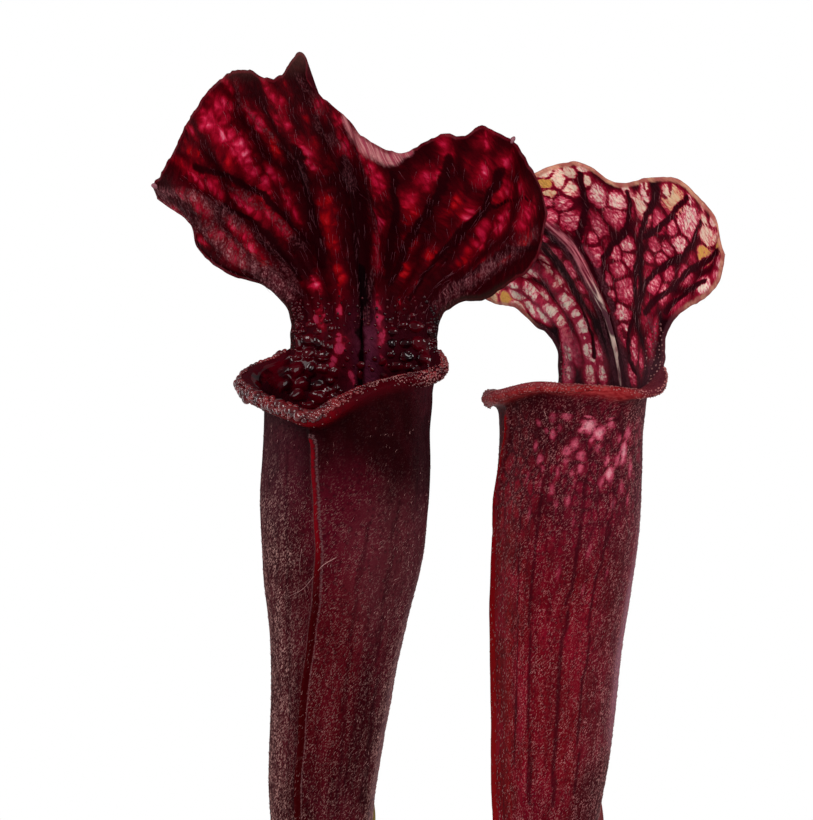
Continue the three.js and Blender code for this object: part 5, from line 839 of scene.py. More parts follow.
def fields(pit, seeds, region, warp=0.32, seed=3):
    """Pattern fields on the grid cells picked out by the region mask."""
    jj, rr = np.nonzero(region)
    M = pit.M
    lane_all = np.zeros_like(M)
    lane_all[:, 1:-1] = M[:, 2:] - M[:, :-2]
    lane_all[:, 0] = M[:, 1] - M[:, 0]; lane_all[:, -1] = M[:, -1] - M[:, -2]
    lane_all[pit.nb + 1:, pit.R] = M[pit.nb + 1:, pit.R] - M[pit.nb + 1:, pit.R - 1]
    l = np.linalg.norm(lane_all, axis=-1, keepdims=True); lane_all /= np.where(l > 1e-9, l, 1)
    X = M[jj, rr].copy()
    w = np.stack([vnoise(X * 0.55, seed), vnoise(X * 0.55 + 31, seed + 1), vnoise(X * 0.55 + 57, seed + 2)], -1)
    w2 = np.stack([vnoise(X * 1.6, seed + 5), vnoise(X * 1.6 + 31, seed + 6), vnoise(X * 1.6 + 57, seed + 7)], -1)
    X = X + warp * (w + 0.45 * w2)
    C = np.array([M[s[0], s[1]] for s in seeds]); L = np.array([lane_all[s[0], s[1]] for s in seeds])
    Z = np.array([(s[2], s[3]) for s in seeds]); T = np.array([s[4] for s in seeds]); Y = np.array([s[5] for s in seeds])
    F1, F2, K = cells(X, None, C, L, Z, T)
    shape = M.shape[:2]
    out = {}
    for name, v, fill in (('F1', F1, 4.0), ('gap', (F2 - F1) * np.minimum(Z[K, 0], Z[K, 1]), 0.0), ('tone', T[K], 0.0), ('yel', Y[K], 0.0)):
        g = np.full(shape, fill); g[jj, rr] = v; out[name] = g
    # soft glow: a smooth sum, for cells without sharp outlines
    soft = np.zeros(len(X)); red = np.zeros(len(X)); wsum = np.full(len(X), 1e-6)
    for k in range(len(C)):
        d = X - C[k]; q = d @ L[k]; rest = np.linalg.norm(d - q[:, None] * L[k], axis=1)
        e = np.exp(-1.05 * ((q / Z[k, 0]) ** 2 + (rest / Z[k, 1]) ** 2))
        soft = np.maximum(soft, T[k] * e) * 0.5 + 0.5 * (1 - (1 - soft) * (1 - T[k] * e))
        wsum += e; red += e * (T[k] < 0.45)
    g = np.zeros(shape); g[jj, rr] = soft; out['glow'] = g
    g = np.zeros(shape); g[jj, rr] = red / wsum; out['red'] = g
    return out


def fill_seeds(pit, region, seeds, spacing, size, tones, count, rs):
    """More cells where none were listed, at least the given distance apart."""
    jj, rr = np.nonzero(region)
    have = [pit.M[s[0], s[1]] for s in seeds]
    out = list(seeds)
    order = rs.permutation(len(jj))[:count]
    for i in order:
        p = pit.M[jj[i], rr[i]]
        sp = spacing * rs.uniform(0.85, 1.25)
        if have and np.min(np.linalg.norm(np.array(have) - p, axis=1)) < sp:
            continue
        have.append(p)
        k = rs.choice(list(tones))
        a = sp * rs.uniform(*size[0]); b = sp * rs.uniform(*size[1])
        out.append((jj[i], rr[i], a, b) + TINT[k])
    return out


# ------------------------------------------------------------------ closed lofts
def loft_mesh(rings, lo=None, hi=None):
    """rings: m, n, 3 joined round and along, closed by poles; returns verts, quads, tris."""
    R = np.asarray(rings, float); m, n = R.shape[:2]
    lo = R[0].mean(0) if lo is None else np.asarray(lo, float)
    hi = R[-1].mean(0) if hi is None else np.asarray(hi, float)
    v = np.concatenate([R.reshape(-1, 3), [lo, hi]])
    a = np.arange(m - 1)[:, None] * n; k = np.arange(n)[None]; k1 = (k + 1) % n
    q = np.stack(np.broadcast_arrays(a + k, a + k1, a + n + k1, a + n + k), -1).reshape(-1, 4)
    k = np.arange(n); k1 = (k + 1) % n
    t = np.concatenate([np.stack([np.full(n, m * n), k1, k], -1),
                        np.stack([np.full(n, m * n + 1), (m - 1) * n + k, (m - 1) * n + k1], -1)])
    vol = (np.einsum('ij,ij->i', v[q[:, 0]], np.cross(v[q[:, 1]], v[q[:, 2]])).sum()
           + np.einsum('ij,ij->i', v[q[:, 0]], np.cross(v[q[:, 2]], v[q[:, 3]])).sum()
           + np.einsum('ij,ij->i', v[t[:, 0]], np.cross(v[t[:, 1]], v[t[:, 2]])).sum())
    if vol < 0:
        q, t = q[:, ::-1], t[:, ::-1]
    return v, q, t


def join(parts):
    vs, qs, ts, off = [], [], [], 0
    for v, q, t in parts:
        vs.append(v); qs.append(np.asarray(q, int).reshape(-1, 4) + off); ts.append(np.asarray(t, int).reshape(-1, 3) + off); off += len(v)
    return np.concatenate(vs), np.concatenate(qs), np.concatenate(ts)


def ico(level):
    p = (1 + 5 ** 0.5) / 2
    v = [(-1, p, 0), (1, p, 0), (-1, -p, 0), (1, -p, 0), (0, -1, p), (0, 1, p), (0, -1, -p), (0, 1, -p), (p, 0, -1), (p, 0, 1), (-p, 0, -1), (-p, 0, 1)]
    f = [(0, 11, 5), (0, 5, 1), (0, 1, 7), (0, 7, 10), (0, 10, 11), (1, 5, 9), (5, 11, 4), (11, 10, 2), (10, 7, 6), (7, 1, 8),
         (3, 9, 4), (3, 4, 2), (3, 2, 6), (3, 6, 8), (3, 8, 9), (4, 9, 5), (2, 4, 11), (6, 2, 10), (8, 6, 7), (9, 8, 1)]
    v = [np.array(a, float) / np.linalg.norm(a) for a in v]
    for _ in range(level):
        c, g = {}, []
        def mid(a, b):
            key = (min(a, b), max(a, b))
            if key not in c:
                m = v[a] + v[b]; v.append(m / np.linalg.norm(m)); c[key] = len(v) - 1
            return c[key]
        for a, b, d in f:
            x, y, z = mid(a, b), mid(b, d), mid(d, a)
            g += [(a, x, z), (b, y, x), (d, z, y), (x, y, z)]
        f = g
    return np.array(v), np.array(f)


ICO = {k: ico(k) for k in (0, 1, 2, 3)}


def blobs(centres, frames, sizes, level, rough=0.0, rs=None):
    """Many rounded lumps in one mesh: frames are 3x3 rows, sizes three half lengths."""
    v0, f0 = ICO[level]
    n = len(centres)
    V_ = v0[None] * np.asarray(sizes)[:, None, :]
    if rough and rs is not None:
        ph = rs.uniform(0, 50, (n, 1, 3))
        V_ = V_ * (1 + rough * vnoise(v0[None] * 1.3 + ph, 5))[..., None]
    W = np.einsum('nvk,nkd->nvd', V_, np.asarray(frames)) + np.asarray(centres)[:, None]
    F = f0[None] + (np.arange(n) * len(v0))[:, None, None]
    return W.reshape(-1, 3), np.zeros((0, 4), int), F.reshape(-1, 3)


def frame_from(n, up=None):
    """Rows: two directions in the surface, then the outward one."""
    n = n / (np.linalg.norm(n, axis=-1, keepdims=True) + 1e-12)
    up = np.broadcast_to(np.array([0, 0, 1.0]) if up is None else up, n.shape)
    a = np.cross(up, n); l = np.linalg.norm(a, axis=-1, keepdims=True)
    a = np.where(l > 1e-3, a / np.maximum(l, 1e-9), np.array([1.0, 0, 0]))
    return np.stack([a, np.cross(n, a), n], -2)


# ------------------------------------------------------------------ small leaves
OLD_LEAF = [[-19.2, -6.6, 103.2, 3.1, 2.4, 20], [-19.0, -5.6, 110, 3.0, 2.1, 18], [-18.6, -3.8, 124, 3.1, 1.6, 12], [-18.0, -1.6, 140, 3.9, 1.4, 6],
            [-17.2, 0.8, 156, 4.6, 1.3, 2], [-16.4, 2.8, 172, 4.5, 1.2, 0], [-15.7, 4.3, 185, 3.7, 1.1, -2], [-15.1, 5.2, 194, 3.0, 0.9, -4], [-14.6, 5.6, 199.6, 1.6, 0.6, -6]]
YOUNG = [[25.0, 18.6, 103.2, 3.1, 3.1, 60], [25.4, 19.4, 110, 2.9, 2.9, 60], [26.4, 21.4, 124, 2.8, 2.8, 60], [27.8, 24.0, 140, 3.0, 2.9, 60],
         [29.4, 26.8, 156, 3.6, 3.3, 60], [31.2, 29.4, 170, 4.3, 3.8, 60], [32.4, 31.0, 180, 4.4, 3.8, 60], [33.3, 32.2, 188, 3.6, 3.1, 60], [33.8, 32.8, 193.5, 2.2, 1.9, 60]]


def small_leaf(table, tip, shape, m=150, n=56):
    T = np.array(table); z = np.linspace(T[0, 2], T[-1, 2], m)
    v = herm(z, T[:, 2], T[:, [0, 1, 3, 4, 5]])
    w = np.arange(n) / n * 2 * math.pi
    ph = np.radians(v[:, 4])[:, None]
    a, b = v[:, 2][:, None], v[:, 3][:, None]
    Z = z[:, None] + 0 * w[None]
    u_, v_ = shape(a, b, w[None] + 0 * a, Z)
    x = v[:, 0][:, None] + u_ * np.cos(ph) + v_ * np.sin(ph)
    y = v[:, 1][:, None] - u_ * np.sin(ph) + v_ * np.cos(ph)
    return loft_mesh(np.stack([x, y, Z], -1), hi=tip), w, z


def old_shape(a, b, w, z):
    u_ = a * np.cos(w); v_ = b * np.sin(w)
    t = np.clip((z - 103.2) / 96, 0, 1)
    v_ = v_ * (0.45 + 0.55 * np.abs(np.cos(w)) ** 0.2 * (1 - sm(np.abs(np.cos(w)), 0.75, 1)) + 0.25)
    v_ += 0.10 * np.cos(u_ * 5.2) * sm(t, 0.05, 0.2) + 0.25 * np.sin(z * 0.21) * (u_ / np.maximum(a, 0.1)) ** 2
    u_ += 0.22 * vnoise(np.stack([z * 0.16, np.sign(np.cos(w)) * 3, 0 * z], -1), 4) * np.abs(np.cos(w)) ** 2
    return u_, v_


def young_shape(a, b, w, z):
    t = np.clip((z - 103.2) / 91, 0, 1)
    r = 1 + 0.03 * np.cos(9 * w + 0.3 * np.sin(z * 0.1)) + 0.02 * vnoise(np.stack([np.cos(w) * 2, np.sin(w) * 2, z * 0.2], -1), 6)
    wing = 0.55 * np.exp(-(((w - 4.4 + math.pi) % (2 * math.pi) - math.pi) / 0.14) ** 2) * sm(t, 0.1, 0.3) * sm(1 - t, 0.04, 0.2)
    fold = -0.16 * np.exp(-(((w - 1.2 + math.pi) % (2 * math.pi) - math.pi) / 0.16) ** 2) * sm(t, 0.62, 0.72)
    hoodlip = 0.10 * np.exp(-((t - 0.80) / 0.02) ** 2)
    k = r + wing + fold + hoodlip
    return a * np.cos(w) * k, b * np.sin(w) * k


def small_material(name, stops, z0, z1, vein, rough, hair):
    m = Net(name)
    co = m.n('ShaderNodeTexCoord').outputs['Object']
    zz = m.n('ShaderNodeSeparateXYZ'); m.put(zz.inputs[0], co)
    mr = m.n('ShaderNodeMapRange'); mr.inputs['From Min'].default_value = z0; mr.inputs['From Max'].default_value = z1
    nz = m.noise(co, 160, 3, 0.6)
    m.put(mr.inputs['Value'], m.math('ADD', zz.outputs[2], m.math('MULTIPLY', m.math('SUBTRACT', nz, 0.5), 0.02)))
    col = m.ramp(mr.outputs[0], stops)
    st = m.noise(m.scaled(co, (1.0, 1.0, 0.06)), 1500, 2, 0.6)
    col = m.mix(m.math('MULTIPLY', m.step(st, 0.56, 0.42), 0.5), col, vein)
    h = m.voro(m.scaled(co, (1.0, 1.0, 0.28)), 2600)
    hr = m.math('MULTIPLY', m.step(h, 0.2, 0.05), hair)
    col = m.mix(hr, col, rgb(150, 120, 112))
    m.set(Base_Color=col, Roughness=m.math('ADD', rough, m.math('MULTIPLY', nz, 0.2)))
    m.b.inputs['Specular IOR Level'].default_value = 0.08
    m.set(Normal=m.bump(m.math('ADD', st, hr), 0.5, 0.14))
    return m.mat


(mo, _, _) = small_leaf(OLD_LEAF, [-14.4, 5.7, 201], old_shape)
old_ob = mk_object('old_leaf_blade', mk_mesh('old_leaf_blade', *mo),
                   small_material('old_leaf', [(0, rgb(110, 62, 40)), (0.3, rgb(120, 84, 44)), (0.6, rgb(128, 116, 50)), (0.92, rgb(138, 122, 58)), (1.0, rgb(120, 70, 40))],
                                  0.103, 0.201, rgb(80, 60, 30), 0.5, 0.15))
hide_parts('old_leaf')
(my, _, _) = small_leaf(YOUNG, [34.1, 33.2, 197.2], young_shape)
young_ob = mk_object('young_pitcher_bud', mk_mesh('young_pitcher_bud', *my),
                     small_material('young_leaf', [(0, rgb(96, 70, 40)), (0.3, rgb(106, 40, 32)), (0.7, rgb(108, 12, 18)), (1.0, rgb(92, 5, 8))],
                                    0.103, 0.197, rgb(50, 3, 8), 0.4, 0.18))
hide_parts('young_pitcher')

# ------------------------------------------------------------------ rhizome, crown scales and roots
RZ = 95.5
R_PATH = np.array([[-36, -17.5], [-27, -12.5], [-14, -5], [1, 2.5], [14, 10.5], [25, 18.5], [31, 23.5]], float)
R_RAD = np.array([4.2, 6.9, 6.1, 6.4, 6.2, 6.9, 4.4])
ROOTS = [[[-22, -9, 91], [-28, -18, 78], [-30, -24, 60], [-26, -27, 42], [-20, -24, 28]],
         [[-30, -14, 92], [-36, -8, 80], [-38, 4, 66], [-33, 14, 50], [-30, 18, 34]],
         [[-6, 0, 91], [-5, -10, 78], [2, -20, 62], [8, -27, 44], [6, -30, 26]],
         [[4, 4, 91], [0, 14, 80], [-8, 24, 66], [-10, 32, 50], [-6, 34, 32]],
         [[16, 12, 91], [24, 2, 80], [32, -8, 66], [34, -16, 48], [30, -20, 30]],
         [[24, 18, 91], [27, 26, 78], [26, 34, 62], [20, 36, 44], [14, 34, 26]]]
m_, n_ = 210, 48
xq = np.linspace(0, 6, m_)
cxy = catmull(np.concatenate([R_PATH, np.full((7, 1), RZ)], 1), xq)
rr_ = catmull(R_RAD[:, None], xq)[:, 0]
al = np.array([67.0, 41.0, 0]); al /= np.linalg.norm(al)
ac = np.array([-al[1], al[0], 0])
w_ = np.arange(n_) / n_ * 2 * math.pi
dd = np.linalg.norm(np.diff(cxy, axis=0), axis=1); arc_ = np.concatenate([[0], np.cumsum(dd)])
endk = np.minimum(sm(arc_, -1.0, 3.5), sm(arc_[-1] - arc_, -1.0, 3.5)) * 0.45 + 0.55
ringscar = 0.42 * np.abs(np.sin(arc_[:, None] * 0.92 + 0.9 * np.sin(w_[None] * 2 + arc_[:, None] * 0.1))) ** 0.5
nn = fbm(np.stack([arc_[:, None] * 0.45 + 0 * w_[None], np.cos(w_)[None] * 2.2 + 0 * arc_[:, None], np.sin(w_)[None] * 2.2 + 0 * arc_[:, None]], -1), 3, 4)
rad = (rr_ * endk)[:, None] + ringscar - 0.35 + 0.5 * nn
rings = cxy[:, None] + ac * (rad * np.cos(w_))[..., None] + np.array([0, 0, 1.0]) * (rad * np.sin(w_))[..., None]
parts = [loft_mesh(rings, cxy[0] - al * 2.0, cxy[-1] + al * 2.0)]


def tube_mesh(pts, radius, n=10, m=40, end=0.4, wob=0.0, seed=0):
    P = catmull(np.asarray(pts, float), np.linspace(0, len(pts) - 1, m))
    tg = np.gradient(P, axis=0); tg /= np.linalg.norm(tg, axis=1, keepdims=True)
    ref = np.array([1.0, 0.3, 0.1]); a = np.cross(tg, ref); a /= np.linalg.norm(a, axis=1, keepdims=True); b = np.cross(tg, a)
    r = np.asarray(radius if np.ndim(radius) else np.full(m, radius), float)
    if wob:
        r = r * (1 + wob * vnoise(np.stack([np.arange(m) * 0.35, np.full(m, seed * 3.1)], -1), seed))
    w = np.arange(n) / n * 2 * math.pi
    R = P[:, None] + r[:, None, None] * (a[:, None] * np.cos(w)[None, :, None] + b[:, None] * np.sin(w)[None, :, None])
    return loft_mesh(R, P[0] - tg[0] * end * r[0], P[-1] + tg[-1] * end * r[-1])


for i, rt in enumerate(ROOTS):
    parts.append(tube_mesh(rt, np.linspace(1.25, 0.8, 60), 12, 60, wob=0.25, seed=i + 1))
rhiz_mat = Net('rhizome')
co = rhiz_mat.n('ShaderNodeTexCoord').outputs['Object']
n1 = rhiz_mat.noise(co, 220, 4, 0.6); n2 = rhiz_mat.noise(co, 900, 3, 0.6)
c = rhiz_mat.ramp(n1, [(0.3, rgb(58, 36, 24)), (0.5, rgb(96, 62, 40)), (0.7, rgb(134, 96, 62))])
c = rhiz_mat.mix(rhiz_mat.step(n2, 0.5, 0.66, 0, 0.5), c, rgb(40, 24, 18))
rhiz_mat.set(Base_Color=c, Roughness=rhiz_mat.math('ADD', 0.62, rhiz_mat.math('MULTIPLY', n2, 0.3)))
rhiz_mat.set(Normal=rhiz_mat.bump(rhiz_mat.math('ADD', n1, n2), 0.7, 0.4))
rz_ob = mk_object('rhizome_crown', mk_mesh('rhizome_crown', *join(parts)), rhiz_mat.mat)
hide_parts('rhizome')


def scale_blade(base, lean, height, width, wrap, thick=0.28, m=34, n=22, seed=0):
    """A small papery sheath: a pointed blade wrapped part way round a stalk."""
    t = np.linspace(0, 1, m)[:, None]; s = np.linspace(-1, 1, n)[None]
    wd = width * (1 - t ** 1.9) ** 0.9 + 0.06
    ang = s * wrap * (wd / width)
    r0 = 3.9 + 1.9 * t ** 1.6 + 0.25 * vnoise(np.stack(np.broadcast_arrays(t * 3 + seed, s * 2), -1), seed)
    ph = math.radians(lean) + ang
    out = []
    for k in (1, -1):
        r = r0 + k * thick * (1 - 0.6 * t) * (1 - 0.75 * np.abs(s) ** 3)
        out.append(np.stack([base[0] + r * np.cos(ph), base[1] + r * np.sin(ph), base[2] + height * t * (1 - 0.15 * s ** 2) + 0 * s], -1))
    A, B = out
    v = np.concatenate([A.reshape(-1, 3), B.reshape(-1, 3)]); o = m * n
    i = np.arange(m - 1)[:, None]; j = np.arange(n - 1)[None]
    a = (i * n + j).ravel()
    q = [np.stack([a, a + 1, a + n + 1, a + n], -1), np.stack([a + o, a + n + o, a + n + 1 + o, a + 1 + o], -1)]
    ed = [*[(0, k) for k in range(n)], *[(k, n - 1) for k in range(1, m)], *[(m - 1, k) for k in range(n - 2, -1, -1)], *[(k, 0) for k in range(m - 2, 0, -1)]]
    e = np.array([x * n + y for x, y in ed]); f = np.roll(e, -1)
    q.append(np.stack([f, e, e + o, f + o], -1))
    q = np.concatenate(q)
    vol = (np.einsum('ij,ij->i', v[q[:, 0]], np.cross(v[q[:, 1]], v[q[:, 2]])).sum() + np.einsum('ij,ij->i', v[q[:, 0]], np.cross(v[q[:, 2]], v[q[:, 3]])).sum())
    return v, (q[:, ::-1] if vol < 0 else q), np.zeros((0, 3), int)


sc = []
for (x, y, leans, h) in ((-27.1, -12.2, (250, 130, 10), 15), (17.2, 14.3, (230, 100, 340), 14), (25.1, 18.9, (60, 200), 9), (-19.2, -6.5, (40, 180), 8), (-34, -16.5, (200, 300, 60), 7), (30, 22.6, (20, 120), 6)):
    for i, ln in enumerate(leans):
        sc.append(scale_blade((x, y, 99.3), ln, h * (1 - 0.18 * i), 1.0, 0.95, seed=int(abs(x) * 3 + i)))
scale_mat = Net('papery_scale')
co = scale_mat.n('ShaderNodeTexCoord').outputs['Object']
n1 = scale_mat.noise(scale_mat.scaled(co, (1, 1, 0.12)), 900, 3, 0.6); n2 = scale_mat.noise(co, 150, 2, 0.5)
c = scale_mat.ramp(n1, [(0.32, rgb(96, 60, 38)), (0.5, rgb(140, 96, 58)), (0.68, rgb(168, 126, 80))])
c = scale_mat.mix(scale_mat.step(n2, 0.45, 0.65, 0, 0.6), c, rgb(92, 30, 26))
scale_mat.set(Base_Color=c, Roughness=scale_mat.math('ADD', 0.5, scale_mat.math('MULTIPLY', n1, 0.3)))
scale_mat.set(Normal=scale_mat.bump(n1, 0.6, 0.15))
mk_object('crown_scales', mk_mesh('crown_scales', *join(sc)), scale_mat.mat)

# ------------------------------------------------------------------ pot
def rounded(profile, arc=6):
    """Profile corners given as (r, z, rounding) turned into short curves."""
    out = []
    for i, (r, z, k) in enumerate(profile):
        p = np.array([r, z], float)
        if k <= 0 or i in (0, len(profile) - 1):
            out.append(p); continue
        a = np.array(profile[i - 1][:2], float) - p; b = np.array(profile[i + 1][:2], float) - p
        ka = min(k, 0.48 * np.linalg.norm(a)); kb = min(k, 0.48 * np.linalg.norm(b))
        A = p + a / np.linalg.norm(a) * ka; B = p + b / np.linalg.norm(b) * kb
        for t in np.linspace(0, 1, arc):
            out.append((1 - t) ** 2 * A + 2 * t * (1 - t) * p + t * t * B)
    return np.array(out)


def lathe(profile, n=200):
    """profile runs from the axis round to the axis again."""
    P = np.asarray(profile, float)
    ins = P[1:-1]
    w = np.arange(n) / n * 2 * math.pi
    R = np.stack([ins[:, 0][:, None] * np.cos(w), ins[:, 0][:, None] * np.sin(w), ins[:, 1][:, None] + 0 * w], -1)
    return loft_mesh(R, [0, 0, P[0, 1]], [0, 0, P[-1, 1]])


def wall(z):
    return 45 + 15 * z / 110


def subdiv(P, step):
    out = [P[0]]
    for a, b in zip(P[:-1], P[1:]):
        k = max(1, int(np.ceil(np.linalg.norm(b - a) / step)))
        for i in range(1, k + 1):
            out.append(a + (b - a) * i / k)
    return np.array(out)


pp = rounded([(0, 0.9, 0), (37, 0.9, 0.4), (38.2, 0, 0.5), (44.2, 0, 0.7), (wall(1.2), 1.2, 0.6), (wall(92.6), 92.6, 0.5), (wall(93) + 3.2, 94.0, 0.7),
              (63.2, 108.9, 0.5), (62.4, 110, 0.6), (58.8, 110, 0.5), (58.0, 109.2, 0.4), (wall(4.4) - 2, 4.4, 1.5), (wall(2.4) - 4, 2.4, 1.2), (0, 2.4, 0)])
pot_v, pot_q, pot_t = lathe(subdiv(pp, 3.0), 240)
pot_me = mk_mesh('pot_body', pot_v, pot_q, pot_t)
tmp = bpy.data.objects.new('pot_tmp', pot_me); bpy.context.collection.objects.link(tmp)
cut = []
for i in range(6):
    a = (i + 0.5) / 6 * 2 * math.pi
    w = np.arange(48) / 48 * 2 * math.pi
    R = [np.stack([29 * math.cos(a) + 4.2 * np.cos(w), 29 * math.sin(a) + 4.2 * np.sin(w), np.full(48, z)], -1) for z in (-4.0, 7.0)]
    cut.append(loft_mesh(R))
cut_ob = bpy.data.objects.new('pot_cut', mk_mesh('pot_cut', *join(cut))); bpy.context.collection.objects.link(cut_ob)
md = tmp.modifiers.new('cut', 'BOOLEAN'); md.operation = 'DIFFERENCE'; md.object = cut_ob; md.solver = 'EXACT'
dg = bpy.context.evaluated_depsgraph_get()
pot_me2 = bpy.data.meshes.new_from_object(tmp.evaluated_get(dg))
pot_me2.name = 'pot_body_cut'
# slivers of no area along the cuts are dissolved
bm = bmesh.new(); bm.from_mesh(pot_me2)
bmesh.ops.dissolve_degenerate(bm, edges=bm.edges[:], dist=2e-6)
bm.to_mesh(pot_me2); bm.free()
bpy.data.objects.remove(tmp); bpy.data.objects.remove(cut_ob)
pot_mat = Net('moulded_plastic')
co = pot_mat.n('ShaderNodeTexCoord').outputs['Object']
n1 = pot_mat.noise(co, 26, 3, 0.5); n2 = pot_mat.noise(co, 1900, 2, 0.5); n3 = pot_mat.noise(pot_mat.scaled(co, (1, 1, 0.1)), 420, 2, 0.5)
c = pot_mat.ramp(n1, [(0.3, rgb(150, 78, 50)), (0.55, rgb(164, 88, 58)), (0.75, rgb(174, 100, 68))])
c = pot_mat.mix(pot_mat.step(n3, 0.56, 0.72, 0, 0.12), c, rgb(196, 150, 120))
pot_mat.set(Base_Color=c, Roughness=pot_mat.math('ADD', 0.48, pot_mat.math('MULTIPLY', n1, 0.18)))
pot_mat.set(Normal=pot_mat.bump(pot_mat.math('ADD', n2, pot_mat.math('MULTIPLY', n3, 0.4)), 0.35, 0.08))
pot_me2.materials.clear()
pot_ob = mk_object('pot_body', pot_me2, pot_mat.mat)
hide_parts('pot')

# ------------------------------------------------------------------ potting mix
def inner(z):
    return wall(z) - 2 - 0.35


nr, nt = 70, 200
rad_ = np.linspace(0, 1, nr + 1)[1:]
w = np.arange(nt) / nt * 2 * math.pi
X = np.outer(rad_ * inner(99.2), np.cos(w)); Y = np.outer(rad_ * inner(99.2), np.sin(w))
bump_ = 0.55 * fbm(np.stack([X * 0.22, Y * 0.22], -1), 2, 4) + 0.35 * fbm(np.stack([X * 0.9, Y * 0.9], -1), 8, 2)
Z = 99.9 + bump_ - 0.9 * (rad_[:, None] ** 8)
side_prof = [(inner(96), 96), (inner(80), 80), (inner(60), 60), (inner(40), 40), (inner(20), 20), (inner(5.2), 5.2), (inner(3.4) - 2.4, 2.75)]
rings = [np.stack([X[i], Y[i], Z[i]], -1) for i in range(nr)]
rings += [np.stack([r * np.cos(w), r * np.sin(w), np.full(nt, z)], -1) for r, z in side_prof]
mixv = loft_mesh(np.array(rings), [0, 0, 100.0], [0, 0, 2.75])
mix_mat = Net('potting_mix')
co = mix_mat.n('ShaderNodeTexCoord').outputs['Object']
n1 = mix_mat.noise(co, 380, 5, 0.65); n2 = mix_mat.noise(co, 60, 3, 0.5)
c = mix_mat.ramp(n1, [(0.3, rgb(26, 17, 12)), (0.5, rgb(54, 37, 26)), (0.66, rgb(84, 60, 42)), (0.8, rgb(112, 84, 58))])
c = mix_mat.mix(mix_mat.step(n2, 0.4, 0.65, 0, 0.5), c, rgb(34, 22, 16))
mix_mat.set(Base_Color=c, Roughness=mix_mat.math('ADD', 0.72, mix_mat.math('MULTIPLY', n1, 0.25)))
mix_mat.set(Normal=mix_mat.bump(n1, 0.8, 0.6))
mix_ob = mk_object('mix_body', mk_mesh('mix_body', *mixv), mix_mat.mat)
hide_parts('potting_mix')


def top_z(x, y):
    b = 0.55 * fbm(np.stack([x * 0.22, y * 0.22], -1), 2, 4) + 0.35 * fbm(np.stack([x * 0.9, y * 0.9], -1), 8, 2)
    return 99.9 + b - 0.9 * (np.hypot(x, y) / inner(99.2)) ** 8


def scatter(n, rmax, rs):
    a = rs.uniform(0, 2 * math.pi, n); r = rmax * np.sqrt(rs.uniform(0, 1, n))
    return r * np.cos(a), r * np.sin(a)


def random_frames(n, rs):
    q = rs.normal(size=(n, 4)); q /= np.linalg.norm(q, axis=1, keepdims=True)
    a, b, c, d = q.T
    return np.stack([np.stack([a*a+b*b-c*c-d*d, 2*(b*c-a*d), 2*(b*d+a*c)], -1),
                     np.stack([2*(b*c+a*d), a*a-b*b+c*c-d*d, 2*(c*d-a*b)], -1),
                     np.stack([2*(b*d-a*c), 2*(c*d+a*b), a*a-b*b-c*c+d*d], -1)], -2)


rs = np.random.default_rng(21)
x, y = scatter(1500, inner(99) - 2.0, rs)
sz = rs.gamma(2.4, 0.34, len(x))[:, None].clip(0.3, 1.9) * rs.uniform(0.6, 1.25, (len(x), 3))
grains = blobs(np.stack([x, y, top_z(x, y) + 0.25 * sz[:, 2]], -1), random_frames(len(x), rs), sz, 1, 0.35, rs)
mk_object('mix_grains', mk_mesh('mix_grains', *grains, smooth=False), mix_mat.mat)
x, y = scatter(150, inner(99) - 2.6, rs)
sz = rs.uniform(0.6, 1.7, (len(x), 1)) * rs.uniform(0.75, 1.15, (len(x), 3))
perl = blobs(np.stack([x, y, top_z(x, y) + 0.35 * sz[:, 2]], -1), random_frames(len(x), rs), sz, 2, 0.3, rs)
per_mat = Net('perlite')
co = per_mat.n('ShaderNodeTexCoord').outputs['Object']
n1 = per_mat.noise(co, 1300, 3, 0.6)
per_mat.set(Base_Color=per_mat.ramp(n1, [(0.3, rgb(176, 168, 156)), (0.6, rgb(226, 222, 214))]), Roughness=per_mat.math('ADD', 0.7, per_mat.math('MULTIPLY', n1, 0.2)))
per_mat.set(Normal=per_mat.bump(n1, 0.8, 0.3))
mk_object('perlite', mk_mesh('perlite', *perl), per_mat.mat)
fib = []
x, y = scatter(230, inner(99) - 6, rs)
for i in range(len(x)):
    a = rs.uniform(0, 2 * math.pi); L = rs.uniform(2, 7)
    k = rs.uniform(-0.8, 0.8)
    pts = [[x[i] + L * (u - 0.5) * math.cos(a + k * u), y[i] + L * (u - 0.5) * math.sin(a + k * u), 0] for u in (0, 0.33, 0.66, 1)]
    for p in pts:
        p[2] = float(top_z(np.array([p[0]]), np.array([p[1]]))[0]) + rs.uniform(0.2, 0.9)
    fib.append(tube_mesh(pts, rs.uniform(0.08, 0.22), 6, 9))
fib_mat = Net('fibre')
co = fib_mat.n('ShaderNodeTexCoord').outputs['Object']
n1 = fib_mat.noise(co, 500, 3, 0.6)
fib_mat.set(Base_Color=fib_mat.ramp(n1, [(0.3, rgb(92, 62, 40)), (0.7, rgb(150, 112, 74))]), Roughness=fib_mat.math('ADD', 0.7, fib_mat.math('MULTIPLY', n1, 0.2)))
mk_object('mix_fibres', mk_mesh('mix_fibres', *join(fib)), fib_mat.mat)


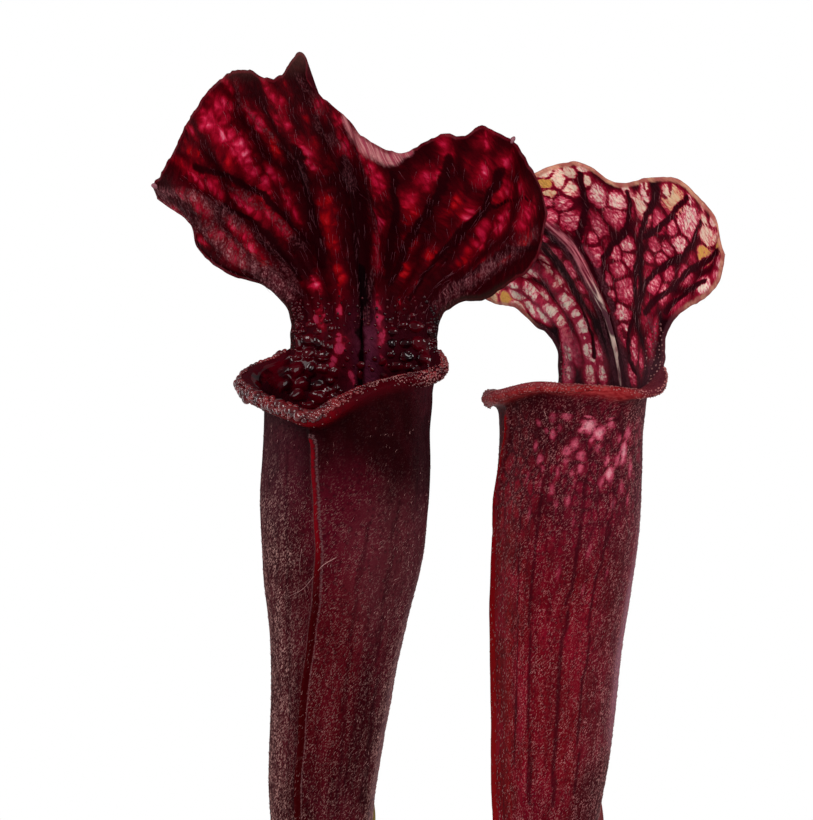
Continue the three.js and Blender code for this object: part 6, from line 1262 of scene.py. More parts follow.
# ------------------------------------------------------------------ leaf material
def leaf_material(name, P, part):
    m = Net(name)
    uvw = m.attr('uvw', 'Vector')
    edge, f1, tone, yel = m.attr('gap'), m.attr('F1'), m.attr('tone'), m.attr('yel')
    glow, red = m.attr('glow'), m.attr('red')
    zone, inner, lip = m.attr('zone'), m.attr('inner'), m.attr('lip')
    marg, zmm, lat, wing, wet = m.attr('marg'), m.attr('zmm'), m.attr('lat'), m.attr('wing'), m.attr('wet')
    lane, ridge, pale, up = m.attr('lane'), m.attr('ridge'), m.attr('pale'), m.attr('up')
    half, groove_shade, dust, vline = m.attr('half'), m.attr('groove_shade'), m.attr('dust'), m.attr('vline')
    n_big = m.noise(uvw, 0.28, 3, 0.55)
    n_mid = m.noise(uvw, 1.1, 3, 0.6)
    n_fine = m.noise(uvw, 4.2, 2, 0.6)
    wob = m.math('SUBTRACT', n_mid, 0.5)
    grain = m.voro(uvw, 2.6)
    # --- hood colours
    if P['crisp']:
        e2 = m.math('ADD', edge, m.math('MULTIPLY', wob, P['jag'][0]))
        e2 = m.math('ADD', e2, m.math('MULTIPLY', m.math('SUBTRACT', n_fine, 0.5), 0.55))
        open_ = m.step(e2, 0.0, 0.80)
        f = m.math('ADD', f1, m.math('MULTIPLY', wob, P['jag'][1]))
        open_ = m.math('MULTIPLY', open_, m.step(f, 1.62, 0.78))
        core = m.step(f1, 1.1, 0.15)
        mott = m.step(m.voro(uvw, 1.15, 'DISTANCE_TO_EDGE'), 0.02, 0.16)
        blot = m.step(m.noise(m.scaled(uvw, (1.0, 0.8, 1.0)), 1.7, 2, 0.6), 0.36, 0.62)
        v = m.math('MULTIPLY', tone, open_)
        v = m.math('MULTIPLY', v, m.math('ADD', 0.74, m.math('MULTIPLY', core, 0.30)))
        v = m.math('MULTIPLY', v, m.math('ADD', 0.78, m.math('MULTIPLY', blot, 0.28)))
        v = m.math('MULTIPLY', v, m.math('ADD', 0.86, m.math('MULTIPLY', mott, 0.14)))
        v = m.math('MULTIPLY', v, m.step(grain, 0.0, 0.5, 1.14, 0.90))
        v = m.math('ADD', v, m.math('MULTIPLY', m.math('SUBTRACT', n_fine, 0.5), m.math('MULTIPLY', v, 0.34)))
        wv = m.n('ShaderNodeVectorMath', operation='ADD')
        m.put(wv.inputs[0], uvw); m.put(wv.inputs[1], m.comb(m.math('MULTIPLY', wob, 1.2), m.math('MULTIPLY', m.math('SUBTRACT', n_big, 0.5), 2.0), 0.0))
        net1 = m.voro(m.scaled(wv.outputs[0], (1.0, 0.8, 1.0)), 0.62, 'DISTANCE_TO_EDGE')
        v = m.math('MULTIPLY', v, m.step(net1, 0.0, 0.28, 0.74, 1.08))
        v = m.math('MULTIPLY', v, m.math('ADD', 1.31, m.math('ADD', m.math('MULTIPLY', m.step(half, -0.02, -0.35), 0.16), m.math('MULTIPLY', m.step(marg, 8.0, 2.5), 0.34))))
        haze = m.math('MULTIPLY', m.step(f1, 2.1, 0.9), m.math('ADD', m.math('ADD', 0.20, m.math('MULTIPLY', m.step(marg, 8.0, 2.5), 0.14)), m.math('MULTIPLY', m.step(half, -0.02, -0.4), 0.28)))
        v = m.math('MAXIMUM', v, m.math('MULTIPLY', haze, m.math('ADD', 0.6, m.math('MULTIPLY', n_mid, 0.8))))
        wide = 0.95
    else:
        v = m.math('ADD', glow, m.math('MULTIPLY', wob, m.math('ADD', 0.08, m.math('MULTIPLY', glow, 0.62))))
        v = m.math('ADD', v, m.math('MULTIPLY', m.math('MULTIPLY', glow, glow), 0.14))
        v = m.math('MULTIPLY', v, m.math('ADD', 0.80, m.math('MULTIPLY', n_big, 0.45)))
        v = m.math('MULTIPLY', v, m.step(grain, 0.0, 0.5, 1.04, 0.98))
        # cells inside the windows, outlined by thin dark veins
        wv = m.n('ShaderNodeVectorMath', operation='ADD')
        m.put(wv.inputs[0], uvw); m.put(wv.inputs[1], m.comb(m.math('MULTIPLY', wob, 1.3), m.math('MULTIPLY', m.math('SUBTRACT', n_big, 0.5), 2.0), 0.0))
        net1 = m.voro(m.scaled(wv.outputs[0], (0.85, 0.95, 1.0)), 0.40, 'DISTANCE_TO_EDGE')
        v = m.math('MULTIPLY', v, m.step(net1, 0.0, 0.34, 0.74, 1.28))
        v = m.math('ADD', v, m.math('MULTIPLY', m.step(net1, 0.08, 0.42), 0.06))
        high = m.step(zmm, 297, 306)
        v = m.math('MULTIPLY', v, m.math('ADD', high, m.math('MULTIPLY', m.math('SUBTRACT', 1.0, high), m.step(v, 0.26, 0.56, 0.42, 0.96))))
        wide = 0.85
    ln_ = m.math('ADD', lane, m.math('MULTIPLY', wob, 0.9))
    dark = m.math('MULTIPLY', m.step(ln_, 1.45, 0.55), wide)
    v = m.math('MULTIPLY', v, m.math('SUBTRACT', 1.0, dark))
    hood = m.ramp(v, P['ramp'])
    if P['crisp']:
        hood = m.mix(m.math('MULTIPLY', yel, m.step(v, 0.45, 0.75)), hood, P['yellow'])
    else:
        hood = m.mix(m.math('MULTIPLY', red, m.step(v, 0.15, 0.4)), hood, m.ramp(v, P['ramp_red']))
    hood = m.mix(m.math('MULTIPLY', dark, P['lane_k']), hood, P['lane_col'])
    hood = m.mix(m.math('MULTIPLY', m.math('MULTIPLY', m.step(zmm, 301, 294), m.step(v, 0.26, 0.52)), P['col_win'][1]), hood, P['col_win'][0])
    # fine dark branches of the veins
    br = m.voro(m.scaled(uvw, (1.0, 0.42, 1.0)), 0.95, 'DISTANCE_TO_EDGE')
    hood = m.mix(m.math('MULTIPLY', m.step(br, 0.07, 0.0), P['branch']), hood, P['vein'])
    # raised grey ridges, broken into flecks: the grey is partly pale hairs, partly painted sheen on them
    rd = m.math('ADD', ridge, m.math('MULTIPLY', wob, 1.5))
    fleck = m.step(m.noise(m.scaled(uvw, (1.0, 0.6, 1.0)), 2.9, 3, 0.65), 0.49, 0.59)
    hood = m.mix(m.math('MULTIPLY', m.step(rd, 2.6, 0.9), P['ridge_dk']), hood, P['lane_col'])
    rmask = m.math('MULTIPLY', m.step(rd, 1.5, 0.7), m.math('ADD', P['ridge_k'][0], m.math('MULTIPLY', fleck, P['ridge_k'][1])))
    hood = m.mix(rmask, hood, m.mix(n_fine, P['ridge_col'][0], P['ridge_col'][1]))
    # pale fold
    pl = m.math('ADD', pale, m.math('MULTIPLY', wob, P['pale_wob']))
    stripe = m.noise(m.scaled(uvw, (2.6, 0.12, 1.0)), 1.2, 2, 0.6)
    hood = m.mix(m.math('MULTIPLY', m.step(pl, 1.5, 0.35), P['pale_k']), hood, m.mix(m.step(stripe, 0.4, 0.62), P['pale_col'][0], P['pale_col'][1]))
    if P['crisp']:
        hood = m.mix(m.math('MULTIPLY', m.step(pl, 1.1, 0.5), m.step(zmm, 304, 299)), hood, m.mix(m.step(stripe, 0.46, 0.56), P['pale_low'][0], P['pale_low'][1]))
    # painted shade: the groove down the middle of the left column darkened to near black
    groove_shade_mask = m.math('MULTIPLY', m.step(m.math('ADD', groove_shade, m.math('MULTIPLY', wob, 0.5)), 1.35, 0.7), 0.96)
    hood = m.mix(groove_shade_mask, hood, rgb(7, 0, 1))
    # margin
    mg = m.math('ADD', marg, m.math('MULTIPLY', wob, P['marg_wob']))
    mgk = m.math('MULTIPLY', m.step(mg, P['marg_w'], P['marg_w'] * 0.35), P['marg_k'])
    mgk = m.math('MULTIPLY', mgk, m.step(up, P['marg_up'][0], P['marg_up'][1]))
    hood = m.mix(mgk, hood, m.mix(m.step(n_big, 0.4, 0.62), P['marg_col'][0], P['marg_col'][1]))
    # tip of the hood, and the dark bumpy edges of the column
    hood = m.mix(m.math('MULTIPLY', m.step(m.math('ADD', zmm, m.math('MULTIPLY', wob, 2.0)), P['tip'][0], P['tip'][1]), P['tip'][2]), hood, P['tip_col'])
    colm = m.math('MULTIPLY', m.step(mg, P['col_w'], P['col_w'] * 0.3), m.step(zmm, 306, 300))
    hood = m.mix(m.math('MULTIPLY', colm, P['col_k']), hood, m.mix(n_fine, P['col_col'][0], P['col_col'][1]))
    # outside of the hood is duller and more even
    hood_out = m.mix(0.45, hood, P['outside'])
    hood = m.mix(inner, hood_out, hood)
    # --- tube colours
    # colour by height; at the top the ramp darkens as painted shade under the rim
    zr = m.n('ShaderNodeMapRange'); m.put(zr.inputs['Value'], m.math('ADD', zmm, m.math('MULTIPLY', m.math('SUBTRACT', n_big, 0.5), 9.0)))
    zr.inputs['From Min'].default_value = 100; zr.inputs['From Max'].default_value = 290
    tube = m.ramp(zr.outputs[0], P['tube'])
    # left edge band; on the left pitcher its greyer tint is partly pale hairs, partly painted sheen where the tube
    # turns away
    tube = m.mix(m.math('MULTIPLY', m.step(lat, -0.35, -1.0), P['left_k']), tube, P['left_col'])
    # painted sheen: a paler band along the right edge where the tube turns away
    tube = m.mix(m.math('MULTIPLY', m.math('MULTIPLY', m.step(lat, 0.66, 0.97), m.step(zmm, 200, 214)), P['right_sheen_k']), tube, P['right_sheen_col'])
    # long dark veins
    lines = m.noise(m.scaled(uvw, (0.42, 0.012, 0.3)), 1.0, 1, 0.4)
    ln = m.math('ABSOLUTE', m.math('SUBTRACT', lines, 0.5))
    tube = m.mix(m.math('MULTIPLY', m.step(ln, 0.020, 0.0), P['lines']), tube, P['vein'])
    warped = m.n('ShaderNodeVectorMath', operation='ADD')
    m.put(warped.inputs[0], uvw); m.put(warped.inputs[1], m.comb(m.math('MULTIPLY', m.math('SUBTRACT', n_big, 0.5), 3.2), 0.0, 0.0))
    long1 = m.voro(m.scaled(warped.outputs[0], (0.17, 0.0035, 0.1)), 1.0, 'DISTANCE_TO_EDGE')
    long2 = m.voro(m.scaled(warped.outputs[0], (0.62, 0.016, 0.1)), 1.0, 'DISTANCE_TO_EDGE')
    lm1, lm2 = m.math('MULTIPLY', m.step(long1, 0.13, 0.02), P['long'][0]), m.math('MULTIPLY', m.step(long2, 0.17, 0.0), P['long'][1])
    lm3 = m.math('MULTIPLY', m.step(m.math('ADD', vline, m.math('MULTIPLY', wob, 0.9)), 2.1, 0.5), P['long'][2])
    tube = m.mix(lm1, tube, P['vein'])
    tube = m.mix(lm2, tube, P['vein'])
    patch = m.noise(m.scaled(uvw, (0.16, 0.06, 0.1)), 1.0, 3, 0.6)
    tube = m.mix(m.math('MULTIPLY', m.step(patch, 0.42, 0.68), P['patch_k']), tube, P['patch_col'])
    # soft washes by side and height; the dark ones just below the rim are painted shade, the pale ones along the right
    # edge painted sheen
    for la, zc, sl, sz_, wc, wk in P['washes']:
        dl = m.math('DIVIDE', m.math('SUBTRACT', lat, la), sl); dz = m.math('DIVIDE', m.math('SUBTRACT', zmm, zc), sz_)
        dd = m.math('ADD', m.math('ADD', m.math('MULTIPLY', dl, dl), m.math('MULTIPLY', dz, dz)), m.math('MULTIPLY', m.math('SUBTRACT', n_big, 0.5), 0.9))
        tube = m.mix(m.math('MULTIPLY', m.step(dd, 1.7, 0.1), wk), tube, wc)
    if P['crisp']:
        f = m.math('ADD', f1, m.math('MULTIPLY', wob, 0.7))
        spot = m.math('MULTIPLY', m.step(f, 1.45, 0.20), m.step(m.math('ADD', edge, m.math('MULTIPLY', m.math('SUBTRACT', n_fine, 0.5), 0.5)), -0.1, 0.6))
        sv = m.math('MULTIPLY', m.math('MULTIPLY', spot, tone), m.math('ADD', 0.62, m.math('MULTIPLY', n_fine, 0.6)))
        net = m.voro(m.scaled(uvw, (1.0, 0.5, 1.0)), 0.55, 'DISTANCE_TO_EDGE')
        tube = m.mix(m.math('MULTIPLY', m.step(net, 0.22, 0.02), m.step(zmm, 236, 264, 0.0, 0.8)), tube, P['vein'])
        tube = m.mix(m.math('MULTIPLY', m.step(sv, 0.02, 0.6), 0.9), tube, m.ramp(sv, P['spot']))
        # painted shadow: the top of the tube darkened just below the rim
        tube = m.mix(m.math('MULTIPLY', m.step(zmm, 272, 280), 0.6), tube, P['rim_shadow'])
    # short pale hairs lying on the tube, most of them leaning the same way
    a = m.voro(m.scaled(m.turned(uvw, -0.66), (3.5, 1.30, 1.0)), 1.0)
    b = m.voro(m.scaled(m.turned(uvw, -0.30), (4.5, 1.9, 1.0)), 1.0)
    a = m.math('SUBTRACT', a, m.math('MULTIPLY', m.step(lat, -0.40, -0.80), P['hair_dense']))
    low = m.math('MULTIPLY', m.step(lat, 0.68, 0.90), m.step(zmm, 252, 226))
    a = m.math('SUBTRACT', a, m.math('MULTIPLY', low, P['hair_low'][0]))
    hair = m.math('MAXIMUM', m.step(a, 0.42, 0.15), m.math('MULTIPLY', m.step(b, 0.42, 0.15), 0.8))
    hair = m.math('MULTIPLY', hair, m.step(n_fine, 0.34, 0.62, 0.25, 1.0))
    flecks = hair
    hair = m.math('MULTIPLY', hair, m.step(m.noise(m.scaled(uvw, (1.0, 0.30, 1.0)), 0.7, 3, 0.65), 0.38, 0.62, 0.12, 1.0))
    hair = m.math('MULTIPLY', hair, m.math('SUBTRACT', 1.0, m.math('MULTIPLY', m.math('MAXIMUM', m.math('MAXIMUM', lm1, lm2), lm3), 0.9)))
    hair = m.math('MULTIPLY', hair, m.math('SUBTRACT', 1.0, m.math('MULTIPLY', m.step(lat, -0.66, -0.88), P['hair_bare'])))
    more = m.math('ADD', m.math('MULTIPLY', m.step(lat, -0.40, -0.85), P['hair_side'][0]), m.math('MULTIPLY', m.step(lat, 0.45, 0.9), P['hair_side'][1]))
    more = m.math('ADD', more, m.math('MULTIPLY', low, P['hair_low'][1]))
    more = m.math('ADD', more, m.step(zmm, 262, 190, 0.0, 0.35))
    pepper = m.voro(m.scaled(uvw, (1.0, 0.7, 1.0)), 1.25)
    tube = m.mix(m.math('MULTIPLY', m.step(pepper, 0.50, 0.15), P['pepper']), tube, P['vein'])
    hair = m.math('MULTIPLY', hair, m.math('ADD', P['hair_base'], more))
    hair = m.math('MULTIPLY', hair, m.step(zmm, P['hair_z'][0], P['hair_z'][1], 1.0, P['hair_z'][2]))
    tube = m.mix(m.math('MULTIPLY', hair, P['hair_k']), tube, P['hair_col'])
    hair = m.math('MINIMUM', hair, 1.0)
    tube = m.mix(lm3, tube, P['vein'])
    # seam down the front
    wn = m.math('ADD', wing, m.math('MULTIPLY', m.step(zmm, 262, 226, -0.26, 0.30), m.step(wing, 0.02, 0.4)))
    wn = m.math('ADD', wn, m.math('MULTIPLY', m.math('MULTIPLY', wob, 0.5), m.step(wing, 0.05, 0.5)))
    tube = m.mix(m.math('MULTIPLY', m.math('MULTIPLY', m.step(wn, 0.16, 0.34), m.math('SUBTRACT', 1.0, m.step(wn, 0.44, 0.60))), m.step(n_fine, 0.38, 0.6, 0.05, 0.75)), tube, P['seam_edge'])
    tube = m.mix(m.math('MULTIPLY', m.step(wn, 0.46, 0.72), m.step(n_big, 0.3, 0.6, 0.75, 1.0)), tube, m.mix(m.step(zmm, P['seam_z'][0], P['seam_z'][1]), P['seam'], P['seam_top']))
    # inside of the tube: the leaf's dark red deepened as painted shade, darker still further down
    inside = m.mix(m.step(zmm, 262, 285), P['inside_deep_shade'], P['inside'])
    tube = m.mix(inner, tube, inside)
    # --- lip
    liptex = m.mix(m.step(n_mid, 0.35, 0.7), P['lip'][0], P['lip'][1])
    liptex = m.mix(m.math('MULTIPLY', m.step(lat, P['lip_end'][0], P['lip_end'][1]), 0.88), liptex, P['lip_dark'])
    # lower edges of the left hood: a painted sheen laid over them, then their pale hairs
    hair_sheen_mask = m.math('MULTIPLY', m.step(m.math('ADD', dust, m.math('MULTIPLY', wob, 2.6)), 1.15, 0.1), inner)
    hair_sheen_mask = m.math('MULTIPLY', hair_sheen_mask, m.step(m.noise(m.scaled(uvw, (0.55, 0.14, 1.0)), 1.0, 3, 0.6), 0.40, 0.58, 0.15, 1.0))
    hood = m.mix(m.math('MULTIPLY', hair_sheen_mask, 0.26), hood, P['dust'][0])
    hood = m.mix(m.math('MULTIPLY', m.math('MULTIPLY', hair_sheen_mask, flecks), 0.85), hood, P['dust'][1])
    col = m.mix(zone, tube, hood)
    col = m.mix(lip, col, liptex)
    netk = m.math('MULTIPLY', m.math('MULTIPLY', wet, P['wet_k']), m.math('MULTIPLY', m.math('SUBTRACT', 1.0, m.math('MULTIPLY', dark, 0.95)), m.math('SUBTRACT', 1.0, groove_shade_mask)))
    col = m.mix(m.math('MULTIPLY', netk, m.math('SUBTRACT', 1.0, m.step(v, 0.28, 0.5))), col, m.mix(n_mid, P['wet_col'][0], P['wet_col'][1]))
    m.set(Base_Color=col)
    rough = m.math('ADD', 0.42, m.math('MULTIPLY', n_fine, 0.22))
    rough = m.math('ADD', rough, m.math('MULTIPLY', hair, 0.1))
    rough = m.math('SUBTRACT', rough, m.math('MULTIPLY', lip, 0.18))
    rough = m.math('SUBTRACT', rough, m.math('MULTIPLY', wet, 0.16), clamp=True)
    m.set(Roughness=rough)
    for k, v_ in P['fixed_' + part].items():
        m.b.inputs[k].default_value = v_
    # surface relief: hairs, veins and cell texture
    h = m.math('ADD', m.math('MULTIPLY', hair, m.math('SUBTRACT', 1.0, zone)), m.math('MULTIPLY', n_fine, 0.5))
    h = m.math('ADD', h, m.math('MULTIPLY', m.step(br, 0.0, 0.14), m.math('MULTIPLY', zone, 0.6)))
    h = m.math('ADD', h, m.math('MULTIPLY', m.math('MULTIPLY', fleck, m.step(rd, 1.6, 0.8)), m.math('MULTIPLY', zone, 0.9)))
    h = m.math('ADD', h, m.math('MULTIPLY', n_mid, 0.6))
    m.set(Normal=m.bump(h, 0.6, 0.18))
    return m.mat


RIGHT_LOOK = dict(
    crisp=True, jag=(0.95, 0.75),
    ramp=[(0.0, rgb(24, 0, 5)), (0.16, rgb(68, 1, 14)), (0.34, rgb(126, 9, 33)), (0.52, rgb(172, 39, 68)),
          (0.68, rgb(206, 94, 112)), (0.82, rgb(222, 158, 158)), (1.0, rgb(228, 204, 186))],
    yellow=rgb(196, 142, 70), branch=0.26, vein=rgb(40, 2, 9), hair_base=0.64, marg_w=0.95, marg_wob=0.9, marg_k=0.9, marg_up=(0.42, 0.66),
    marg_col=(rgb(162, 86, 78), rgb(196, 138, 112)), lane_k=0.55, lane_col=rgb(50, 3, 13), ridge_dk=0.10, ridge_k=(0.20, 0.40), pepper=0.45, hair_bare=0.97, seam_top=rgb(104, 2, 7),
    ridge_col=(rgb(72, 20, 34), rgb(122, 64, 76)), pale_wob=0.7, pale_k=0.9, pale_col=(rgb(112, 26, 46), rgb(196, 112, 122)), col_win=(rgb(190, 120, 124), 0.0),
    pale_low=(rgb(88, 48, 58), rgb(214, 184, 170)), tip=(400, 401, 0.0), tip_col=rgb(90, 60, 60),
    col_w=1.2, col_k=0.35, col_col=(rgb(76, 24, 34), rgb(104, 58, 66)),
    outside=rgb(104, 28, 38),
    # the darker top stops of the tube ramp are painted shade under the rim
    tube=[(0.0, rgb(80, 32, 22)), (0.18, rgb(76, 6, 9)), (0.5, rgb(82, 2, 8)), (0.80, rgb(80, 2, 12)), (0.90, rgb(60, 3, 10)), (1.0, rgb(48, 1, 6))],
    # on the next line the right edge colour is a painted sheen and the colour under the rim a painted shadow
    left_k=0.8, left_col=rgb(104, 1, 5), right_sheen_k=0.85, right_sheen_col=rgb(124, 72, 86), lines=0.40, rim_shadow=rgb(42, 0, 5),
    long=(0.30, 0.30, 0.66), patch_k=0.50, patch_col=rgb(124, 8, 34), hair_dense=0.0, hair_low=(0.0, 0.0), seam_z=(215, 252), dust=(rgb(112, 30, 46), rgb(150, 90, 96)),
    # in the washes, the dark one at z 274 is painted shade under the rim and the pale one on the right edge painted
    # sheen
    washes=[(0.35, 262, 0.65, 16, rgb(92, 14, 36), 0.32), (-0.45, 274, 0.55, 8, rgb(40, 2, 6), 0.55), (0.05, 214, 0.5, 26, rgb(98, 6, 18), 0.32), (0.66, 214, 0.34, 46, rgb(50, 10, 18), 0.45), (0.95, 236, 0.11, 28, rgb(136, 88, 102), 0.75), (0.90, 194, 0.50, 10, rgb(42, 0, 5), 0.85), (0.10, 192, 0.90, 7, rgb(58, 1, 8), 0.5)],
    spot=[(0.0, rgb(80, 5, 18)), (0.30, rgb(122, 24, 46)), (0.6, rgb(166, 66, 88)), (0.9, rgb(204, 142, 150))],
    hair_z=(276, 286, 0.0), hair_k=0.84, hair_side=(0.0, 0.75), hair_col=rgb(198, 126, 126), seam_edge=rgb(84, 30, 34), seam=rgb(104, 8, 10),
    # the inside colours on the next line are deepened as painted shade, darkest further down the tube
    inside_deep_shade=rgb(36, 4, 8), inside=rgb(72, 8, 16), lip=(rgb(106, 14, 19), rgb(142, 46, 47)), lip_end=(0.5, 1.05), lip_dark=rgb(62, 12, 22),
    wet_k=0.5, wet_col=(rgb(62, 18, 30), rgb(104, 60, 70)),
    fixed_tube={'Sheen Weight': 0.0, 'Specular IOR Level': 0.02},
    fixed_hood={'Sheen Weight': 0.0, 'Specular IOR Level': 0.02})
LEFT_LOOK = dict(
    crisp=False, jag=(0.9, 0.8),
    ramp=[(0.0, rgb(34, 0, 3)), (0.14, rgb(60, 0, 6)), (0.30, rgb(94, 1, 13)), (0.46, rgb(127, 5, 27)),
          (0.62, rgb(156, 16, 46)), (0.82, rgb(180, 42, 72)), (1.0, rgb(196, 96, 116))],
    ramp_red=[(0.0, rgb(36, 0, 2)), (0.14, rgb(60, 0, 4)), (0.30, rgb(98, 0, 6)), (0.5, rgb(138, 4, 12)), (1.0, rgb(180, 36, 46))],
    branch=0.16, vein=rgb(18, 0, 3), hair_base=0.36, pepper=0.40, hair_bare=0.0, seam_top=rgb(92, 2, 10), marg_w=0.55, marg_wob=0.4, marg_k=0.35, marg_up=(0.05, 0.3), marg_col=(rgb(110, 18, 30), rgb(118, 46, 54)),
    lane_k=0.6, lane_col=rgb(16, 0, 2), ridge_dk=0.22, ridge_k=(0.02, 0.50), ridge_col=(rgb(66, 22, 30), rgb(124, 66, 72)),
    col_win=(rgb(128, 34, 60), 0.72), pale_wob=0.9, pale_k=0.8, pale_col=(rgb(150, 62, 78), rgb(190, 124, 124)), tip=(341.5, 348.5, 0.45), tip_col=rgb(92, 62, 56),
    col_w=1.7, col_k=0.85, col_col=(rgb(14, 6, 5), rgb(38, 24, 20)),
    outside=rgb(62, 14, 22),
    # the near-black top stops of the tube ramp are painted shade under the rim
    tube=[(0.0, rgb(60, 36, 26)), (0.2, rgb(46, 10, 12)), (0.5, rgb(42, 1, 5)), (0.62, rgb(46, 2, 7)), (0.72, rgb(52, 5, 12)), (0.81, rgb(46, 3, 10)), (0.89, rgb(30, 0, 4)), (0.95, rgb(24, 0, 1)), (1.0, rgb(22, 0, 1))],
    # on the next line the left edge tint is partly hairs, partly painted sheen, and the right edge tint is painted
    # sheen
    left_k=0.55, left_col=rgb(52, 18, 22), right_sheen_k=0.5, right_sheen_col=rgb(56, 24, 32), lines=0.35,
    # the last pair on the next line colours the painted sheen and the pale hairs on the lower edges of the hood
    long=(0.25, 0.25, 0.36), patch_k=0.30, patch_col=rgb(82, 16, 28), hair_dense=0.12, hair_low=(0.12, 1.0), seam_z=(240, 256), dust=(rgb(104, 34, 46), rgb(150, 96, 100)),
    # in the washes, the near-black one at z 270 is painted shade under the rim and the pale one on the right edge
    # painted sheen
    washes=[(0.30, 270, 0.75, 15, rgb(20, 0, 1), 0.7), (0.04, 255, 0.42, 13, rgb(82, 8, 26), 0.34), (0.52, 247, 0.52, 15, rgb(80, 32, 38), 0.36), (-0.02, 226, 0.42, 22, rgb(74, 2, 8), 0.34), (-0.78, 266, 0.40, 13, rgb(52, 16, 26), 0.4), (0.99, 210, 0.10, 42, rgb(108, 76, 80), 0.6)],
    spot=[], hair_z=(252, 272, 0.12), hair_k=0.84, hair_side=(1.0, 0.0), hair_col=rgb(174, 128, 122), seam_edge=rgb(96, 64, 66), seam=rgb(46, 0, 2),
    # the inside colours on the next line are deepened as painted shade, darkest further down the tube
    inside_deep_shade=rgb(14, 0, 2), inside=rgb(30, 0, 4), lip=(rgb(92, 1, 8), rgb(66, 4, 10)), lip_end=(-0.35, 0.15), lip_dark=rgb(46, 1, 6),
    wet_k=0.8, wet_col=(rgb(40, 3, 16), rgb(96, 36, 58)),
    fixed_tube={'Sheen Weight': 0.0, 'Specular IOR Level': 0.01},
    fixed_hood={'Sheen Weight': 0.0, 'Specular IOR Level': 0.01})


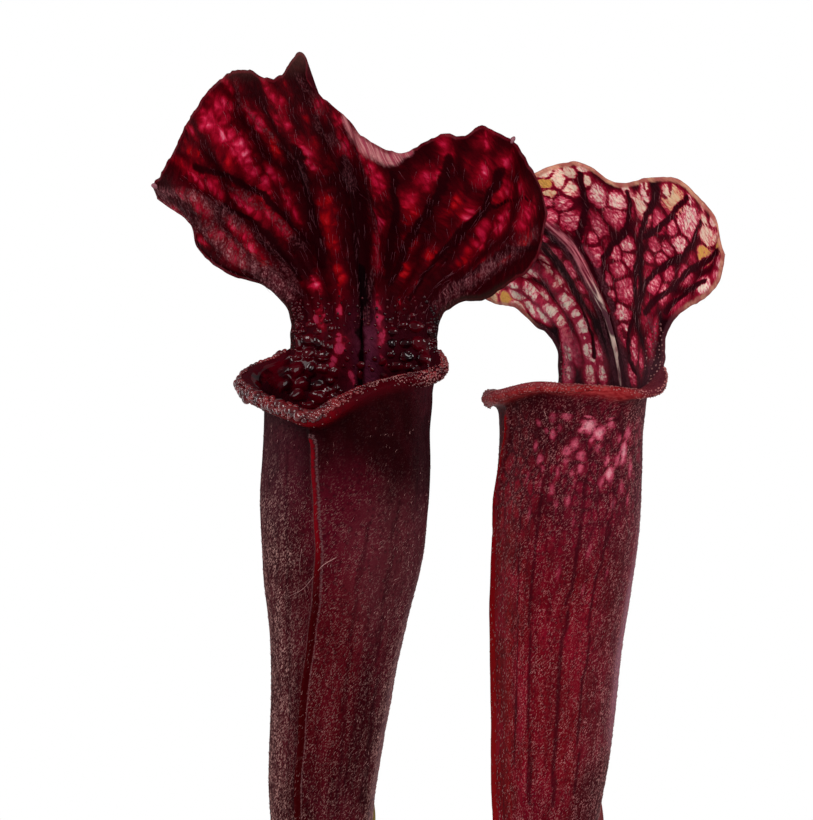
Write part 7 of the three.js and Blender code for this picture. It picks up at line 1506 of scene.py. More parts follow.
def leaf_object(name, pit, look, wing_h, seeds, region, wet_at, rim_mask_pow=1.0, warp=0.32, seed=3):
    F = fields(pit, seeds, region, warp, seed)
    pit.F = F
    strength = np.clip((1.5 - F['F1']), 0, 1) * F['tone'] if look['crisp'] else F['glow']
    hoodmask = np.zeros((pit.nc, pit.rows)); hoodmask[:pit.nb + 1] = sm(np.arange(pit.rows), pit.R - 2, pit.R + 12)[None]
    L_ = line_field(pit, pit.lanes, region, seed + 20); R_ = line_field(pit, pit.ridges, region, seed + 30); P_ = line_field(pit, pit.pales, region, seed + 40, 0.1)
    G_, D_ = line_field(pit, pit.slots, region, seed + 50, 0.12), line_field(pit, pit.dusts, region, seed + 60, 0.5)
    tube_rows = np.zeros((pit.nc, pit.rows), bool); tube_rows[:, :pit.TS + 1] = True
    X_ = line_field(pit, pit.longs, tube_rows, seed + 70, 0.12, 'out', False, (0, pit.TS + 1))
    pit.relief = (0.22 * strength * (1 - 0.8 * np.exp(-L_ ** 2)) + 0.20 * np.exp(-R_ ** 2) + 0.15 * np.exp(-P_ ** 2)) * hoodmask
    pit.lane_d, pit.ridge_d = L_, R_
    V_, Q_, T_, src, side = pit.shell(wing_h)
    me = mk_mesh(name, V_, Q_, T_)
    j, r = src // pit.rows, src % pit.rows
    for k in ('F1', 'gap', 'tone', 'yel', 'glow', 'red'):
        put(me, k, F[k][j, r])
    put(me, 'lane', L_[j, r]); put(me, 'ridge', R_[j, r]); put(me, 'pale', P_[j, r]); put(me, 'groove_shade', G_[j, r]); put(me, 'dust', D_[j, r]); put(me, 'vline', np.where(side > 0.5, 9.0, X_[j, r])); put(me, 'up', pit.t[r]); put(me, 'half', pit.s[j])
    isb = pit.isb[j]
    zone = np.where(isb, sm(r, pit.TS + 1, pit.R + 3), 0.0)
    zone = np.where((side > 0.5), np.maximum(zone, sm(pit.M[j, r, 2], 262, 280) * sm(np.abs((pit.th[j] + 180) % 360 - 180), 108, 84)), zone)
    put(me, 'zone', zone)
    put(me, 'inner', side)
    lip = np.where(isb, 0, sm(r, pit.TS + 0.42 * pit.FS, pit.TS + 0.8 * pit.FS))
    away = np.minimum(pit.th[j] + 288, -72 - pit.th[j])
    put(me, 'lip', lip * (1 - (0.15 if look['crisp'] else 0.75) * (side > 0.6)))
    P = pit.M[j, r]
    # distance from the hood margin in mm, measured on the grid
    M = pit.M[:pit.nb + 1]
    row = np.concatenate([np.zeros((1, pit.rows)), np.cumsum(np.linalg.norm(np.diff(M, axis=0), axis=-1), 0)])
    up = np.concatenate([np.zeros((pit.nb + 1, 1)), np.cumsum(np.linalg.norm(np.diff(M, axis=1), axis=-1), 1)], 1)
    d = np.minimum(np.minimum(row, row[-1:] - row), up[:, -1:] - up)
    D = np.full((pit.nc, pit.rows), 9.0); D[:pit.nb + 1, pit.R:] = d[:, pit.R:]
    put(me, 'marg', D[j, r])
    put(me, 'zmm', P[:, 2])
    c = herm(P[:, 2], pit.st[:, 0], pit.st[:, 1:6])
    put(me, 'lat', np.clip((P[:, 0] - c[:, 0]) / (c[:, 2] * 1.03), -1.5, 1.5))
    put(me, 'wing', pit.wing[j, r] * (side < 0.5) * (r <= pit.TS + 0.7 * pit.FS))
    # surface coordinates in mm: across, along, side
    S = np.zeros((pit.nc, pit.rows, 3))
    S[..., 0] = np.where(pit.isb[:, None], pit.th[:, None], pit.th[:, None] + 360) * math.pi / 180 * 13.0
    S[:pit.nb + 1, pit.R:, 0] = (row - row[pit.nb // 2])[:, pit.R:]
    blend = sm(np.arange(pit.rows), pit.R - 14, pit.R + 2)[None]
    tubeX = np.repeat((pit.th[:pit.nb + 1] * math.pi / 180 * 13.0)[:, None], pit.rows, 1)
    S[:pit.nb + 1, :, 0] = tubeX * (1 - blend) + (row - row[pit.nb // 2]) * blend
    upall = np.concatenate([np.zeros((pit.nc, 1)), np.cumsum(np.linalg.norm(np.diff(pit.M, axis=1), axis=-1), 1)], 1)
    S[..., 1] = upall
    S = S[j, r]; S[:, 2] = 7.0 * (side > 0.5)
    put(me, 'uvw', S)
    put(me, 'wet', wet_at(P, side, zone, lip, pit.th[j], r))
    ob = mk_object(name, me, leaf_material(name + '_tube', look, 'tube'))
    me.materials.append(leaf_material(name + '_hood', look, 'hood'))
    # the hood material on the hood and on the inside of the tube
    hz = (zone > 0.5) | (side > 0.5)
    pick_ = np.concatenate([hz[Q_].all(1), hz[T_].all(1)]).astype(np.int32)
    me.polygons.foreach_set('material_index', pick_)
    return ob


LEFT_WING = ([100, 195.8, 207.8, 219.8, 229.8, 239.7, 247.7, 253.6, 263.6, 273, 290], [173, 175, 176, 179, 177, 175, 176, 177, 181, 185, 186])
RIGHT_WING = ([100, 191, 216, 236.8, 248, 257, 266.2, 276.7, 290], [189, 191, 193, 192, 191, 195, 191, 187, 187])


def left_hem(s, t):
    k = t ** 1.25
    y = -k * (1.5 * np.sin(2 * math.pi * (3.5 * s + 0.1)) + 0.7 * np.sin(2 * math.pi * (7.7 * s + 0.3)))
    y += np.exp(-(s / 0.035) ** 2) * (1.6 - 0.9 * t) * sm(t, 0.0, 0.08)
    z = 0.35 * k ** 2 * np.sin(2 * math.pi * (6.3 * s + 0.6))
    return np.stack([0 * y, y, z * 0], -1)


def right_hem(s, t):
    k = t ** 1.25
    y = -k * (1.3 * np.sin(2 * math.pi * (3.1 * s + 0.55)) + 0.6 * np.sin(2 * math.pi * (6.9 * s + 0.1)))
    y -= np.exp(-(s / 0.03) ** 2) * 0.8 * (1 - 0.4 * t) * sm(t, 0.0, 0.08)
    y = 0.75 * y
    return np.stack([-0.4 * y, y, 0 * y], -1)


LP = Pitcher(LEFT, LEFT_WING, 1.6, left_hem, None, slim=0.022, scallop=0.34)
RP = Pitcher(RIGHT, RIGHT_WING, 1.05, right_hem, None, (-155, 1.0), slim=0.060, scallop=0.16)
LP.lanes, LP.ridges, LP.pales = LEFT_LANES, LEFT_RIDGES, LEFT_PALE
RP.lanes, RP.ridges, RP.pales = [(0.86 * w, p) for w, p in RIGHT_LANES], RIGHT_RIDGES, RIGHT_PALE
LP.slots, LP.dusts, LP.longs = LEFT_GROOVE_SHADE, LEFT_HAIR_SHEEN, LEFT_LONG
RP.slots, RP.dusts, RP.longs = [], [], RIGHT_LONG

# grid regions
def hood_region(p):
    m = np.zeros((p.nc, p.rows), bool); m[:p.nb + 1, p.TS - 36:] = True
    return m


LP.I = LP.M - 0.4 * LP.N; LP.O = LP.M + 0.4 * LP.N
RP.I = RP.M - 0.4 * RP.N; RP.O = RP.M + 0.4 * RP.N
l_seeds = seeds_on(LP, LEFT_WINDOWS, 'in', True, (LP.TS - 34, LP.rows), 0.2 * 1.45)
r_seeds = seeds_on(RP, RIGHT_WINDOWS, 'in', True, (RP.TS - 34, RP.rows), 0.208 * 1.42)
rs = np.random.default_rng(11)
hid = hood_region(RP); hid[:, :RP.R + 10] = False
hid &= (RP.P2[..., 0] < 541) & (RP.P2[..., 1] < 268)
r_seeds = fill_seeds(RP, hid, r_seeds, 2.9, ((0.50, 0.72), (0.36, 0.5)), 'ccwppppmr', 900, rs)
t_seeds = seeds_on(RP, RIGHT_SPOTS, 'out', False, (0, RP.TS + 1), 0.208 * 1.15)
tr = np.zeros((RP.nc, RP.rows), bool); tr[:, :RP.TS + 1] = True
depth = RP.P2[..., 1]
far = tr & ((RP.N * (EYE - RP.M)).sum(-1) < 0) & (RP.M[..., 2] > 266)
t_seeds = fill_seeds(RP, far, t_seeds, 2.5, ((0.5, 0.8), (0.28, 0.42)), 'pppmmwr', 500, rs)
far = tr & ((RP.N * (EYE - RP.M)).sum(-1) < 0) & (RP.M[..., 2] > 238) & (RP.M[..., 2] <= 266)
t_seeds = fill_seeds(RP, far, t_seeds, 4.6, ((0.4, 0.6), (0.14, 0.2)), 'mrrp', 260, rs)
reg_r = hood_region(RP) | (tr & (RP.M[..., 2] > 225))


def wet_left(P, side, zone, lip, th, r):
    p = flat(P)
    mid = np.exp(-((p[:, 0] - 368) / 12) ** 2)
    w = sm(P[:, 2], 302, 291) * (side > 0.5) * (0.10 + 0.90 * mid)
    return np.clip(w, 0, 1)


def wet_right(P, side, zone, lip, th, r):
    return sm(P[:, 2], 292, 284) * (side > 0.5) * 0.6


left_ob = leaf_object('left_pitcher_leaf', LP, LEFT_LOOK, 1.7, l_seeds, hood_region(LP), wet_left, warp=0.5)
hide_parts('left_pitcher')
right_ob = leaf_object('right_pitcher_leaf', RP, RIGHT_LOOK, 1.1, r_seeds + t_seeds, reg_r, wet_right, warp=0.3, seed=9)
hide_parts('right_pitcher')


# ------------------------------------------------------------------ nectar beads, droplets and hairs
def glossy(name, base, deep, rough, coat=1.0, spec=0.5, coat_rough=0.04):
    m = Net(name)
    co = m.n('ShaderNodeTexCoord').outputs['Object']
    n1 = m.noise(co, 420, 2, 0.5); n2 = m.noise(co, 90, 2, 0.5)
    m.set(Base_Color=m.mix(m.step(m.math('ADD', m.math('MULTIPLY', n1, 0.6), m.math('MULTIPLY', n2, 0.4)), 0.38, 0.6), deep, base))
    m.set(Roughness=m.math('ADD', rough, m.math('MULTIPLY', n1, 0.12)))
    m.b.inputs['Coat Weight'].default_value = coat
    m.b.inputs['Coat Roughness'].default_value = coat_rough
    m.b.inputs['Specular IOR Level'].default_value = spec
    m.set(Normal=m.bump(n1, 0.25, 0.05))
    return m.mat


bead_mat = glossy('nectar_bead', rgb(104, 20, 24), rgb(50, 0, 6), 0.28, 0.60, 0.12, 0.07)
drop_mat = glossy('dark_droplet', rgb(60, 0, 8), rgb(18, 0, 3), 0.30, 0.42, 0.0)
dew_mat = glossy('dew', rgb(128, 80, 78), rgb(70, 24, 28), 0.32, 0.45, 0.12, 0.09)
pale_dew_mat = glossy('pale_dew', rgb(152, 86, 84), rgb(110, 40, 44), 0.34, 0.35, 0.12, 0.12)


def lip_points(p, th0, th1, n, rs, a0, a1):
    """Places round the rolled rim: position, outward direction and angle from the back."""
    js = np.arange(p.nb + 1, p.nc)
    th = p.th[js]
    E = p.M[js, p.R]; N = p.N[js, p.R]; H = p.H[js, p.R]
    out = np.cross(np.gradient(E, axis=0), N); out /= np.linalg.norm(out, axis=1, keepdims=True)
    if (out[:, 2].mean() < 0):
        out = -out
    t = th0 + (th1 - th0) * (np.arange(n) + rs.uniform(-0.3, 0.3, n)) / n
    f = lambda v: np.stack([np.interp(t, th, v[:, i]) for i in range(3)], -1)
    e, nn, oo = f(E), f(N), f(out); h = np.interp(t, th, H)
    a = np.radians(rs.uniform(a0, a1, n))[:, None]
    d = nn * np.sin(a) + oo * np.cos(a); d /= np.linalg.norm(d, axis=1, keepdims=True)
    return e + d * h[:, None], d, t


rs = np.random.default_rng(33)
parts = []
for (n, a0, a1, lo_, hi_) in ((120, -22, 14, 0.36, 0.66), (120, -50, -18, 0.36, 0.64), (110, -82, -46, 0.32, 0.6), (46, 12, 34, 0.28, 0.5)):
    P, d, t = lip_points(LP, -76, -286, n, rs, a0, a1)
    k = rs.uniform(lo_, hi_, n) * (1 - 0.40 * sm(-t, 190, 235))
    sz = np.stack([k * rs.uniform(0.9, 1.25, n), k * rs.uniform(0.9, 1.2, n), k * rs.uniform(0.65, 0.9, n)], -1)
    parts.append(blobs(P + d * (0.10 * k)[:, None], frame_from(d), sz, 2, 0.10, rs))
P, d, t = lip_points(LP, -78, -178, 24, rs, -52, 30)
k = rs.uniform(0.72, 1.08, len(t))
parts.append(blobs(P + d * 0.1, frame_from(d), np.stack([k * 1.15, k, k * 0.75], -1), 2, 0.12, rs))
mk_object('left_rim_beads', mk_mesh('left_rim_beads', *join(parts)), bead_mat)
parts = []
for n, a0, a1, t0 in ((330, -60, 30, -74), (40, 26, 90, -74), (400, -70, 60, -215), (80, 40, 110, -236)):
    P, d, t = lip_points(LP, t0, -287, n, rs, a0, a1)
    k = rs.uniform(0.09, 0.20, n)
    parts.append(blobs(P + d * 0.02, frame_from(d), np.stack([k, k, k * 0.8], -1), 1))
mk_object('left_rim_dew', mk_mesh('left_rim_dew', *join(parts)), dew_mat)
parts = []
for n, a0, a1 in ((700, -60, 40), (240, 40, 95)):
    P, d, t = lip_points(RP, -74, -287, n, rs, a0, a1)
    k = rs.uniform(0.08, 0.18, n)
    parts.append(blobs(P + d * 0.02, frame_from(d), np.stack([k, k, k * 0.75], -1), 1))
mk_object('right_rim_dew', mk_mesh('right_rim_dew', *join(parts)), pale_dew_mat)


def spread(x0, y0, x1, y1, gap, n, rs, keep=None):
    pts = []
    for _ in range(n):
        p = np.array([rs.uniform(x0, x1), rs.uniform(y0, y1)])
        if keep is not None and not keep(p):
            continue
        if pts and np.min(np.linalg.norm((np.array(pts) - p) * [1.0, 1.35], axis=1)) < gap * rs.uniform(0.9, 1.15):
            continue
        pts.append(p)
    return np.array(pts)


def on_leaf(p, pts, sizes, level, rough, rs, rows, sink=0.15, side='in', back=True):
    hit = p.pick(pts, side, back, rows)
    G = p.I if side == 'in' else p.O
    sgn = -1 if side == 'in' else 1
    c, n, s = [], [], []
    for (j, r, d), q in zip(hit, sizes):
        if d > 5:
            continue
        c.append(G[j, r]); n.append(sgn * p.N[j, r]); s.append(q)
    c, n, s = np.array(c), np.array(n), np.array(s)
    return blobs(c - n * (s[:, 2:] * sink), frame_from(n), s, level, rough, rs)


rows_in = (LP.TS - 36, LP.R + 60)
# droplets in the mouth: flat place, half width, half height
DROPS = [
    (297, 343, 7, 7), (309, 340, 7, 5.5), (318.5, 343, 5.5, 7), (328.6, 347.5, 4.6, 5), (328.6, 337, 3.4, 3.4), (331.4, 328.6, 3.4, 3.8),
    (326, 321, 3, 3), (311, 323.5, 5, 3.4), (303, 331, 4, 3), (322, 356.5, 7, 5.5), (308.5, 353.5, 6.5, 5.5), (297, 356.5, 6, 5), (323, 369.5, 6, 4.4),
    (334.3, 372.5, 4.6, 4.8), (330, 381, 3.6, 3.4), (317, 385.5, 7, 4.4), (336, 389.5, 3, 3.6), (333, 397.5, 3.8, 3.4), (327, 391, 3.8, 4),
    (296, 370, 8, 7), (311.5, 370.5, 6.4, 6.5), (303, 384, 8, 6), (319, 397.5, 8.5, 6), (297, 395, 8, 5.5), (285, 383, 6.5, 6), (284, 367, 6, 6),
    (288, 353, 4.5, 5), (309, 405, 7, 4), (340, 399, 3, 3), (318, 331, 3.4, 3.2), (303, 317, 3.5, 2.6), (297, 326, 3, 3),
    (390, 320, 3.4, 3.8), (393, 331, 4.4, 4.6), (392, 343.5, 4.4, 4.8), (390.5, 355, 4.8, 4.2), (396, 367, 6.6, 4.4), (384, 376, 4, 2.8),
    (406.5, 343, 6.6, 5), (406, 356, 6.4, 5.6), (408.5, 368, 5, 4), (416, 327, 7.5, 5.4), (419, 343.5, 6.8, 7), (423, 358, 8, 6.5), (416, 369, 4.6, 3.4),
    (435, 362, 4.4, 4.8), (433, 346, 5, 5.6), (430, 332, 4.2, 4.2), (402, 325, 4.2, 4), (399, 313, 3, 2.8), (411, 315, 3.4, 3),
    (360.7, 366, 3, 3.4), (360, 375.5, 3.4, 4), (347, 359.5, 2, 2.2), (375, 360, 2.2, 2.2), (372, 371, 2, 2), (383, 363, 2.8, 3),
    (343, 366, 1.5, 1.5), (366, 352, 1.3, 1.3), (379, 347, 1.4, 1.4), (341, 391, 2, 2), (352, 352, 1.2, 1.2), (349, 344, 1.1, 1.1), (372, 338, 1.2, 1.2),
    (369, 350, 1.1, 1.1), (345, 351, 1.2, 1.2), (378, 333, 1.1, 1.1), (388, 366, 1.6, 1.6), (354, 366, 1.1, 1.1), (369, 365, 1.2, 1.2), (356, 386, 1.4, 1.4)]
q = np.array(DROPS)
small = q[q[:, 2] < 2.5]
sz = np.stack([small[:, 2] * 0.25, small[:, 3] * 0.25, small[:, 2] * 0.25 * 0.6], -1)
parts = [on_leaf(LP, small[:, :2], sz, 2, 0.12, rs, rows_in, 0.1)]
mk_object('left_mouth_beads', mk_mesh('left_mouth_beads', *join(parts)), drop_mat)


def wet_film(p, cols, r0, r1, fine, drops, areas, seed):
    """Nectar lying on the inner wall: droplets that run together into a film, sunk into the wall at its edge."""
    ctrl = p.I[cols, r0 - 1:r1 + 2].transpose(1, 0, 2)
    cn = -p.N[cols, r0 - 1:r1 + 2].transpose(1, 0, 2)
    t = 1 + np.arange((r1 - r0) * fine + 1) / fine
    P = catmull(ctrl, t); N = catmull(cn, t)
    N /= np.linalg.norm(N, axis=-1, keepdims=True)
    f = flat(P); facing = sm(((EYE - P) * N).sum(-1) / np.linalg.norm(EYE - P, axis=-1), -0.05, 0.12)
    w = np.stack([vnoise(P * 0.7 + 3, seed), vnoise(P * 0.7 + 40, seed + 1)], -1) * 1.7
    g = f + w
    acc = np.zeros(P.shape[:2])
    for x, y, a, b in drops:
        d = ((g[..., 0] - x) / (a * 0.96)) ** 2 + ((g[..., 1] - y) / (b * 1.08)) ** 2
        acc += (min(a, b) * 0.2 * 0.72 * np.sqrt(np.clip(1 - d, 0, 1))) ** 3
    h = acc ** (1 / 3.0)
    base = np.full(P.shape[:2], -0.35)
    for x, y, a, b, k in areas:
        d = np.sqrt(((g[..., 0] - x) / a) ** 2 + ((g[..., 1] - y) / b) ** 2)
        base = np.maximum(base, -0.35 + (0.35 + k) * sm(d, 1.15, 0.75))
    base += 0.14 * vnoise(P * 0.85, seed + 5) + 0.24 * vnoise(P * np.array([0.45, 0.45, 0.34]), seed + 6) + 0.05 * vnoise(P * 1.9, seed + 7)
    h = np.where(h > 0.02, np.maximum(h, base) + 0.5 * np.clip(base, 0, 1) * sm(h, 0, 0.4), base) * facing - 0.12 * (1 - facing)
    # the outermost rows and columns end inside the wall
    n1, n2 = h.shape
    e = np.minimum(np.minimum(np.arange(n1), n1 - 1 - np.arange(n1))[:, None], np.minimum(np.arange(n2), n2 - 1 - np.arange(n2))[None])
    h = np.where(e < 3, -0.12, h); h = np.clip(h, -0.12, 1.3)
    V = np.concatenate([(P + N * h[..., None]).reshape(-1, 3), (P - N * 0.30).reshape(-1, 3)])
    i = np.arange(n1 - 1)[:, None] * n2 + np.arange(n2 - 1)[None]; i = i.ravel()
    top = np.stack([i, i + 1, i + n2 + 1, i + n2], -1)
    off = n1 * n2
    loop = np.concatenate([np.arange(n2), np.arange(1, n1) * n2 + n2 - 1, (n1 - 1) * n2 + np.arange(n2 - 2, -1, -1), np.arange(n1 - 2, 0, -1) * n2])
    nx = np.roll(loop, -1)
    Q = np.concatenate([top, top[:, ::-1] + off, np.stack([nx, loop, loop + off, nx + off], -1)])
    vol = np.einsum('ij,ij->i', V[Q[:, 0]], np.cross(V[Q[:, 1]], V[Q[:, 2]])).sum() + np.einsum('ij,ij->i', V[Q[:, 0]], np.cross(V[Q[:, 2]], V[Q[:, 3]])).sum()
    return V, (Q[:, ::-1] if vol < 0 else Q), np.zeros((0, 3), int)


big = q[q[:, 2] >= 2.5]
# flat place, half width, half height and thickness of the film
WET = [(264, 364, 24, 16, 0.04), (290, 372, 30, 24, 0.12), (314, 388, 26, 24, 0.06), (300, 345, 14, 16, 0.0), (424, 350, 16, 22, 0.0), (252, 378, 18, 14, 0.04)]
a_ = int(np.searchsorted(LP.th[LP.nb + 1:], -158.0)) + LP.nb + 1
ring = np.concatenate([np.arange(a_, LP.nc), np.arange(0, LP.nb + 1)])
ring = ring[::2] if len(ring) % 2 else ring[1::2]
film = wet_film(LP, ring, LP.TS - 34, LP.R - 1, 3, big, WET, 61)
mk_object('left_mouth_film', mk_mesh('left_mouth_film', *film), drop_mat)
film = wet_film(LP, np.arange(2, LP.nb - 1, 2), LP.R - 7, LP.R + 40, 2, big, WET, 61)
mk_object('left_column_film', mk_mesh('left_column_film', *film), drop_mat)

# fine dew on the edges of both columns
parts = []
e1 = np.concatenate([spread(291, 300, 303, 350, 3.2, 300, rs), spread(430, 306, 441, 352, 3.2, 260, rs), spread(300, 296, 436, 330, 6, 400, rs)])
k = rs.uniform(0.16, 0.46, len(e1))
parts.append(on_leaf(LP, e1, np.stack([k, k, k * 0.8], -1), 1, 0, rs, (LP.R - 4, LP.rows)))
mk_object('left_column_dew', mk_mesh('left_column_dew', *join(parts)), drop_mat)
e2 = np.concatenate([spread(645, 322, 664, 384, 3.4, 340, rs), spread(560, 350, 566, 380, 3, 60, rs)])
k = rs.uniform(0.10, 0.26, len(e2))
mk_object('right_column_dew', mk_mesh('right_column_dew', *join([on_leaf(RP, e2, np.stack([k, k, k * 0.8], -1), 1, 0, rs, (RP.TS - 10, RP.rows))])), dew_mat)

hair_mat = Net('pale_hair')
co = hair_mat.n('ShaderNodeTexCoord').outputs['Object']
n1 = hair_mat.noise(co, 300, 2, 0.5)
hair_mat.set(Base_Color=hair_mat.ramp(n1, [(0.3, rgb(104, 56, 58)), (0.7, rgb(176, 124, 120))]), Roughness=hair_mat.math('ADD', 0.45, hair_mat.math('MULTIPLY', n1, 0.2)))


def tube_hairs(p, n, zlo, zhi, rs, bare=0.0, length=(0.34, 0.85), width=0.036):
    """Short spikes lying up the outside of the tube."""
    j = rs.integers(0, p.nc, n * 3); z = rs.uniform(zlo, zhi, n * 3)
    z = np.where((z > 250) & (rs.uniform(0, 1, n * 3) < bare * sm(z, 250, 268)), zlo + (z - 250) * 3.0, z)
    u = rs.uniform(0, 1, n * 3)
    r = np.array([int(np.searchsorted(p.M[jj, :p.TS + 1, 2], zz)) for jj, zz in zip(j, z)])
    ok = (r > 0) & (r < p.TS - 1)
    j, r, z, u = j[ok][:n], r[ok][:n], z[ok][:n], u[ok][:n]
    k = (j + 1) % p.nc
    f = (z - p.M[j, r - 1, 2]) / np.maximum(p.M[j, r, 2] - p.M[j, r - 1, 2], 1e-6)
    A = (p.O[j, r - 1] * (1 - f[:, None]) + p.O[j, r] * f[:, None]) * (1 - u[:, None]) + (p.O[k, r - 1] * (1 - f[:, None]) + p.O[k, r] * f[:, None]) * u[:, None]
    N = p.N[j, r]
    up = np.array([0, 0, 1.0]) - N * N[:, 2:3]; up /= np.linalg.norm(up, axis=1, keepdims=True)
    side = np.cross(up, N)
    sway = rs.normal(0.5, 0.32, len(j))[:, None]
    d = up * np.cos(sway) + side * np.sin(sway)
    L = rs.uniform(*length, len(j))[:, None]
    lift = rs.uniform(0.06, 0.24, len(j))[:, None]
    tip = A + (d * 1.0 + N * lift) * L
    c = np.cross(d, N)
    w = width * rs.uniform(0.7, 1.3, len(j))[:, None]
    b0 = A - N * 0.05 + c * w; b1 = A - N * 0.05 - c * w; b2 = A + N * w * 1.6 - d * w
    V_ = np.stack([b0, b1, b2, tip], 1).reshape(-1, 3)
    i = np.arange(len(j))[:, None] * 4
    T = np.concatenate([i + [0, 2, 1], i + [0, 1, 3], i + [1, 2, 3], i + [2, 0, 3]], 1).reshape(-1, 3)
    v = V_; t0 = T[:4]
    vol = np.einsum('ij,ij->i', v[T[:, 0]], np.cross(v[T[:, 1]], v[T[:, 2]])).sum()
    return V_, np.zeros((0, 4), int), (T[:, ::-1] if vol < 0 else T)


mk_object('left_tube_hairs', mk_mesh('left_tube_hairs', *tube_hairs(LP, 15000, 112, 276, rs, 0.85)), hair_mat.mat)
mk_object('right_tube_hairs', mk_mesh('right_tube_hairs', *tube_hairs(RP, 11000, 112, 278, rs, 0.4)), hair_mat.mat)


def stray_hairs(p, lines, width, lift):
    """Single long hairs lying loose across the tube."""
    parts = []
    for pts in lines:
        c = np.array([p.O[j, r] + p.N[j, r] * lift * (1 if 0 < i < len(pts) - 1 else 0.1) for i, (j, r, d) in enumerate(p.pick(pts, 'out', False, (0, p.TS + 1)))])
        c[1:-1] = 0.5 * c[1:-1] + 0.25 * (c[:-2] + c[2:])
        m = 30
        parts.append(tube_mesh(c, np.linspace(width, width * 0.5, m), 5, m, 0.3))
    return join(parts)


mk_object('left_stray_hair', mk_mesh('left_stray_hair', *stray_hairs(LP, [[(336, 558), (323, 567), (312, 581), (304, 594), (288, 597)], [(300, 552), (297, 566), (299, 578)]], 0.055, 0.45)), hair_mat.mat)
mk_object('right_stray_hair', mk_mesh('right_stray_hair', *stray_hairs(RP, [[(543, 399), (544, 406), (546, 414), (548, 421)]], 0.05, 0.4)), hair_mat.mat)


def hood_hairs(p, n, rs, length, width=0.016, tmin=0.22):
    """Long fine hairs on the inner face, leaning towards the mouth, most of them on the veins."""
    jj, rr = np.meshgrid(np.arange(4, p.nb - 4), np.arange(p.R + int(tmin * p.HS), p.R + p.HS - 3), indexing='ij')
    jj, rr = jj.ravel(), rr.ravel()
    cell = np.linalg.norm(np.cross(p.M[jj + 1, rr] - p.M[jj - 1, rr], p.M[jj, rr + 1] - p.M[jj, rr - 1]), axis=1)
    w = cell * (0.6 + 0.6 * np.exp(-(p.lane_d[jj, rr] / 1.4) ** 2) + 0.6 * np.exp(-(p.ridge_d[jj, rr] / 1.6) ** 2))
    pick_ = rs.choice(len(jj), n, p=w / w.sum())
    j, r = jj[pick_], rr[pick_]
    A = p.I[j, r]; N = -p.N[j, r]
    lane = p.M[j, r - 2] - p.M[j, r + 2]; lane /= np.linalg.norm(lane, axis=1, keepdims=True)
    g = lane * 0.75 + np.array([0, 0, -0.45]); g -= N * (g * N).sum(1, keepdims=True); g /= np.linalg.norm(g, axis=1, keepdims=True)
    side = np.cross(g, N); sway = rs.normal(0, 0.22, n)[:, None]
    d = g * np.cos(sway) + side * np.sin(sway)
    L = rs.uniform(*length, n)
    parts = []
    for i in range(n):
        a = A[i] - 0.05 * N[i]
        pts = [a, a + (0.35 * d[i] + 0.16 * N[i]) * L[i], a + (0.70 * d[i] + 0.22 * N[i]) * L[i], a + (1.0 * d[i] + 0.20 * N[i]) * L[i]]
        parts.append(tube_mesh(pts, width * np.array([1.0, 0.8, 0.6, 0.4, 0.2]), 4, 5, 0.2))
    return join(parts)


hh = Net('fine_hair')
co = hh.n('ShaderNodeTexCoord').outputs['Object']
n1 = hh.noise(co, 260, 2, 0.5)
hh.set(Base_Color=hh.ramp(n1, [(0.3, rgb(82, 24, 38)), (0.7, rgb(134, 74, 86))]), Roughness=hh.math('ADD', 0.45, hh.math('MULTIPLY', n1, 0.2)))
mk_object('left_hood_hairs', mk_mesh('left_hood_hairs', *hood_hairs(LP, 720, rs, (1.2, 3.0))), hh.mat)
hr = Net('fine_pale_hair')
co = hr.n('ShaderNodeTexCoord').outputs['Object']
n1 = hr.noise(co, 260, 2, 0.5)
hr.set(Base_Color=hr.ramp(n1, [(0.3, rgb(112, 48, 62)), (0.7, rgb(184, 128, 130))]), Roughness=hr.math('ADD', 0.45, hr.math('MULTIPLY', n1, 0.2)))
mk_object('right_hood_hairs', mk_mesh('right_hood_hairs', *hood_hairs(RP, 460, rs, (1.2, 3.2))), hr.mat)

# small pointed ends of the main veins where they reach the margin
parts = []
for x, y, k, out in ((156, 187, 0.85, (-1, 0, 0.1)), (512.5, 141, 0.7, (0.6, 0, 0.8))):
    (j, r, d), = LP.pick([(x, y)], 'in', True, (LP.R + 20, LP.rows))
    o = np.array(out, float); o /= np.linalg.norm(o)
    c = LP.M[j, r] + o * 0.35 * k
    parts.append(blobs(c[None], frame_from(o[None]), np.array([[k * 0.75, k * 0.75, k * 1.15]]), 2, 0.12, rs))
mk_object('left_vein_ends', mk_mesh('left_vein_ends', *join(parts)), hh.mat)


# ------------------------------------------------------------------ floor, light and background
def disc(radius, n=96):
    w = np.arange(n) / n * 2 * math.pi
    R = [np.stack([r * np.cos(w), r * np.sin(w), np.full(n, z)], -1) for r, z in ((radius, -3.0), (radius, 0.0), (radius * 0.5, 0.0))]
    return loft_mesh(np.array(R), [0, 0, -3.0], [0, 0, 0])


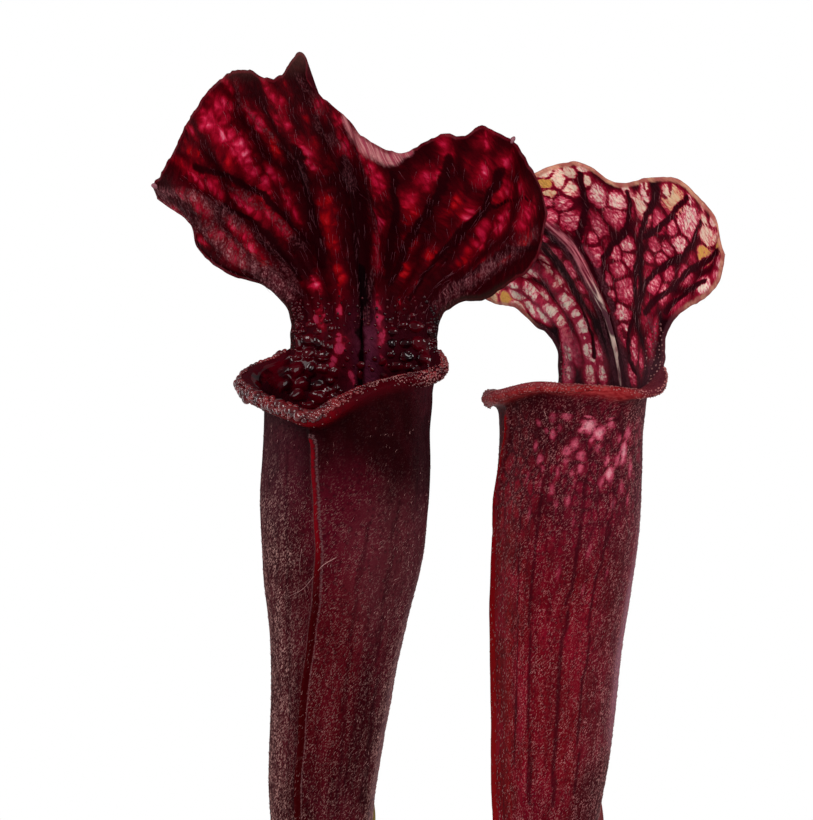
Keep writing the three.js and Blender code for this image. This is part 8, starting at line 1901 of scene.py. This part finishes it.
fl = Net('pale_floor')
co = fl.n('ShaderNodeTexCoord').outputs['Object']
ln = fl.n('ShaderNodeVectorMath', operation='LENGTH'); fl.put(ln.inputs[0], co)
n1 = fl.noise(co, 30, 3, 0.5)
fl.set(Base_Color=fl.ramp(n1, [(0.3, (0.80, 0.80, 0.80, 1)), (0.7, (0.84, 0.84, 0.84, 1))]), Roughness=0.6)
em = fl.n('ShaderNodeEmission'); em.inputs[0].default_value = (1, 1, 1, 1); em.inputs[1].default_value = 1.0
mx = fl.n('ShaderNodeMixShader'); fl.put(mx.inputs[0], fl.step(ln.outputs['Value'], 0.20, 0.62))
fl.t.links.new(fl.b.outputs[0], mx.inputs[1]); fl.t.links.new(em.outputs[0], mx.inputs[2])
fl.t.links.new(mx.outputs[0], fl.out.inputs['Surface'])
floor_me = mk_mesh('floor', *disc(900.0))
floor_me.materials.append(fl.mat)
floor = bpy.data.objects.new('floor', floor_me); bpy.context.collection.objects.link(floor)

world = bpy.data.worlds.new('soft_white'); bpy.context.scene.world = world
world.use_nodes = True
wt = world.node_tree; wt.nodes.clear()
bg1 = wt.nodes.new('ShaderNodeBackground'); bg1.inputs[0].default_value = (1, 1, 1, 1); bg1.inputs[1].default_value = 1.0
bg2 = wt.nodes.new('ShaderNodeBackground'); bg2.inputs[0].default_value = (0.93, 0.96, 1.0, 1); bg2.inputs[1].default_value = 0.27
lp = wt.nodes.new('ShaderNodeLightPath'); mxs = wt.nodes.new('ShaderNodeMixShader'); wo = wt.nodes.new('ShaderNodeOutputWorld')
wt.links.new(lp.outputs['Is Camera Ray'], mxs.inputs[0]); wt.links.new(bg2.outputs[0], mxs.inputs[1]); wt.links.new(bg1.outputs[0], mxs.inputs[2])
wt.links.new(mxs.outputs[0], wo.inputs['Surface'])


def area(name, loc, aim, size, power, colour=(1, 1, 1), size_y=None):
    L = bpy.data.lights.new(name, 'AREA'); L.energy = power; L.color = colour
    L.shape = 'RECTANGLE'; L.size = size; L.size_y = size_y or size
    o = bpy.data.objects.new(name, L); bpy.context.collection.objects.link(o)
    o.location = loc
    o.rotation_mode = 'QUATERNION'; o.rotation_quaternion = (Vector(aim) - Vector(loc)).to_track_quat('-Z', 'Y')
    return o


AIM = (0.0, 0.0, 0.24)
area('key', (-0.40, -0.85, 0.85), AIM, 0.45, 9.2, (1.0, 0.985, 0.97))
area('fill', (0.55, -0.95, 0.45), AIM, 0.7, 6.6)
area('side_left', (-0.95, 0.30, 0.35), AIM, 0.35, 4.5, (0.95, 0.98, 1.0), 0.9)
area('side_right', (0.95, 0.25, 0.32), AIM, 0.35, 4.5, (0.95, 0.98, 1.0), 0.9)

bpy.context.scene.view_settings.view_transform = 'Standard'
bpy.context.scene.view_settings.look = 'None'
bpy.context.scene.view_settings.exposure = 0.0
bpy.context.scene.view_settings.gamma = 1.0
